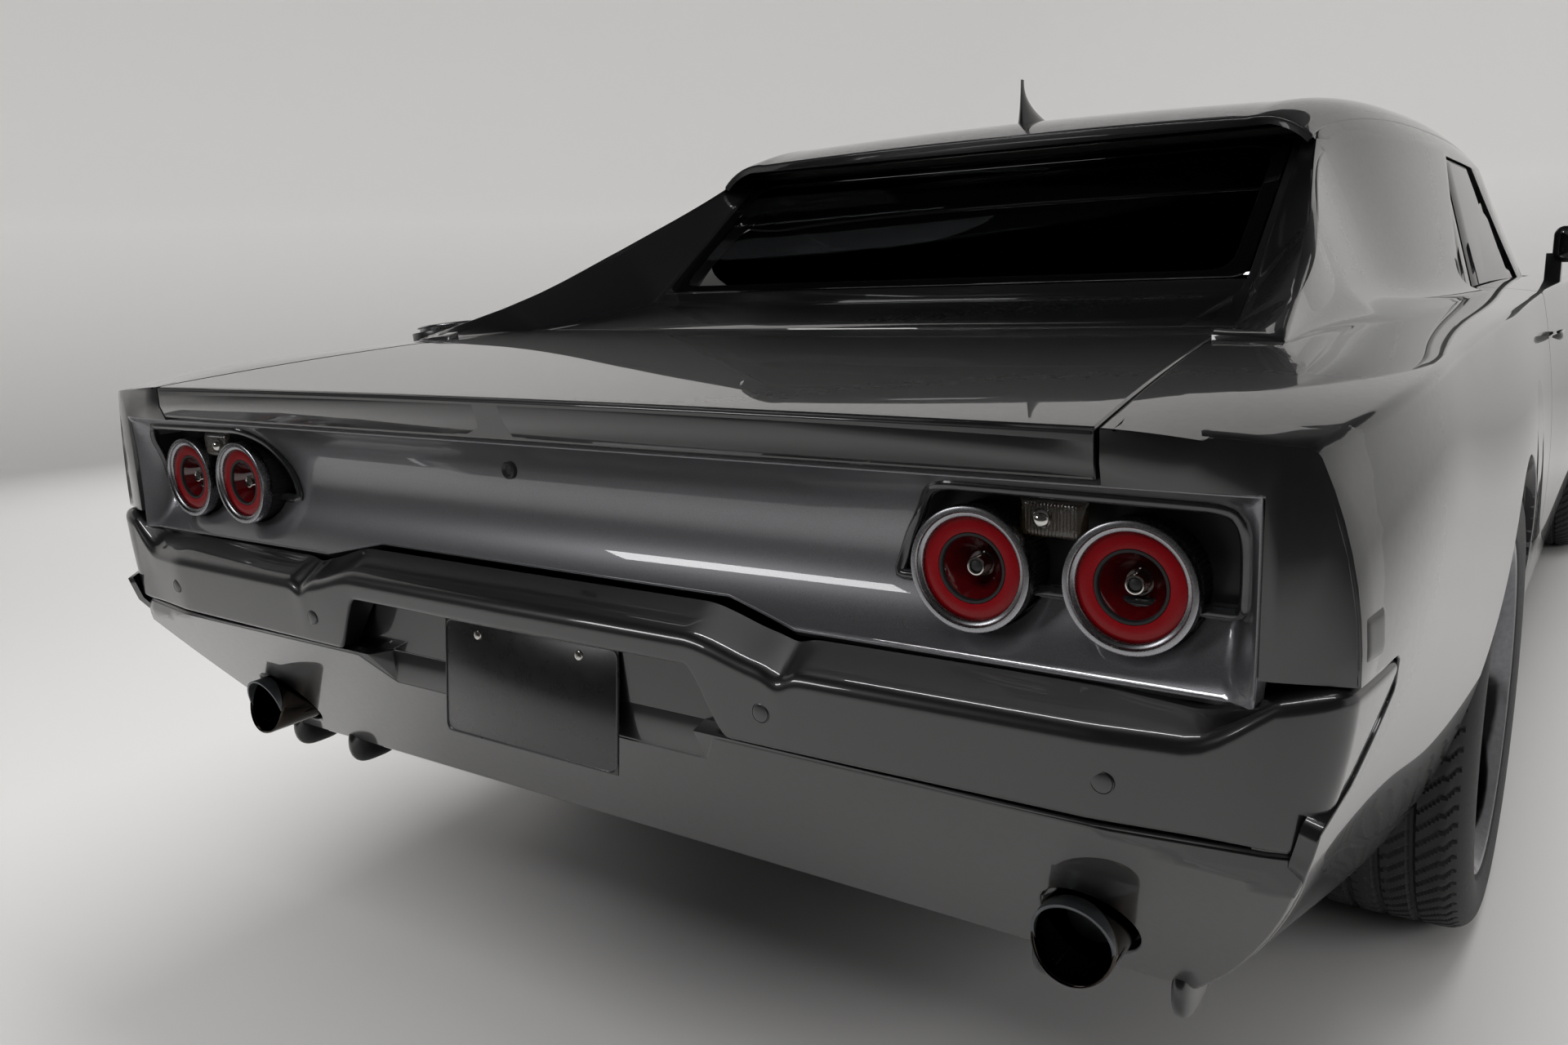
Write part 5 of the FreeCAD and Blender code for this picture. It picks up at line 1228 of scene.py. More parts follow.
    def side_columns(self, x: np.ndarray) -> np.ndarray:
        """Columns up the glasshouse side and over the roof rail.

        Args:
            x: stations, shape (n,).

        Returns:
            Points of shape (n, rows, 3).
        """
        _, rail_y, rail_z, _ = FORM.roof(x)
        root_y = SIDE.foot_y(x)
        end_y, end_z = FORM.roof_z(x, np.full_like(x, self.roof_share))
        return self.columns(x, [root_y, rail_y, end_y], [FORM.deck_z(x, root_y), rail_z, end_z],
                            [np.full_like(x, self.root_reach), np.full_like(x, 12.0)])

    def columns(self, x: np.ndarray, corner_y: list, corner_z: list, reaches: list) -> np.ndarray:
        """Columns of points through rounded corners, from the flank skin's edge inboard and up.

        Args:
            x: stations, shape (n,).
            corner_y: half-widths of the corners in turn.
            corner_z: their heights.
            reaches: for each corner but the last, how far from it the rounding starts.

        Returns:
            Points of shape (n, rows, 3).
        """
        corners = np.stack([np.stack(corner_y, -1), np.stack(corner_z, -1)], -1)
        lengths = np.linalg.norm(np.diff(corners, axis=1), axis=-1)
        root = np.minimum(reaches[0], 0.45 * lengths[:, 0])
        root_w = SIDE.shoulder_w - np.minimum(root, 62.0)
        strip_w = LINES.flank_top_w + (root_w - LINES.flank_top_w)[:, None] * np.linspace(0, 1, 5)[None]
        strip = SIDE(x[:, None], strip_w)[..., 1:]
        after = corners[:, 0] + unit(corners[:, 1] - corners[:, 0]) * root[:, None]
        parts = [strip[:, :-1], bezier(strip[:, -1], corners[:, 0], after, np.linspace(0, 1, 9))]
        here = after
        for k in range(1, corners.shape[1] - 1):
            reach = np.minimum(reaches[k], 0.45 * np.minimum(lengths[:, k - 1], lengths[:, k]))[:, None]
            enter = corners[:, k] - unit(corners[:, k] - corners[:, k - 1]) * reach
            leave = corners[:, k] + unit(corners[:, k + 1] - corners[:, k]) * reach
            t = np.linspace(0, 1, 8)[None, 1:-1, None]
            parts.append(here[:, None] * (1 - t) + enter[:, None] * t)
            parts.append(bezier(enter, corners[:, k], leave, np.linspace(0, 1, 7)))
            here = leave
        t = np.linspace(0, 1, 4)[None, 1:, None]
        parts.append(here[:, None] * (1 - t) + corners[:, -1][:, None] * t)
        section = np.concatenate(parts, axis=1)
        return np.concatenate([np.broadcast_to(x[:, None, None], section.shape[:2] + (1,)), section], axis=-1)

    def roof(self, shell: Shell) -> None:
        """Roof skin from its rear lip to the windscreen header, one crowned sheet from rail to rail.

        Args:
            shell: the shell that takes the skin.
        """
        x = np.linspace(*self.roof_ends_x, 60)
        share = np.concatenate([np.linspace(0.06, 0.3, 9), np.linspace(0.34, 1.0, 16)])
        grid_x, grid_s = np.meshgrid(x, share, indexing="ij")
        y, z = FORM.roof_z(grid_x, grid_s)
        half = np.stack([grid_x, y, z], axis=-1)
        whole = np.concatenate([half, (half * (1.0, -1.0, 1.0))[:, -2::-1]], axis=1)
        shell.patch(with_rims(whole, 3.0, 12.0, "uUvV", up=-1.0), up=-1.0, lift=self.lift)

    def body_skins(self) -> None:
        """One skin over quarters, sail panels and roof, which is a single painted surface on the car."""
        shell = self.quarters()
        self.sail(shell)
        self.roof(shell)
        shell.build_smooth("quarter_and_roof_skin", (Finishes.GLOSS_BLACK,))

    def lid(self) -> None:
        """Boot lid skin: the deck between its shut lines, a tight roll, and the lip's leaning rear face."""
        share = np.linspace(-1.0, 1.0, 61)
        roll, foot_z = 5.0, LINES.lip_foot_z
        front_x = LINES.lid_front_x - LINES.gap / 2
        rear_y = share * (LINES.lid_rear_half_w - LINES.gap / 2 - 1.0)
        crown = FORM.deck_z(tail_x(rear_y), rear_y)[:, None]
        lean = (LINES.lip_foot_x - LINES.lid_rear_x) / LINES.lip_height
        low_x = np.maximum(tail_x(rear_y), LINES.lip_foot_x)[:, None]
        top_x = np.maximum(tail_x(rear_y)[:, None], LINES.lip_foot_x - lean * (crown - foot_z))
        x = front_x + (top_x + roll - front_x) * np.linspace(0.0, 1.0, 34)[None]
        y = share[:, None] * (LINES.lid_half_w(x) - LINES.gap / 2)
        turn, tuck = np.radians(np.linspace(15, 75, 5))[None], np.radians([30.0, 60.0, 90.0])[None]
        fall = np.linspace(0.0, 1.0, 5)[None]
        # the lip from its crest down: a quarter-round roll, the leaning face, a tight turn and the flange under it
        lip = [(top_x + roll - roll * np.sin(turn), crown - roll * (1 - np.cos(turn))),
               (top_x * (1 - fall) + low_x * fall, (crown - roll) * (1 - fall) + (foot_z + 3.0) * fall),
               (low_x + 3.0 * (1 - np.cos(tuck)), 0 * low_x + foot_z + 3.0 * (1 - np.sin(tuck))),
               (low_x + 36.0, 0 * low_x + foot_z)]
        rows = [np.stack([x, y, FORM.deck_z(x, y)], axis=-1)]
        rows += [np.stack([lip_x, y[:, -1:] + 0 * lip_x, lip_z], axis=-1) for lip_x, lip_z in lip]
        shell = Shell()
        shell.patch(with_rims(np.concatenate(rows, axis=1), 2.0, self.flange, "uUv"), lift=self.lid_lift)
        shell.build_smooth("boot_lid_skin", (Finishes.GLOSS_BLACK,), "trunk_lid")

    def hood(self) -> None:
        """Hood skin between its shut lines, crowned as the deck is."""
        x = np.linspace(LINES.hood_rear_x + LINES.gap / 2, LINES.hood_front_x - 32.0, 56)[:, None]
        y = np.linspace(-1.0, 1.0, 57)[None] * (LINES.hood_half_w(x) - LINES.gap / 2)
        x = x + 0 * y
        shell = Shell()
        shell.patch(with_rims(np.stack([x, y, FORM.deck_z(x, y)], axis=-1), 2.0, self.flange), lift=self.hood_lift)
        shell.build_smooth("hood_skin", (Finishes.GLOSS_BLACK,), "hood")

    def build(self) -> None:
        """Builds every painted skin."""
        self.body_skins()
        self.doors()
        self.fenders()
        self.lid()
        self.hood()


# ---------------------------------------------------------------- tail
def rectangle(half_a: float, half_b: float, reach: float) -> list[tuple[float, float, float]]:
    """Corners of an upright rectangle about the origin, for rounded_loop."""
    return [(half_a, half_b, reach), (-half_a, half_b, reach), (-half_a, -half_b, reach), (half_a, -half_b, reach)]


def tube(path: np.ndarray, radius: float, count: int, squash: float) -> np.ndarray:
    """Carries a circle along a closed path, turned with the path's direction.

    Args:
        path: points of the closed path, shape (n, 3).
        radius: radius across the path in the plane that faces the rear.
        count: points round the circle.
        squash: share of the radius kept along X.

    Returns:
        Points of shape (n, count, 3), to be wrapped both ways.
    """
    run = unit(np.roll(path, -1, 0) - np.roll(path, 1, 0))
    across = unit(np.cross(run, (1.0, 0.0, 0.0)))
    rear = np.cross(across, run)
    angle = np.linspace(0, FULL_TURN, count, endpoint=False)[None, :, None]
    return path[:, None] + radius * (np.cos(angle) * across[:, None] + squash * np.sin(angle) * rear[:, None])


def rounded_loop(corners: Sequence[tuple[float, float, float]], count: int = 9) -> np.ndarray:
    """Makes a closed loop of corners, each rounded by a parabola.

    Args:
        corners: (a, b, how far from the corner its rounding starts).
        count: points on each rounding.

    Returns:
        Points (a, b) of the loop.
    """
    points = np.array([c[:2] for c in corners], float)
    reach = np.array([c[2] for c in corners])[:, None]
    before, after = np.roll(points, 1, 0), np.roll(points, -1, 0)
    enter, leave = points + unit(before - points) * reach, points + unit(after - points) * reach
    return bezier(enter, points, leave, np.linspace(0, 1, count)).reshape(-1, 2)


@dataclass(frozen=True)
class TailSizes:
    """Sizes of the tail, in millimetres.

    Attributes:
        panel_half_w: half-width of the metallic panel.
        panel_top_z: height of its upper edge.
        scoop_z: height at which it is deepest.
        scoop_x: its station there.
        top_x: its station at the upper edge.
        foot_z: height of its lower edge.
        foot_x: its station there.
        panel_foot: steps of its lower edge, as (y, z).
        cove_w: width of the blend at its ends.
        cove_x: how far forward the ends stay.
        lamp_r: outer radius of a lamp's ring.
        lamps: outer and inner lamp's centre.
        recess_floor_x: station of the lamp recess's floor.
        recess_corners: its corners (y, z) with the reach of their rounding.
        moulding_r: radius of the moulding round it.
        reversing_lamp: centre (y, z) of a reversing lamp.
        bumper_x_offset: how far the bumper stands behind the tail.
        sensors: centres (y, z) of the parking sensors.
        camera: centre of the camera.
        seam_z: height of the seam between bumper and valance.
        valance_foot: x and z of the valance's lower edge.
        valance_top_x: its station at the seam.
        plate_notch: upper and lower half-width and height of its notch for the plate.
        exhaust: centre of a tip's mouth.
        exhaust_r: radius of a tip.
        exhaust_slash: lean of its mouth.
        strake_at: x, distance from the tip's middle, and z of a strake.
        strake_half: half-length, half-thickness and half-height of a strake.
        plate_w: width of the plate.
        plate_h: height of the plate.
        plate_at: its centre.
        plate_lean: its lean.
        plate_hole: place of its screws from its centre, as (y, z).
    """
    panel_half_w: float = 866.0
    panel_top_z: float = 899.0
    scoop_z: float = 785.0
    scoop_x: float = -2454.0
    top_x: float = -2512.0
    foot_z: float = 716.0
    foot_x: float = -2497.0
    panel_foot: tuple = ((400, 718), (300, 738))
    cove_w: float = 30.0
    cove_x: float = -2506.0
    lamp_r: float = 61.5
    lamps: tuple = ((-2489.0, 752.0, 804.0), (-2495.0, 601.0, 806.0))
    recess_floor_x: float = -2438.5
    recess_corners: tuple = ((845, 784, 12), (850, 884, 34), (562, 888, 26), (520, 826, 12), (505, 784, 6))
    moulding_r: float = 6.2
    reversing_lamp: tuple = (677.0, 858.0)
    bumper_x_offset: float = -11.5
    sensors: tuple = ((747.0, 640.0), (385.0, 640.0))
    camera: tuple = (-2508.0, 0.0, 865.0)
    seam_z: float = 598.0
    valance_foot: tuple = (-2340.0, 344.0)
    valance_top_x: float = -2530.0
    plate_notch: tuple = (308.0, 272.0, 552.0)
    exhaust: tuple = (-2449.0, 688.0, 426.0)
    exhaust_r: float = 44.0
    exhaust_slash: float = math.radians(14.0)
    strake_at: tuple = (-2306.0, 77.0, 338.0)
    strake_half: tuple = (50.0, 13.0, 36.0)
    plate_w: float = 304.8
    plate_h: float = 152.4
    plate_at: tuple = (-2506.5, 0.0, 586.0)
    plate_lean: float = math.radians(6.0)
    plate_hole: tuple = (89.0, 60.0)


@dataclass(frozen=True)
class BumperSizes:
    """Sizes of the rear bumper, in millimetres; w is the distance out along it from the car's middle.

    Attributes:
        raised_w: where the raised middle starts and has ended.
        raised_h: how much higher its crest and its shelf stand.
        notch_w: where the crest's notch is, and how wide.
        wrap_w: between these the section rises to wrap the corner.
        recess_w: where the plate's recess starts and has ended.
        recess_h: height of the recess.
        bend_w: where the corner starts and ends.
        side_x: where the wrapped side starts and ends.
        crest: height of the crest, and its rounding.
        shelf: depth and height of the shelf's inner edge.
        low_w: stations of the lower edge.
        low_z: its height there.
        wall: x, half-width, lower and upper edge of the recess's back wall.
    """
    raised_w: tuple = (285.0, 400.0)
    raised_h: tuple = (22.0, 24.0)
    notch_w: tuple = (408.0, 15.0)
    wrap_w: tuple = (812.0, 915.0)
    recess_w: tuple = (284.0, 338.0)
    recess_h: float = 76.0
    bend_w: tuple = (884.0, 924.0)
    side_x: tuple = (-2486.0, -2387.0)
    crest: tuple = (686.0, 13.0)
    shelf: tuple = (46.0, 714.0)
    low_w: tuple = (884.0, 912.0, 919.0, 926.0, 947.0, 1023.0)
    low_z: tuple = (600.5, 600.5, 612.0, 644.0, 654.0, 714.0)
    wall: tuple = (-2496.0, 335.0, 598.0, 692.0)


@dataclass(frozen=True)
class Tail:
    """Tail panel, lamp recesses and lamps, bumper, valance, exhaust tips and number plate."""

    size: TailSizes = TailSizes()
    bar: BumperSizes = BumperSizes()

    def panel_surface(self, y: np.ndarray, z: np.ndarray) -> np.ndarray:
        """Scooped panel: a circle in side view, flared back to the end caps within the cove's width.

        Args:
            y: distances from the middle.
            z: heights.

        Returns:
            Points, with the three coordinates last.
        """
        s = self.size
        y, z = np.broadcast_arrays(np.asarray(y, float), np.asarray(z, float))
        u, v, r = circle_through((s.top_x, s.panel_top_z), (s.scoop_x, s.scoop_z), (s.foot_x, s.foot_z))
        x = u + np.sqrt(np.maximum(r * r - (z - v) ** 2, 0.0))
        cove = smooth_step(np.abs(y), s.panel_half_w - s.cove_w, s.panel_half_w + 4.0)
        x = x * (1 - cove) + np.minimum(x, s.cove_x) * cove
        return np.stack([np.maximum(x, tail_x(y)), y, z], axis=-1)

    def panel(self) -> None:
        """Metallic panel with its two lamp recesses cut out."""
        s = self.size
        (_, end_z), *_ = s.panel_foot
        half = [(s.panel_half_w, end_z), *s.panel_foot]
        foot = [(-y, z) for y, z in half] + half[::-1]
        outline = Loop([(foot, Edge.ROLLED),
                        ([foot[-1], (s.panel_half_w, s.panel_top_z), (-s.panel_half_w, s.panel_top_z), foot[0]],
                         Edge.ROLLED)], step=10.0)
        holes = tuple(Loop([([(side * y, z) for y, z in [*self.hole(), self.hole()[0]]], Edge.ROLLED)], step=6.0)
                      for side in (1, -1))
        shell = Shell()
        Skin(self.panel_surface, outline, holes, flip=-1.0, spacing=(14.0, 9.0), depth=8.0).add_to(shell, mirror=False)
        shell.build_smooth("tail_panel_skin", (Finishes.GUNMETAL,))

    def hole(self) -> list[tuple[float, float]]:
        """Outline of a recess joined with its two round cans.

        Returns:
            (y, z) points of the left one, in order.
        """
        (_, outer_y, outer_z), (_, inner_y, inner_z) = self.size.lamps
        r = self.size.lamp_r + 1.0
        top = [tuple(p) for p in rounded_loop(self.size.recess_corners, 7)[7:]]
        round_cans = [arc_points(y, z, r, 200, 340, 22) for y, z in ((inner_y, inner_z), (outer_y, outer_z))]
        return [*top, *round_cans[0], *round_cans[1], (846, 786)]

    def recess(self) -> None:
        """Gloss black tray behind each pair of lamps, and the thick moulding round it."""
        shell, trays, s = Shell(), Shell(), self.size
        loop = rounded_loop(s.recess_corners, 12)
        loop = resample(np.vstack([loop, loop[:1]]), 160)[:-1]
        place = self.panel_surface(loop[:, 0], loop[:, 1]) - (3.0, 0.0, 0.0)
        hole = resample(np.array([*self.hole(), self.hole()[0]], float), 200)[:-1]
        lip = self.panel_surface(hole[:, 0], hole[:, 1])
        floor = lip.copy()
        floor[:, 0] = s.recess_floor_x
        depth, inward = np.linspace(0.0, 1.0, 6)[None, :, None], np.linspace(0.0, 1.0, 8)[None, 1:, None]
        wall = lip[:, None] * (1 - depth) + floor[:, None] * depth
        base = floor[:, None] * (1 - inward) + floor.mean(axis=0) * inward
        for side in (1, -1):
            shell.grid(tube(place * (1, side, 1), s.moulding_r, 14, 0.8), wrap_u=True, wrap_v=True)
            trays.grid(np.concatenate([wall, base], axis=1) * (1, side, 1), wrap_u=True)
        shell.build("lamp_recess_mouldings", (Finishes.MOULDING,))
        trays.build("lamp_recess_trays", (Finishes.GLOSS_PLASTIC,))

    def lamps(self) -> None:
        """Four canister lamps, each profile carried round the lamp's own axis."""
        r = self.size.lamp_r
        ring = np.array([(r - 3, 16), (r - 0.6, 15.6), (r, 14.5), (r, 2.2), (r - 0.6, 0.7), (r - 2.0, 0.0),
                         (r - 5.6, 0.0), (r - 6.6, 0.9), (r - 7.2, 2.6), (r - 10.2, 3.4), (r - 11.2, 4.4),
                         (r - 11.6, 6.5), (r - 12.2, 12.0)])
        lens = np.array([(r - 11.8, 8.4), (r - 14.5, 7.6), (r - 21, 7.2), (r - 26.5, 7.6), (r - 27.3, 8.6)])
        band = np.array([(r - 27.0, 8.4), (r - 27.6, 7.4), (r - 30.0, 7.4), (r - 30.8, 8.8), (r - 31.0, 12.0)])
        t = np.linspace(0, 1, 12)
        bowl = np.stack([31.0 - 22.0 * t, 11.0 + 27.0 * np.sin(t * math.pi / 2)], axis=1)
        post = np.array([(9.2, 40.0), (9.2, 17.5), (8.6, 16.4), (7.4, 16.2), (6.6, 17.0), (6.2, 19.0)])
        pupil = np.array([(6.3, 19.5), (5.6, 18.2), (3.4, 17.2), (0.01, 16.9)])
        angle = np.linspace(0, FULL_TURN, 288, endpoint=False)[:, None]
        rib = r - 4.0 + 1.1 * (np.sin(72 * angle) > 0)
        can_rows = np.array([[14.0, 16.0, 26.0, 36.0, 46.0, 54.0]])
        metal, glass, cans = Shell(), Shell(), Shell()
        turned = ((metal, ring, 0, 128), (metal, post, 1, 48), (glass, lens, 0, 128), (glass, bowl, 1, 96),
                  (cans, band, 0, 96), (cans, pupil, 0, 32))
        for side in (1, -1):
            for x, y, z in self.size.lamps:
                for shell, profile, slot, count in turned:
                    shell.grid(revolve(profile, (x, side * y, z), "x", count), slot, wrap_u=True)
                cans.grid(np.stack([x + can_rows + 0 * angle, side * y + rib * np.cos(angle) + 0 * can_rows,
                                    z + rib * np.sin(angle) + 0 * can_rows], axis=-1), wrap_u=True)
        rings = metal.build("tail_lamp_rings", (Finishes.SATIN_ALUMINIUM, Finishes.BRIGHT_STEEL))
        lenses = glass.build("tail_lamp_red_lenses", (Finishes.RED_LENS, Finishes.RED_BOWL))
        body = cans.build("tail_lamp_ribbed_cans", (Finishes.MOULDED_BLACK,), sharp=20.0)
        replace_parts(lenses, "tail_lamp_lenses")
        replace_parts(body, "tail_lamp_cans")

    def reversing_lamps(self) -> None:
        """Ribbed reversing lamp between each pair: a shallow dome, less a squared sine for the ribs, over a bulb."""
        y, z = self.size.reversing_lamp
        u, v = np.meshgrid(np.linspace(-1, 1, 60), np.linspace(-1, 1, 24), indexing="ij")
        dome = (1 - u ** 8) * (1 - v ** 8)
        x = -2474.0 - 7.0 * dome - 0.7 * np.sin(u * 20 * math.pi / 2) ** 2 * dome
        p = np.stack([x, y + 33.0 * u, z + 19.0 * v], axis=-1)
        bulb = revolve(np.array([(0.01, -12.0), (5.0, -11.0), (9.0, -7.0), (10.5, 0.0), (9.5, 4.0)]),
                       (-2476.0, y - 9.0, z), "x", 32)
        shell = Shell()
        for side in (1, -1):
            shell.grid(p * (1, side, 1), 0)
            shell.grid(bulb * (1, side, 1), 1, wrap_u=True)
        shell.build("reversing_lamps", (Finishes.AMBER_LENS, Finishes.BRIGHT_STEEL))

    def bumper_profile(self, w: np.ndarray) -> np.ndarray:
        """Section of the bumper at each distance from the middle, from its shelf to its inward return.

        Args:
            w: distances out along the bumper.

        Returns:
            (inward offset, height) of shape (stations, rows, 2): shelf, rounded crest, leaning face, rounded foot
            and return.
        """
        b = self.bar
        raised, recess = (1.0 - smooth_step(w, *ends) for ends in (b.raised_w, b.recess_w))
        notch = np.exp(-((w - b.notch_w[0]) / b.notch_w[1]) ** 2)
        up = smooth_step(w, *b.wrap_w)
        low = np.interp(w, b.low_w, b.low_z) + b.recess_h * recess
        crest = np.stack([0 * w, b.crest[0] + b.raised_h[0] * raised - 9.0 * notch + 57.0 * up], -1)
        shelf = np.stack([b.shelf[0] - 14.0 * up, b.shelf[1] + b.raised_h[1] * raised - 5.0 * notch + 31.0 * up], -1)
        foot = np.stack([8.0 - 5.0 * recess - 4.5 * up, low], -1)
        back = np.stack([34.0 + 16.0 * recess, low + 3.0 * recess], -1)
        start, stop = (crest + unit(end - crest) * b.crest[1] for end in (shelf, foot))
        low_in, low_out = (foot + unit(end - foot) * 6.0 for end in (crest, back))
        t = np.linspace(0, 1, 6)[None, :, None]
        return np.concatenate([shelf[:, None] * (1 - t) + start[:, None] * t,
                               bezier(start, crest, stop, np.linspace(0, 1, 13))[:, 1:],
                               stop[:, None] * (1 - t[:, 1:]) + low_in[:, None] * t[:, 1:],
                               bezier(low_in, foot, low_out, np.linspace(0, 1, 7))[:, 1:], back[:, None]], axis=1)

    def bumper(self) -> None:
        """Bumper: one section carried along the tail, round the corner on a quadratic curve, and up the side."""
        b = self.bar
        y = np.concatenate([np.linspace(0.0, 270.0, 16), np.linspace(280.0, 345.0, 14), np.linspace(352.0, 460.0, 22),
                            np.linspace(475.0, b.bend_w[0], 30)])
        turn = np.linspace(0, 1, 19)[1:]
        ahead = np.linspace(*b.side_x, 14)[1:]
        rear, bend, side = (self.bumper_profile(w) for w in
                            (y, b.bend_w[0] + (b.bend_w[1] - b.bend_w[0]) * turn, b.bend_w[1] + ahead - b.side_x[0]))
        rear_x = tail_x(y)[:, None] + self.size.bumper_x_offset + rear[..., 0]
        side_x = ahead[:, None] + 0 * side[..., 0]
        begin_x = rear_x[-1:, :1] - rear[-1:, :1, 0] + bend[..., 0]
        end_x = np.full_like(begin_x, b.side_x[0])
        end_y = FORM.side_y(end_x, bend[..., 1]) + 2.0 - bend[..., 0]
        corner_y = FORM.side_y(end_x - 22.0, bend[..., 1]) + 1.0 - bend[..., 0]
        t = turn[:, None]
        bend_x, bend_y = ((1 - t) ** 2 * start + 2 * t * (1 - t) * corner + t ** 2 * stop for start, corner, stop in
                          ((begin_x, begin_x + 4.0, end_x), (b.bend_w[0], corner_y, end_y)))
        grid = np.concatenate([
            np.stack([rear_x, y[:, None] + 0 * rear_x, rear[..., 1]], -1), np.stack([bend_x, bend_y, bend[..., 1]], -1),
            np.stack([side_x, FORM.side_y(side_x, side[..., 1]) + 2.0 - side[..., 0], side[..., 1]], -1)], axis=0)
        whole = np.concatenate([(grid * (1, -1, 1))[:0:-1], grid], axis=0)
        shell = Shell()
        shell.patch(with_rims(whole, 2.0, 10.0, "uU"))
        wall_x, half_w, low_z, high_z = b.wall
        u, v = np.meshgrid(np.linspace(-half_w, half_w, 24), np.linspace(low_z, high_z, 8), indexing="ij")
        shell.patch(np.stack([wall_x + 0 * u, u, v], -1))
        piece = shell.build_smooth("rear_bumper_skin", (Finishes.GLOSS_BLACK,))
        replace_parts(piece, "rear_bumper")

    def valance_surface(self, y: np.ndarray, z: np.ndarray) -> np.ndarray:
        """Raked face under the bumper, straight in side view and no further back than the tail's plan line.

        Args:
            y: distances from the middle.
            z: heights.

        Returns:
            Points, with the three coordinates last.
        """
        y, z = np.broadcast_arrays(np.asarray(y, float), np.asarray(z, float))
        foot_x, foot_z = self.size.valance_foot
        top_x, top_z = self.size.valance_top_x, self.size.seam_z
        rake = top_x + (foot_x - top_x) * (top_z - z) / (top_z - foot_z)
        return np.stack([np.maximum(rake, tail_x(y)), y, z], axis=-1)

    def valance(self) -> None:
        """Valance skin with round holes for the exhaust tips."""
        s = self.size
        edge = []
        for z in np.linspace(s.seam_z - 3.0, s.valance_foot[1] + 3.0, 14):
            x = float(self.valance_surface(np.array(900.0), np.array(z))[0])
            sill_half_w, underside_z = (float(value[0]) for value in FORM.lower(np.array([x]))[:2])
            on_chamfer = z <= underside_z + FORM.sill_chamfer
            y = sill_half_w - FORM.sill_chamfer + (z - underside_z) if on_chamfer else \
                float(FORM.side_y(np.array([x]), np.array([z]))[0])
            edge.append((y, z))
        wide, narrow, notch_z = s.plate_notch
        notch = [(-wide, s.seam_z - 3.0), (-narrow, notch_z), (narrow, notch_z), (wide, s.seam_z - 3.0)]
        outline = Loop([([*[(-y, z) for y, z in edge], *edge[::-1]], Edge.ROLLED),
                        ([edge[0], *notch[::-1], (-edge[0][0], edge[0][1])], Edge.ROLLED)], step=10.0)
        _, y, z = s.exhaust
        holes = tuple(Loop([(arc_points(side * y, z, s.exhaust_r + 7.0, 0, 360, 49), Edge.ROLLED)], step=8.0)
                      for side in (1, -1))
        shell = Shell()
        Skin(self.valance_surface, outline, holes, flip=-1.0, radius=3.0, depth=10.0,
             spacing=(20.0, 14.0)).add_to(shell, mirror=False)
        shell.build_smooth("rear_valance_skin", (Finishes.GLOSS_BLACK,))

    def strakes(self) -> None:
        """Short rounded strakes under the valance beside each tip: squared ellipsoids half behind the skin."""
        x, offset, z = self.size.strake_at
        long, thick, tall = self.size.strake_half
        shell = Shell()
        a = np.linspace(0, FULL_TURN, 48, endpoint=False)[:, None]
        b = np.linspace(-math.pi / 2, math.pi / 2, 25)[None]
        ring = np.maximum(np.cos(b), 0.0) ** 0.5
        along, across = ring * signed_power(np.cos(a), 0.7), ring * signed_power(np.sin(a), 0.7)
        for side in (1, -1):
            for y in (self.size.exhaust[1] - offset, self.size.exhaust[1] + offset):
                p = np.stack([x + long * along, side * y + thick * across, z + tall * np.sin(b) + 0 * a], axis=-1)
                shell.grid(p, wrap_u=True)
        shell.build("valance_strakes", (Finishes.GLOSS_BLACK,))

    def exhaust_tips(self) -> None:
        """Slash-cut tips: a rolled lip whose plane leans, x offset in proportion to height."""
        x, y, z = self.size.exhaust
        r = self.size.exhaust_r + 0.8
        outer = np.array([(r - 8, 140.0), (r, 134.0), (r, 40.0), (r, 4.0), (r - 0.5, 1.5), (r - 2.0, 0.3),
                          (r - 3.6, 1.2), (r - 4.4, 4.0), (r - 4.4, 50.0), (r - 5.0, 125.0), (0.01, 126.0)])
        shell = Shell()
        for side in (1, -1):
            p = revolve(outer, (x, side * y, z), "x", 96)
            lean = np.clip(1.0 - (p[..., 0] - x) / 40.0, 0, 1) * math.tan(self.size.exhaust_slash)
            p[..., 0] += (p[..., 2] - z) * lean
            shell.grid(p, 0, wrap_u=True)
        shell.build("exhaust_tips", (Finishes.BLACK_NICKEL,), sharp=50.0)

    def plate(self) -> None:
        """Blank plate with a raised rim, two screws above and two slots below, leaning back at its foot."""
        s = self.size
        half_w, half_h = s.plate_w / 2, s.plate_h / 2
        hole_y, hole_z = s.plate_hole
        loop = rounded_loop(rectangle(half_w, half_h, 12), 9)
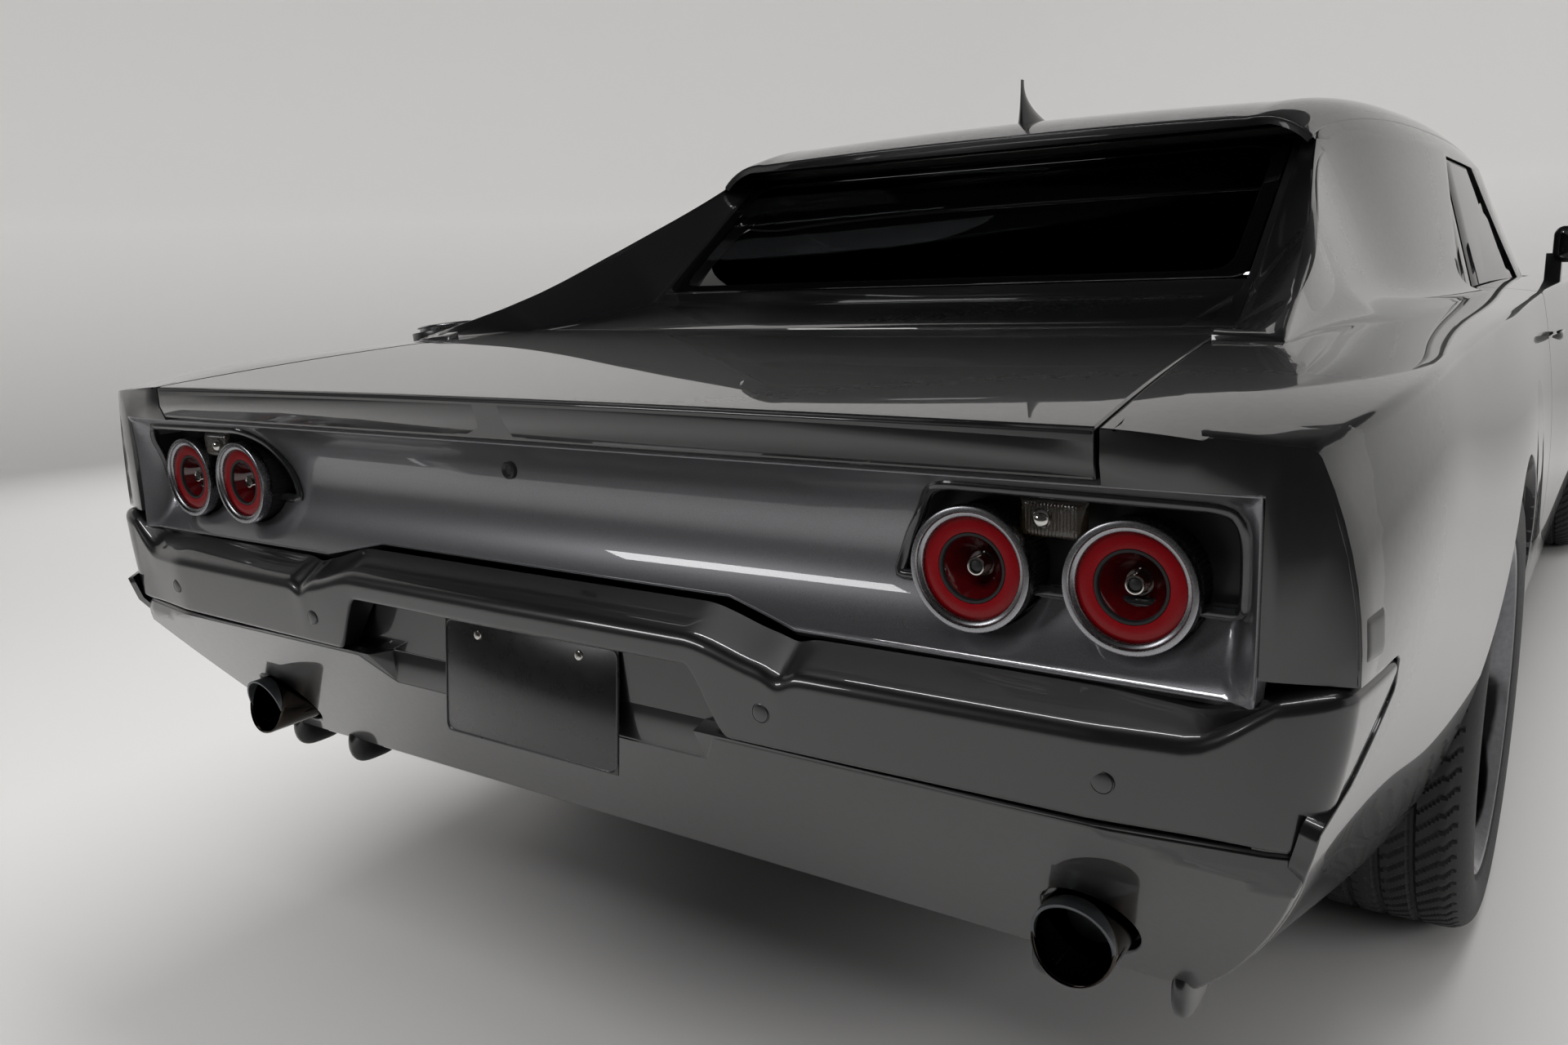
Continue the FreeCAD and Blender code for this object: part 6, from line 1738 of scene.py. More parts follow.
        # how far out each ring of the face lies, and how deep: flat middle, pressed groove, rim, edge and back
        scale = np.array([[0.0, 0.5, 0.93, 0.955, 0.965, 0.985, 1.0, 1.0, 0.99, 0.0]])
        depth = np.array([[0.0, 0.0, 0.0, -0.5, -1.2, -1.2, -0.6, 1.4, 1.8, 1.8]])
        across = np.where(scale < 0.01, 0.0, loop[:, :1] - np.sign(loop[:, :1]) * (1 - scale) * half_h)
        plate, screws, slots = Shell(), Shell(), Shell()
        plate.grid(self.leaned(np.stack([depth + 0 * across, across, loop[:, 1:] * scale], axis=-1)), wrap_u=True)
        head = np.array([(0.01, -3.4), (3.4, -3.3), (5.6, -2.6), (6.4, -1.4), (6.6, 0.0)])
        socket = np.array([(2.4, -3.6), (2.4, -1.8), (0.01, -1.6)])
        for y in (-hole_y, hole_y):
            screws.grid(self.leaned(revolve(head, (0.0, y, hole_z), "x", 32)), wrap_u=True)
            screws.grid(self.leaned(revolve(socket, (0.0, y, hole_z), "x", 6)), wrap_u=True)
            slot = rounded_loop(rectangle(10.0, 3.5, 3.4), 6)
            slot = np.stack([0 * slot[:, 0] - 0.3, slot[:, 0] + y, slot[:, 1] - hole_z], -1)
            middle = slot.mean(axis=0)
            slots.grid(self.leaned(np.stack([slot, slot * 0.999 + middle * 0.001, middle + 0 * slot], 1)), wrap_u=True)
        made = plate.build("blank_number_plate", (Finishes.PLATE_PAINT,), sharp=50.0)
        screws.build("plate_screws", (Finishes.BRIGHT_STEEL,))
        slots.build("plate_slots", (Finishes.GLOSS_PLASTIC,))

    def leaned(self, p: np.ndarray) -> np.ndarray:
        """Leans points given about the plate's centre and moves them to their place.

        Args:
            p: points, shape (..., 3).

        Returns:
            The moved points.
        """
        c, s = math.cos(self.size.plate_lean), math.sin(self.size.plate_lean)
        x = p[..., 0] * c + p[..., 2] * s
        z = -p[..., 0] * s + p[..., 2] * c
        return np.stack([x, p[..., 1], z], axis=-1) + np.array(self.size.plate_at)

    def sensors(self) -> None:
        """Parking sensors in the bumper face: a thin groove ring round a painted disc."""
        shell = Shell()
        profile = np.array([(11.2, 1.0), (10.9, -0.5), (10.2, -0.8), (9.8, 0.0), (9.4, -0.7), (6.0, -1.2),
                            (0.01, -1.3)])
        for side in (1, -1):
            for y, z in self.size.sensors:
                x = float(tail_x(np.array(y))) + self.size.bumper_x_offset + 4.0
                shell.grid(revolve(profile, (x, side * y, z), "x", 40), wrap_u=True)
        shell.build("parking_sensors", (Finishes.GLOSS_BLACK,))
        camera = Shell()
        camera.grid(revolve(np.array([(11.0, 6.0), (10.5, 0.5), (8.5, -1.0), (6.5, 0.5), (5.0, 2.0), (0.01, 1.0)]),
                            self.size.camera, "x", 40), wrap_u=True)
        camera.build("rear_view_camera", (Finishes.MOULDED_BLACK,))

    def build(self) -> None:
        """Builds the whole tail."""
        self.panel()
        self.recess()
        self.lamps()
        self.reversing_lamps()
        self.bumper()
        self.valance()
        self.strakes()
        self.exhaust_tips()
        self.plate()
        self.sensors()


# ---------------------------------------------------------------- wheels and tyres
@dataclass(frozen=True)
class WheelPlace:
    """One corner of the car: its body, axle station, tread middle and tyre width in millimetres."""
    tag: str
    axle_x: float
    tread_y: float
    width: float


@dataclass(frozen=True)
class RoadWheel:
    """Tyre with cut tread, polished rim and five crowned spokes, turning about the wheel's own axis.

    Attributes:
        place: the corner that the wheel stands at.
        radius: radius over the tread, in millimetres like every length here.
        tread_inset: how far the tread's edge lies inside the tyre's widest point.
        crown: how much lower the tread's edge is than its middle.
        grooves: places of the round grooves, as shares of the tread's half-width.
        groove_w: width of a groove.
        groove_depth: its depth.
        sipe_pitch: distance round the tread from one slanted cut to the next.
        sipe_share: share of the pitch that is cut.
        sipe_depth: depth of the cut.
        wall_rings: radii of the two fine rings on the sidewall.
        spokes: how many spokes.
        spoke_r: where the spoke starts, is narrowest, and ends.
        spoke_half_w: its half-width there.
        spoke_face: height of its face there, outboard of the wheel's middle.
        nut_circle: radius of the circle of nuts.
    """

    place: WheelPlace
    radius: float = 360.0
    tread_inset: float = 36.0
    crown: float = 3.2
    grooves: tuple = (-0.62, -0.21, 0.21, 0.62)
    groove_w: float = 9.0
    groove_depth: float = 7.0
    sipe_pitch: float = 29.0
    sipe_share: float = 0.16
    sipe_depth: float = 4.5
    wall_rings: tuple = (290.0, 330.0)
    spokes: int = 5
    spoke_r: tuple = (58.0, 160.0, 247.0)
    spoke_half_w: tuple = (32.0, 24.0, 37.0)
    spoke_face: tuple = (69.2, 65.6, 63.6)
    nut_circle: float = 53.0
    places: ClassVar[tuple[WheelPlace, ...]] = (
        WheelPlace("fl", 1605.0, 826.0, 268.0), WheelPlace("fr", 1605.0, -826.0, 268.0),
        WheelPlace("rl", -1345.0, 819.0, 286.0), WheelPlace("rr", -1345.0, -819.0, 286.0))

    @property
    def side(self) -> float:
        """1 on the car's left, -1 on its right."""
        return 1.0 if self.place.tread_y > 0 else -1.0

    @property
    def body(self) -> str:
        """The body that turns with the wheel."""
        return f"wheel_{self.place.tag}"

    def tyre_section(self) -> np.ndarray:
        """Section of the tyre before its cuts: spline walls, a crowned tread and the inside.

        Returns:
            (radius, offset) points from one bead round to the other.
        """
        half = self.place.width / 2
        knots = np.array([(254.5, half - 24.5), (263.0, half - 22.5), (270.0, half - 19.0), (277.0, half - 9.0),
                          (283.0, half - 5.5), (300.0, half - 1.5), (318.0, half - 0.8), (334.0, half - 5.0),
                          (345.0, half - 12.0), (352.0, half - 21.0), (356.0, half - 31.0)])
        wall = Spline(np.arange(len(knots), dtype=float), knots)(np.linspace(0, len(knots) - 1, 30)).T
        tread = half - self.tread_inset
        across = np.linspace(tread, -tread, 47)
        face = np.stack([self.radius - self.crown * (across / tread) ** 2, across], 1)
        inside_wall = np.array([(300.0, -(half - 40.0)), (300.0, half - 40.0)])
        return np.concatenate([wall, face, (wall * (1, -1))[::-1], inside_wall])

    def tyre(self) -> None:
        """Tyre: a smooth section carried round the axis, cut by round grooves and slanted sipes.

        The radius is the section's, less the groove depth near a groove's middle line, less the sipe depth where
        the distance round the tread plus 0.9 of the distance across falls in the first part of the pitch.
        """
        half = self.place.width / 2
        tread = half - self.tread_inset
        section = self.tyre_section()
        angle = np.linspace(0, FULL_TURN, 468, endpoint=False)[:, None]
        r, y = section[None, :, 0] + 0 * angle, section[None, :, 1] + 0 * angle
        across = np.abs(y)
        near = np.min([np.abs(y - groove * tread) for groove in self.grooves], axis=0)
        cut = self.groove_depth * (1 - smooth_step(near, self.groove_w * 0.4, self.groove_w * 0.62))
        slant = 0.9 * y * np.where(across > self.grooves[2] * tread, np.sign(y), 0.6)
        sipe = ((angle * self.radius + slant) / self.sipe_pitch % 1.0 < self.sipe_share) \
            & (across < half + 5.0) & (across > 0.05 * half) & (r > 350.0)
        cut = np.maximum(cut, self.sipe_depth * sipe)
        rings = sum(0.5 * np.exp(-((r - ring) / 1.2) ** 2) for ring in self.wall_rings)
        r = r - cut * (r > 347.0)
        y = y + rings * np.sign(y)
        p = np.stack([self.place.axle_x + r * np.cos(angle), self.place.tread_y + y,
                      self.radius + r * np.sin(angle)], axis=-1)
        name = f"tyre_{self.place.tag}"
        shell = Shell().grid(p, wrap_u=True, wrap_v=True)
        piece = shell.build(f"{name}_tread", (Finishes.TYRE_RUBBER,), self.body, sharp=32.0)
        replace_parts(piece, name)

    def rim(self) -> None:
        """Polished outer lip and barrel, one section carried round the axis."""
        outer = self.place.width / 2 - 10.0
        section = np.array([(268.4, outer - 9.0), (269.2, outer - 4.0), (269.0, outer + 0.6), (267.0, outer + 1.6),
                            (262.0, outer + 1.4), (258.5, outer - 1.0), (255.0, outer - 8.0), (250.0, outer - 20.0),
                            (244.0, outer - 30.0), (240.5, outer - 45.0), (237.0, outer - 60.0), (236.6, 66.0),
                            (236.6, -outer + 14.0), (240.0, -outer + 10.0)])
        shell = Shell().grid(self.turned(section, 128), 0, wrap_u=True)
        piece = shell.build(f"rim_{self.place.tag}_lip", (Finishes.DARK_RIM,), self.body, sharp=50.0)

    def turned(self, section: np.ndarray, count: int) -> np.ndarray:
        """Carries a (radius, outboard offset) section round the wheel's axis."""
        centre = (self.place.axle_x, self.place.tread_y, self.radius)
        return revolve(section * (1.0, self.side), centre, "y", count)

    def face(self) -> None:
        """Spokes with crowned faces and rolled sides, centre cap and five wheel nuts."""
        shell, cap = Shell(), Shell()
        centre = np.array((self.place.axle_x, self.place.tread_y, self.radius))
        radial = np.linspace(self.spoke_r[0], self.spoke_r[-1], 26)[:, None]
        half_w, face_y = (np.interp(radial, self.spoke_r, sizes) for sizes in (self.spoke_half_w, self.spoke_face))
        v = np.concatenate([[-1.34, -1.2], np.linspace(-1.06, 1.06, 15), [1.2, 1.34]])[None]
        out, on_side = np.abs(v), np.abs(v) > 1.1
        inner = np.clip(out, 0, 1.06)
        drop = np.where(on_side, 6.0 + 90.0 * (out - 1.1), 3.0 * smooth_step(out, 0.86, 1.08))
        height = face_y + 3.0 * (1 - inner ** 2) - drop - 2.6 * (1 - smooth_step(inner, 0.25, 0.6))
        across = half_w * np.where(on_side, np.sign(v) * (1.06 + 0.3 * (out - 1.1)), v)
        for k in range(self.spokes):
            c, s = math.cos(FULL_TURN * k / self.spokes), math.sin(FULL_TURN * k / self.spokes)
            p = np.stack([across * c + radial * s, height * self.side, radial * c - across * s], axis=-1)
            shell.grid(p + centre)
        piece = shell.build(f"spokes_{self.place.tag}", (Finishes.DARK_RIM,), self.body, sharp=45.0)
        dome = np.array([(64.0, 66.0), (63.5, 70.6), (61.0, 72.2), (44.0, 73.4), (42.5, 74.6), (40.0, 75.2),
                         (20.0, 76.4), (0.01, 76.8)])
        cap.grid(self.turned(dome, 72), 0, wrap_u=True)
        nut = np.array([(9.5, 70.0), (9.5, 79.0), (8.0, 82.5), (4.0, 84.0), (0.01, 84.2)])
        for k in range(self.spokes):
            turn = FULL_TURN * (k + 0.5) / self.spokes
            at = centre + self.nut_circle * np.array((math.sin(turn), 0.0, math.cos(turn)))
            cap.grid(revolve(nut * (1.0, self.side), at, "y", 12), 1, wrap_u=True)
        cap.build(f"hub_cap_{self.place.tag}", (Finishes.DARK_RIM, Finishes.BRIGHT_STEEL), self.body, sharp=30.0)

    def build(self) -> None:
        """Builds the whole wheel."""
        self.tyre()
        self.rim()
        self.face()


# ---------------------------------------------------------------- cabin
@dataclass(frozen=True)
class Cushion:
    """A stuffed closed form in a leaning box, with sewn channels across its face.

    Attributes:
        name: the piece's name.
        centre: its middle, in millimetres.
        size: full length, width and height before leaning.
        lean: turn about Y in degrees, foot forward.
        channels: how many sewn channels run along its face.
        power: how square its plan is; 2 is an ellipse.
        rise_power: how square its side view is.
    """
    name: str
    centre: tuple[float, float, float]
    size: tuple[float, float, float]
    lean: float = 0.0
    channels: int = 6
    power: float = 5.0
    rise_power: float = 3.2

    def grid(self) -> np.ndarray:
        """Squared-off ellipsoid whose upper face is crowned and drawn down along the channel seams.

        With c and s the cosine and sine of each angle, every radius is c or s raised to 2 over its power, sign kept.

        Returns:
            Points of shape (around, up, 3).
        """
        a = np.linspace(0, FULL_TURN, 96, endpoint=False)[:, None]
        b = np.linspace(-math.pi / 2, math.pi / 2, 49)[None, :]
        plan, rise = 2.0 / self.power, 2.0 / self.rise_power
        ring = signed_power(np.cos(b), rise)
        x, y = ring * signed_power(np.cos(a), plan), ring * signed_power(np.sin(a), plan)
        z = signed_power(np.sin(b), rise) + 0 * a
        middle = (1 - np.abs(x) ** 4) * (1 - np.abs(y) ** 4)
        seam = np.abs(np.sin((y * 0.5 + 0.5) * self.channels * math.pi)) ** 0.5
        z = z * (0.86 + 0.14 * middle) - np.where(z > 0, 0.09 * (1 - seam) * middle, 0.0)
        p = np.stack([x, y, z], axis=-1) * np.array(self.size) / 2
        c, s = math.cos(math.radians(self.lean)), math.sin(math.radians(self.lean))
        turned = np.stack([p[..., 0] * c + p[..., 2] * s, p[..., 1], -p[..., 0] * s + p[..., 2] * c], axis=-1)
        return turned + np.array(self.centre)

    def build(self) -> bpy.types.Object:
        """Returns:
            The piece.
        """
        shell = Shell().grid(self.grid(), wrap_u=True)
        piece = shell.build(self.name, (Finishes.LEATHER,), sharp=70.0)
        return piece


@dataclass(frozen=True)
class Cabin:
    """Seats and their pedestals, as they show through the glass and the open doors.

    Attributes:
        front_y: distance of a front seat's middle from the car's.
        rear_y: the same for a rear seat.
        pedestal_at: middle and foot (x, z) of a front seat's pedestal.
        pedestal_half: its half-length, half-width and height.
    """

    front_y: float = 410.0
    rear_y: float = 374.0
    pedestal_at: tuple = (-95.0, 216.0)
    pedestal_half: tuple = (215.0, 190.0, 86.0)

    def build(self) -> None:
        """Builds the seats in place of their CAD blocks."""
        for side, tag in ((1, "left"), (-1, "right")):
            y = side * self.front_y
            Cushion(f"front_seat_cushion_{tag}", (18.0, y, 360.0), (478.0, 476.0, 132.0)).build()
            Cushion(f"front_seat_back_{tag}", (-395.0, y, 640.0), (600.0, 440.0, 112.0), 78.0).build()
            Cushion(f"front_head_rest_{tag}", (-452.0, y, 1010.0), (112.0, 250.0, 82.0), 84.0, 2, 3.5).build()
            y = side * self.rear_y
            Cushion(f"rear_seat_cushion_{tag}", (-850.0, y, 425.0), (404.0, 384.0, 106.0)).build()
            Cushion(f"rear_seat_back_{tag}", (-1178.0, y, 702.0), (352.0, 392.0, 80.0), 81.0).build()
        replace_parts(self.pedestals(), "front_seats", "rear_seat")

    def pedestals(self) -> bpy.types.Object:
        """Moulded pedestals under the front seats: squared ellipses that narrow as they rise.

        Returns:
            The piece.
        """
        x, z = self.pedestal_at
        long, wide, tall = self.pedestal_half
        angle = np.linspace(0, FULL_TURN, 64, endpoint=False)[:, None]
        rise = np.array([[0.0, 0.0, 0.06, 0.9, 1.0, 1.0]])
        spread = np.array([[0.001, 1.0, 1.02, 0.96, 0.9, 0.001]])
        along, across = (spread * signed_power(wave(angle), 0.4) for wave in (np.cos, np.sin))
        shell = Shell()
        for side in (1, -1):
            shell.grid(np.stack([x + long * along, side * self.front_y + wide * across, z + tall * rise + 0 * angle],
                                axis=-1), wrap_u=True)
        piece = shell.build("front_seat_pedestals", (Finishes.MOULDED_BLACK,))
        return piece


# ---------------------------------------------------------------- small outside fittings
@dataclass(frozen=True)
class Trim:
    """Door handles, side markers, wipers, mirror glass, filler cap, headlamps, aerial fin and window border.

    Attributes:
        handle_x: rear end of a door handle, and its length.
        handle_z: its height.
        markers: x, z, half-length and half-height of each side marker lamp.
        wipers: foot and tip (x, y) of each wiper arm.
        screen: the windscreen's plane: x and z of a point on it, and its fall for each millimetre forward.
        mirror_at: middle of the left mirror's glass.
        cap_at: middle of the filler cap in plan.
        cap_tilt: lean of the cap.
        headlamps: x and y of each headlamp on one side.
        headlamp_z: their height.
        fin_x: the fin's rear and front end at its foot.
        fin_top: height of its tip.
        window_top: x and z of the rear window's upper edge.
        window_foot: x and z of its lower edge.
    """

    handle_x: tuple = (-345.0, 150.0)
    handle_z: float = 872.0
    markers: tuple = ((-2459.0, 782.0, 21.0, 20.0), (2250.0, 700.0, 44.0, 13.0))
    wipers: tuple = (((1052.0, 520.0), (1010.0, -30.0)), ((1052.0, -90.0), (990.0, -560.0)))
    screen: tuple = (1120.0, 880.0, 0.5495)
    mirror_at: tuple = (394.5, 953.0, 1062.0)
    cap_at: tuple = (-1875.0, 826.0)
    cap_tilt: float = math.radians(6.0)
    headlamps: tuple = ((2466.0, 528.0), (2452.0, 690.0))
    headlamp_z: float = 690.0
    fin_x: tuple = (-1041.5, -875.0)
    fin_top: float = 1445.0
    window_top: tuple = (-1174.0, 1277.0)
    window_foot: tuple = (-1508.0, 1042.0)

    def door_handles(self) -> None:
        """Pull handles: a rounded bar whose reach follows a flattened hump, 1 less an eighth power."""
        along = np.linspace(0, 1, 33)[:, None]
        angle = np.linspace(0, FULL_TURN, 20, endpoint=False)[None]
        hump = 1 - (2 * along - 1) ** 8
        x = self.handle_x[0] + self.handle_x[1] * along
        base = FORM.side_y(x, np.full_like(x, self.handle_z)) + 1.5
        y = base + 3.0 + 15.0 * hump + 4.5 * np.cos(angle) * np.maximum(hump, 0.05)
        z = self.handle_z + 9.0 * np.sin(angle) * (0.25 + 0.75 * hump)
        for side, body in ((1, "door_left"), (-1, "door_right")):
            shell = Shell().grid(np.stack([x + 0 * angle, side * y, z], axis=-1), wrap_v=True)
            shell.build(f"{body}_handle", (Finishes.GLOSS_BLACK,), body)

    def side_markers(self) -> None:
        """Small dark rectangular marker lamps on the flanks near both ends, flat-topped with rounded edges."""
        shell = Shell()
        u, v = np.meshgrid(np.linspace(-1, 1, 21), np.linspace(-1, 1, 13), indexing="ij")
        raised = 0.9 + 2.6 * (1 - u ** 10) * (1 - v ** 6)
        for x0, z0, half_l, half_h in self.markers:
            x, z = x0 + half_l * u, z0 + half_h * v
            p = np.stack([x, FORM.side_y(x, z) + raised, z], axis=-1)
            shell.grid(p).grid((p * (1.0, -1.0, 1.0))[::-1])
        shell.build("side_marker_lamps", (Finishes.GLOSS_PLASTIC,))

    def windscreen_wipers(self) -> None:
        """Two wiper arms along the foot of the windscreen: a flat oval carried along a shallow sine bow."""
        shell = Shell()
        screen_x, screen_z, fall = self.screen
        angle = np.linspace(0, FULL_TURN, 12, endpoint=False)[None]
        width = np.linspace(7.0, 3.5, 20)[:, None]
        bow = 9.0 + 5.0 * np.sin(np.linspace(0, math.pi, 20))
        oval = np.stack([width * np.cos(angle), 0 * width * angle, 4.0 * np.sin(angle) + 0 * width], axis=-1)
        for start, stop in self.wipers:
            plan = np.linspace(start, stop, 20)
            height = screen_z + (screen_x - plan[:, 0]) * fall + bow
            shell.grid(np.concatenate([plan, height[:, None]], 1)[:, None] + oval, wrap_v=True)
        shell.build("windscreen_wipers", (Finishes.MOULDED_BLACK,))

    def mirror_glass(self) -> None:
        """Mirror glass in the rear face of each door mirror, slightly domed."""
        x, y, z = self.mirror_at
        ring = rounded_loop(rectangle(66.0, 36.0, 16.0), 9)[:, None] * np.array([1.0, 0.97, 0.5, 0.0])[None, :, None]
        dome = np.array([[0.5, -0.9, -1.8, -2.1]])
        for side, body in ((1, "door_left"), (-1, "door_right")):
            p = np.stack([x + dome + 0 * ring[..., 0], side * (y + ring[..., 0]), z + ring[..., 1]], -1)
            Shell().grid(p, wrap_u=True).build(f"{body}_mirror_glass", (Finishes.MIRROR,), body)

    def filler_cap(self) -> None:
        """Turned rings on the flip cap, carried round its own leaning axis, their top just under the cap's own."""
        profile = np.array([(66.0, 41.6), (64.5, 43.4), (60.0, 43.9), (56.0, 43.2), (54.5, 42.4), (40.0, 42.6),
                            (38.5, 43.8), (34.0, 44.4), (20.0, 44.8), (0.01, 45.0)])
        p = revolve(profile, (0.0, 0.0, 0.0), "z", 96)
        c, s = math.cos(self.cap_tilt), math.sin(self.cap_tilt)
        p = np.stack([p[..., 0], p[..., 1] * c + p[..., 2] * s, p[..., 2] * c - p[..., 1] * s], axis=-1)
        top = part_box("filler_cap")[1][2] / MM - 1.0
        p += (*self.cap_at, top - p[..., 2].max())
        Shell().grid(p, wrap_u=True).build("filler_cap_rings", (Finishes.SATIN_ALUMINIUM,), "filler_cap")

    def headlamp_lenses(self) -> None:
        """Domed lenses and bright bezels of the four headlamps, carried round their axes."""
        lens = np.array([(70.0, -8.0), (69.0, 0.0), (60.0, 5.0), (40.0, 9.5), (20.0, 12.0), (0.01, 12.8)])
        ring = np.array([(80.0, -12.0), (80.0, 2.0), (78.0, 5.0), (74.0, 5.6), (71.0, 3.0), (70.0, -8.0)])
        shell = Shell()
        for side in (1, -1):
            for x, y in self.headlamps:
                for slot, profile in enumerate((lens, ring)):
                    shell.grid(revolve(profile, (x, side * y, self.headlamp_z), "x", 64), slot, wrap_u=True)
        shell.build("headlamp_lenses", (Finishes.CLEAR_LENS, Finishes.BRIGHT_STEEL))

    def roof_fin(self) -> None:
        """Aerial fin: lens-shaped sections stacked upward, their front edge sweeping back on a power curve."""
        h = np.linspace(0, 1, 26)[None] ** 0.8
        angle = np.linspace(0, FULL_TURN, 64, endpoint=False)[:, None]
        rear = self.fin_x[0] + 5.0 * h ** 0.5
        front = self.fin_x[1] - 148.0 * (1 - (1 - h) ** 2.6)
        half_w = 21.5 * (1 - h) ** 2.2 + 2.2
        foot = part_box("antenna_fin")[0][2] / MM
        x = (rear + front) / 2 + (front - rear) / 2 * np.cos(angle)
        y = half_w * signed_power(np.sin(angle), 1.2)
        z = foot + (self.fin_top - foot) * h + 0 * angle
        p = np.stack([x, y, z], axis=-1)
        tip = p[:, -1:] * (0.0, 0.0, 1.0) + ((rear + front)[0, -1] / 2, 0.0, 0.0)
        piece = Shell().grid(np.concatenate([p, tip], axis=1), wrap_u=True).build(
            "roof_aerial_fin", (Finishes.GLOSS_BLACK,), sharp=50.0)
        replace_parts(piece, "antenna_fin")

    def rear_window_border(self) -> None:
        """Black ceramic border round the rear window, a rounded frame lying just over the glass."""
        top, foot = np.array(self.window_top), np.array(self.window_foot)
        slope, length = unit(foot - top), float(np.linalg.norm(foot - top))
        normal = np.array([slope[1], -slope[0]])
        outer = rounded_loop([(572, 3, 40), (-572, 3, 40), (-585, length - 3, 30), (585, length - 3, 30)], 10)
        inner = rounded_loop([(548, 26, 60), (-548, 26, 60), (-556, length - 24, 44), (556, length - 24, 44)], 10)
        rows = []
        for share, lift in ((0.0, 0.4), (0.02, 1.4), (0.05, 1.9), (0.1, 2.0), (0.5, 2.0), (0.9, 2.0), (0.94, 1.9),
                            (0.97, 1.5), (1.0, 0.6)):
            ring = outer * (1 - share) + inner * share
            at = top + slope * ring[:, 1:] + normal * lift
            rows.append(np.stack([at[:, 0], ring[:, 0], at[:, 1]], axis=-1))
        Shell().grid(np.stack(rows, axis=1), wrap_u=True).build("rear_window_border", (Finishes.CERAMIC,))

    def build(self) -> None:
        """Builds every fitting."""
        self.door_handles()
        self.side_markers()
        self.windscreen_wipers()
        self.mirror_glass()
        self.filler_cap()
        self.headlamp_lenses()
        self.roof_fin()
        self.rear_window_border()


# ---------------------------------------------------------------- the CAD nodes' own finishes
@dataclass(frozen=True)
class CadDress:
    """Gives the CAD nodes that stay in view their materials, softened edges and smooth shading.

    Attributes:
        corner_angle: edges steeper than this many degrees are broken.
        edge_mm: how far a machine-sharp edge is broken, where edges doesn't say.
        finishes: the nodes that wear each finish.
        edges: nodes whose edges are broken further, or less.
    """

    corner_angle: float = 28.0
    edge_mm: float = 1.5
    finishes: ClassVar[dict[Finishes, tuple[str, ...]]] = {
        Finishes.GLOSS_BLACK: (
            "quarter_panels", "rear_deck", "roof_panel", "scuttle_and_pillars", "rockers", "front_fenders",
            "nose_panel", "front_bumper", "rear_bumper", "rear_valance", "hood", "trunk_lid", "door_left",
            "door_right", "mirror_left", "mirror_right", "antenna_fin"),
        Finishes.GUNMETAL: ("tail_panel",),
        Finishes.UNDERSEAL: ("floor_pan",),
        Finishes.MOULDED_BLACK: ("grille", "tail_lamp_cans", "dashboard"),
        Finishes.GLOSS_PLASTIC: ("filler_ring",),
        Finishes.SATIN_ALUMINIUM: ("filler_cap",),
        Finishes.CLEAR_LENS: ("headlamps",),
        Finishes.RED_LENS: ("tail_lamp_lenses",),
        Finishes.PLATE_PAINT: ("number_plate",),
        Finishes.GALVANISED: ("exhaust_system", "fuel_tank"),
        Finishes.CAST_IRON: ("rear_axle", "driveshaft", "front_suspension", "engine_block", "knuckle_left",
                             "knuckle_right"),
        Finishes.TINTED_GLASS: ("windshield", "rear_window", "quarter_windows", "door_glass_left", "door_glass_right"),
        Finishes.LEATHER: ("steering_wheel", "front_seats", "rear_seat"),
        Finishes.DARK_RIM: ("wheel_fl", "wheel_fr", "wheel_rl", "wheel_rr"),
        Finishes.TYRE_RUBBER: ("tyre_fl", "tyre_fr", "tyre_rl", "tyre_rr"),
    }
    edges: ClassVar[dict[float, tuple[str, ...]]] = {
        0.6: ("number_plate", "windshield", "rear_window", "quarter_windows", "door_glass_left", "door_glass_right"),
        0.8: ("tail_lamp_cans", "tail_lamp_lenses"),
        1.0: ("headlamps",),
        2.0: ("mirror_left", "mirror_right", "antenna_fin", "knuckle_left", "knuckle_right"),
        3.0: ("fuel_tank", "rear_axle", "front_suspension", "steering_wheel"),
        4.0: ("engine_block", "dashboard"),
        12.0: ("front_seats", "rear_seat"),
    }

    def dress(self, nodes: dict[str, bpy.types.Object]) -> None:
        """Dresses every node, and stops at a node that has no finish.

        Args:
            nodes: the CAD nodes by name.
        """
        finish_of = {name: finish for finish, names in self.finishes.items() for name in names}
        edge_of = {name: edge for edge, names in self.edges.items() for name in names}
        for name, node in nodes.items():
            material = finish_of[name].value.material()
            if not node.data.materials:
                node.data.materials.append(material)
            for slot in range(len(node.data.materials)):
                node.data.materials[slot] = material
            node.modifiers.new("weld", "WELD").merge_threshold = WELD_MM * MM
            bevel = node.modifiers.new("edge", "BEVEL")
            bevel.width = edge_of.get(name, self.edge_mm) * MM
            bevel.segments = 2
            bevel.limit_method = "ANGLE"
            bevel.angle_limit = math.radians(self.corner_angle)
            bevel.harden_normals = False
            node.data.shade_smooth()
            LOG.info("%s: dressed in %s", name, material.name)


# ---------------------------------------------------------------- studio
@dataclass(frozen=True)
class SoftBox:
    """One soft area lamp.

    Attributes:
        name: the lamp's name.
        at: its centre, in millimetres.
        facing: a point that it faces.
        width: its level size.
        height: its other size.
        power: in watts.
        mirrored: shows in paint and gives no diffuse light, instead of the other way round.
    """
    name: str
    at: tuple[float, float, float]
    facing: tuple[float, float, float]
    width: float
    height: float
    power: float
    mirrored: bool = False


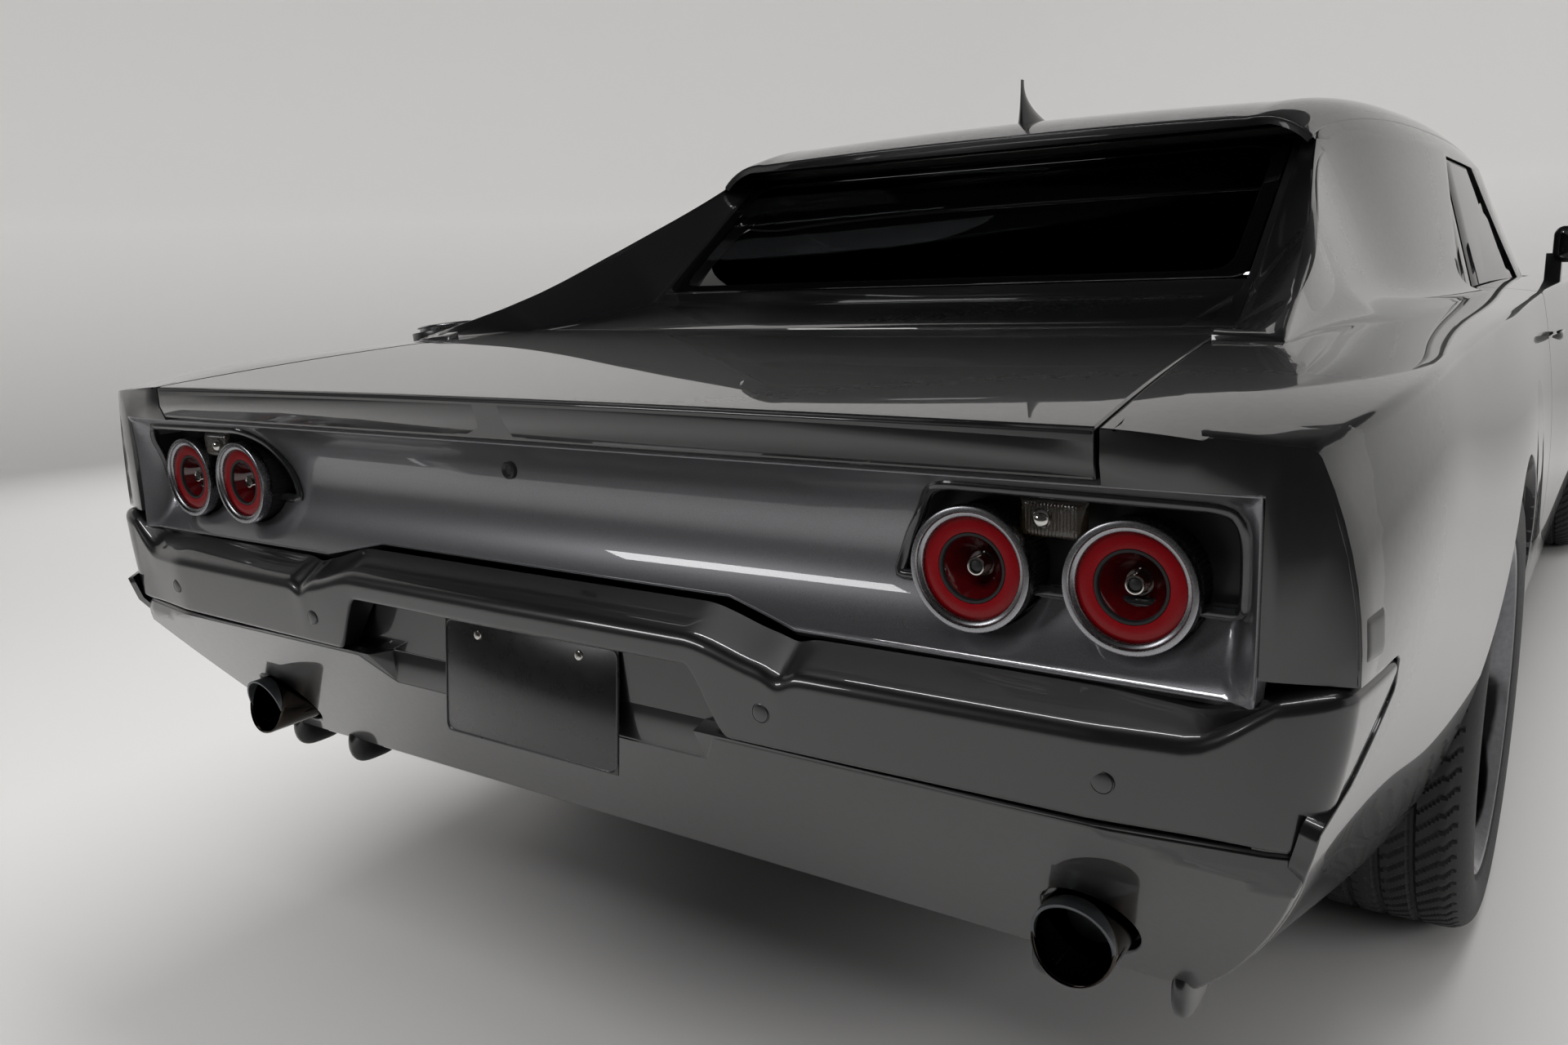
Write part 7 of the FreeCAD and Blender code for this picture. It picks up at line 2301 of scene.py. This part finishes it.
@dataclass(frozen=True)
class Studio:
    """Pale cove, soft lamps and the camera.

    Attributes:
        eye: the camera's place, in millimetres.
        yaw: its turn to the left from straight ahead, in radians.
        pitch: how far it looks down.
        roll: its tilt about its own line of sight.
        lens_mm: focal length.
        sensor_mm: width of the sensor.
        floor_colour: sRGB hex colour of the floor.
        wall_colour: colour of the wall above blend_z.
        painted_shade_colour: painted shade, a darker colour standing in for the unlit end of the room behind the
            camera.
        air_colour: colour of the even light.
        reach: distance from the middle of the room to its wall.
        wall_height: height of the wall.
        cove_radius: radius of the sweep between floor and wall.
        painted_shade_x: where the painted shade starts to darken the room, and where it is full.
        blend_z: heights, in metres, between which floor colour turns to wall colour.
    """

    eye: tuple = (-3496.7, -1104.9, 1092.0)
    yaw: float = 0.6179
    pitch: float = 0.2073
    roll: float = -0.0414
    lens_mm: float = 28.1
    sensor_mm: float = 36.0
    floor_colour: str = "B4B3B2"
    wall_colour: str = "E8E7E6"
    # painted shade: a dark colour for the end of the room behind the camera, standing in for that end being unlit
    painted_shade_colour: str = "3A3938"
    air_colour: str = "F2F1F0"
    reach: float = 9000.0
    wall_height: float = 7000.0
    cove_radius: float = 1800.0
    # where the painted shade of the room's far end starts and where it is full
    painted_shade_x: tuple = (-4000.0, -5600.0)
    blend_z: tuple = (0.05, 1.6)
    soft_boxes: ClassVar[tuple[SoftBox, ...]] = (
        SoftBox("overhead", (-600, 0, 4600), (-300, 0, 0), 4200, 2400, 260.0),
        SoftBox("tail_smear", (-6100, 2500, 2300), (-2400, 300, 750), 1500, 500, 26.0, True),
        SoftBox("crest_line", (-3300, 0, 5200), (-2400, 0, 700), 4200, 120, 60.0, True),
        SoftBox("tail_floor", (-4700, -300, 3900), (-4100, -300, 0), 3200, 2200, 95.0),
        SoftBox("right_flank", (-2600, -5600, 2600), (-1000, 0, 600), 5200, 1500, 110.0),
        SoftBox("left_flank", (1500, 6000, 2600), (0, 0, 600), 5200, 1500, 110.0),
    )

    def paint(self) -> bpy.types.Material:
        """Matt studio paint: floor colour below, wall colour above, with painted shade darkening it towards the end
        behind the camera.

        Returns:
            The material.
        """
        material = bpy.data.materials.new("painted_studio_cove")
        material.use_nodes = True
        tree = material.node_tree
        surface = tree.nodes["Principled BSDF"]
        place = add_node(tree, "TexCoord")
        along = add_node(tree, "SeparateXYZ", inputs={"Vector": place.outputs["Object"]})
        # painted shade: the colour darkens towards the end of the room behind the camera, standing in for that end
        # being unlit
        behind = add_node(tree, "MapRange", inputs={"Value": along.outputs["X"], "From Min": self.painted_shade_x[0] * MM,
                                                    "From Max": self.painted_shade_x[1] * MM})
        raised = add_node(tree, "MapRange", inputs={"Value": along.outputs["Z"], "From Min": self.blend_z[0],
                                                    "From Max": self.blend_z[1]})
        pale = add_node(tree, "Mix", {"data_type": "RGBA"}, {0: raised.outputs["Result"],
                                                             6: linear(self.floor_colour),
                                                             7: linear(self.wall_colour)})
        shade = add_node(tree, "Mix", {"data_type": "RGBA"}, {0: behind.outputs["Result"], 6: pale.outputs[2],
                                                              7: linear(self.painted_shade_colour)})
        tree.links.new(shade.outputs[2], surface.inputs["Base Color"])
        surface.inputs["Roughness"].default_value = 0.8
        return material

    def cove(self) -> None:
        """Builds the floor that sweeps up into walls all round: an arc joins the flat to the upright."""
        reach, radius = self.reach, self.cove_radius
        turn = np.radians(np.linspace(0, 90, 10))
        run = np.concatenate([[0.0, 0.4 * reach, reach - radius], reach - radius + radius * np.sin(turn[1:]), [reach]])
        rise = np.concatenate([[0.0, 0.0, 0.0], radius * (1 - np.cos(turn[1:])), [self.wall_height]])
        sweep = revolve(np.stack([run, rise], axis=1), (0.0, 0.0, 0.0), "z", 96)
        index = np.arange(sweep.shape[0] * sweep.shape[1]).reshape(sweep.shape[:2])
        quads = quads_of(np.concatenate([index, index[:1]]))[:, [0, 3, 2, 1]]
        mesh = bpy.data.meshes.new("studio_cove")
        mesh.from_pydata((sweep.reshape(-1, 3) * MM).tolist(), [], quads.tolist())
        mesh.shade_smooth()
        mesh.materials.append(self.paint())
        cove = bpy.data.objects.new("studio_cove", mesh)
        bpy.context.scene.collection.objects.link(cove)

    def lamps(self) -> None:
        """Hangs the soft boxes, each turned to the point that it faces."""
        for box in self.soft_boxes:
            light = bpy.data.lights.new(box.name, "AREA")
            light.shape, light.energy = "RECTANGLE", box.power
            light.size, light.size_y = box.width * MM, box.height * MM
            lamp = bpy.data.objects.new(box.name, light)
            lamp.visible_glossy = box.mirrored
            lamp.visible_diffuse = not box.mirrored
            away = unit(np.array(box.at, float) - np.array(box.facing, float))
            side = unit(np.cross((0.0, 0.0, 1.0), away)) if abs(away[2]) < 0.99 else np.array((0.0, 1.0, 0.0))
            lamp.matrix_world = frame_matrix(side, np.cross(away, side), away, box.at)
            bpy.context.scene.collection.objects.link(lamp)

    def surroundings(self) -> None:
        """Fills the room with even grey light."""
        world = bpy.data.worlds.new("studio_air")
        world.use_nodes = True
        world.node_tree.nodes["Background"].inputs["Color"].default_value = linear(self.air_colour)
        world.cycles_visibility.glossy = False
        bpy.context.scene.world = world
        bpy.context.scene.view_settings.view_transform = "Standard"

    def camera(self) -> None:
        """Stands the camera behind the car's right rear corner, looking forward and down."""
        data = bpy.data.cameras.new("studio_camera")
        data.lens, data.sensor_width, data.sensor_fit = self.lens_mm, self.sensor_mm, "HORIZONTAL"
        data.clip_start, data.clip_end = 0.05, 100.0
        ahead = np.array([math.cos(self.pitch) * math.cos(self.yaw), math.cos(self.pitch) * math.sin(self.yaw),
                          -math.sin(self.pitch)])
        right = np.array([math.sin(self.yaw), -math.cos(self.yaw), 0.0])
        up = np.cross(right, ahead)
        tilted_right = math.cos(self.roll) * right + math.sin(self.roll) * up
        tilted_up = math.cos(self.roll) * up - math.sin(self.roll) * right
        camera = bpy.data.objects.new("studio_camera", data)
        camera.matrix_world = frame_matrix(tilted_right, tilted_up, -ahead, self.eye)
        bpy.context.scene.collection.objects.link(camera)
        bpy.context.scene.camera = camera

    def build(self) -> None:
        """Sets up the whole studio."""
        self.cove()
        self.lamps()
        self.surroundings()
        self.camera()


def frame_matrix(x_axis: np.ndarray, y_axis: np.ndarray, z_axis: np.ndarray, at: Sequence[float]) -> Matrix:
    """Matrix whose columns are three axes and a place given in millimetres."""
    columns = np.stack([x_axis, y_axis, z_axis, np.asarray(at, float) * MM], axis=1)
    return Matrix(np.vstack([columns, (0.0, 0.0, 0.0, 1.0)]).tolist())


def main() -> None:
    """Builds every sub-assembly in turn, each reporting its pieces."""
    logging.basicConfig(level=logging.INFO, format="%(name)s %(message)s")
    CadDress().dress(frame["nodes"])
    PaintedPanels().build()
    Tail().build()
    for place in RoadWheel.places:
        RoadWheel(place).build()
    Cabin().build()
    Trim().build()
    Studio().build()


if __name__ == "__main__":
    main()
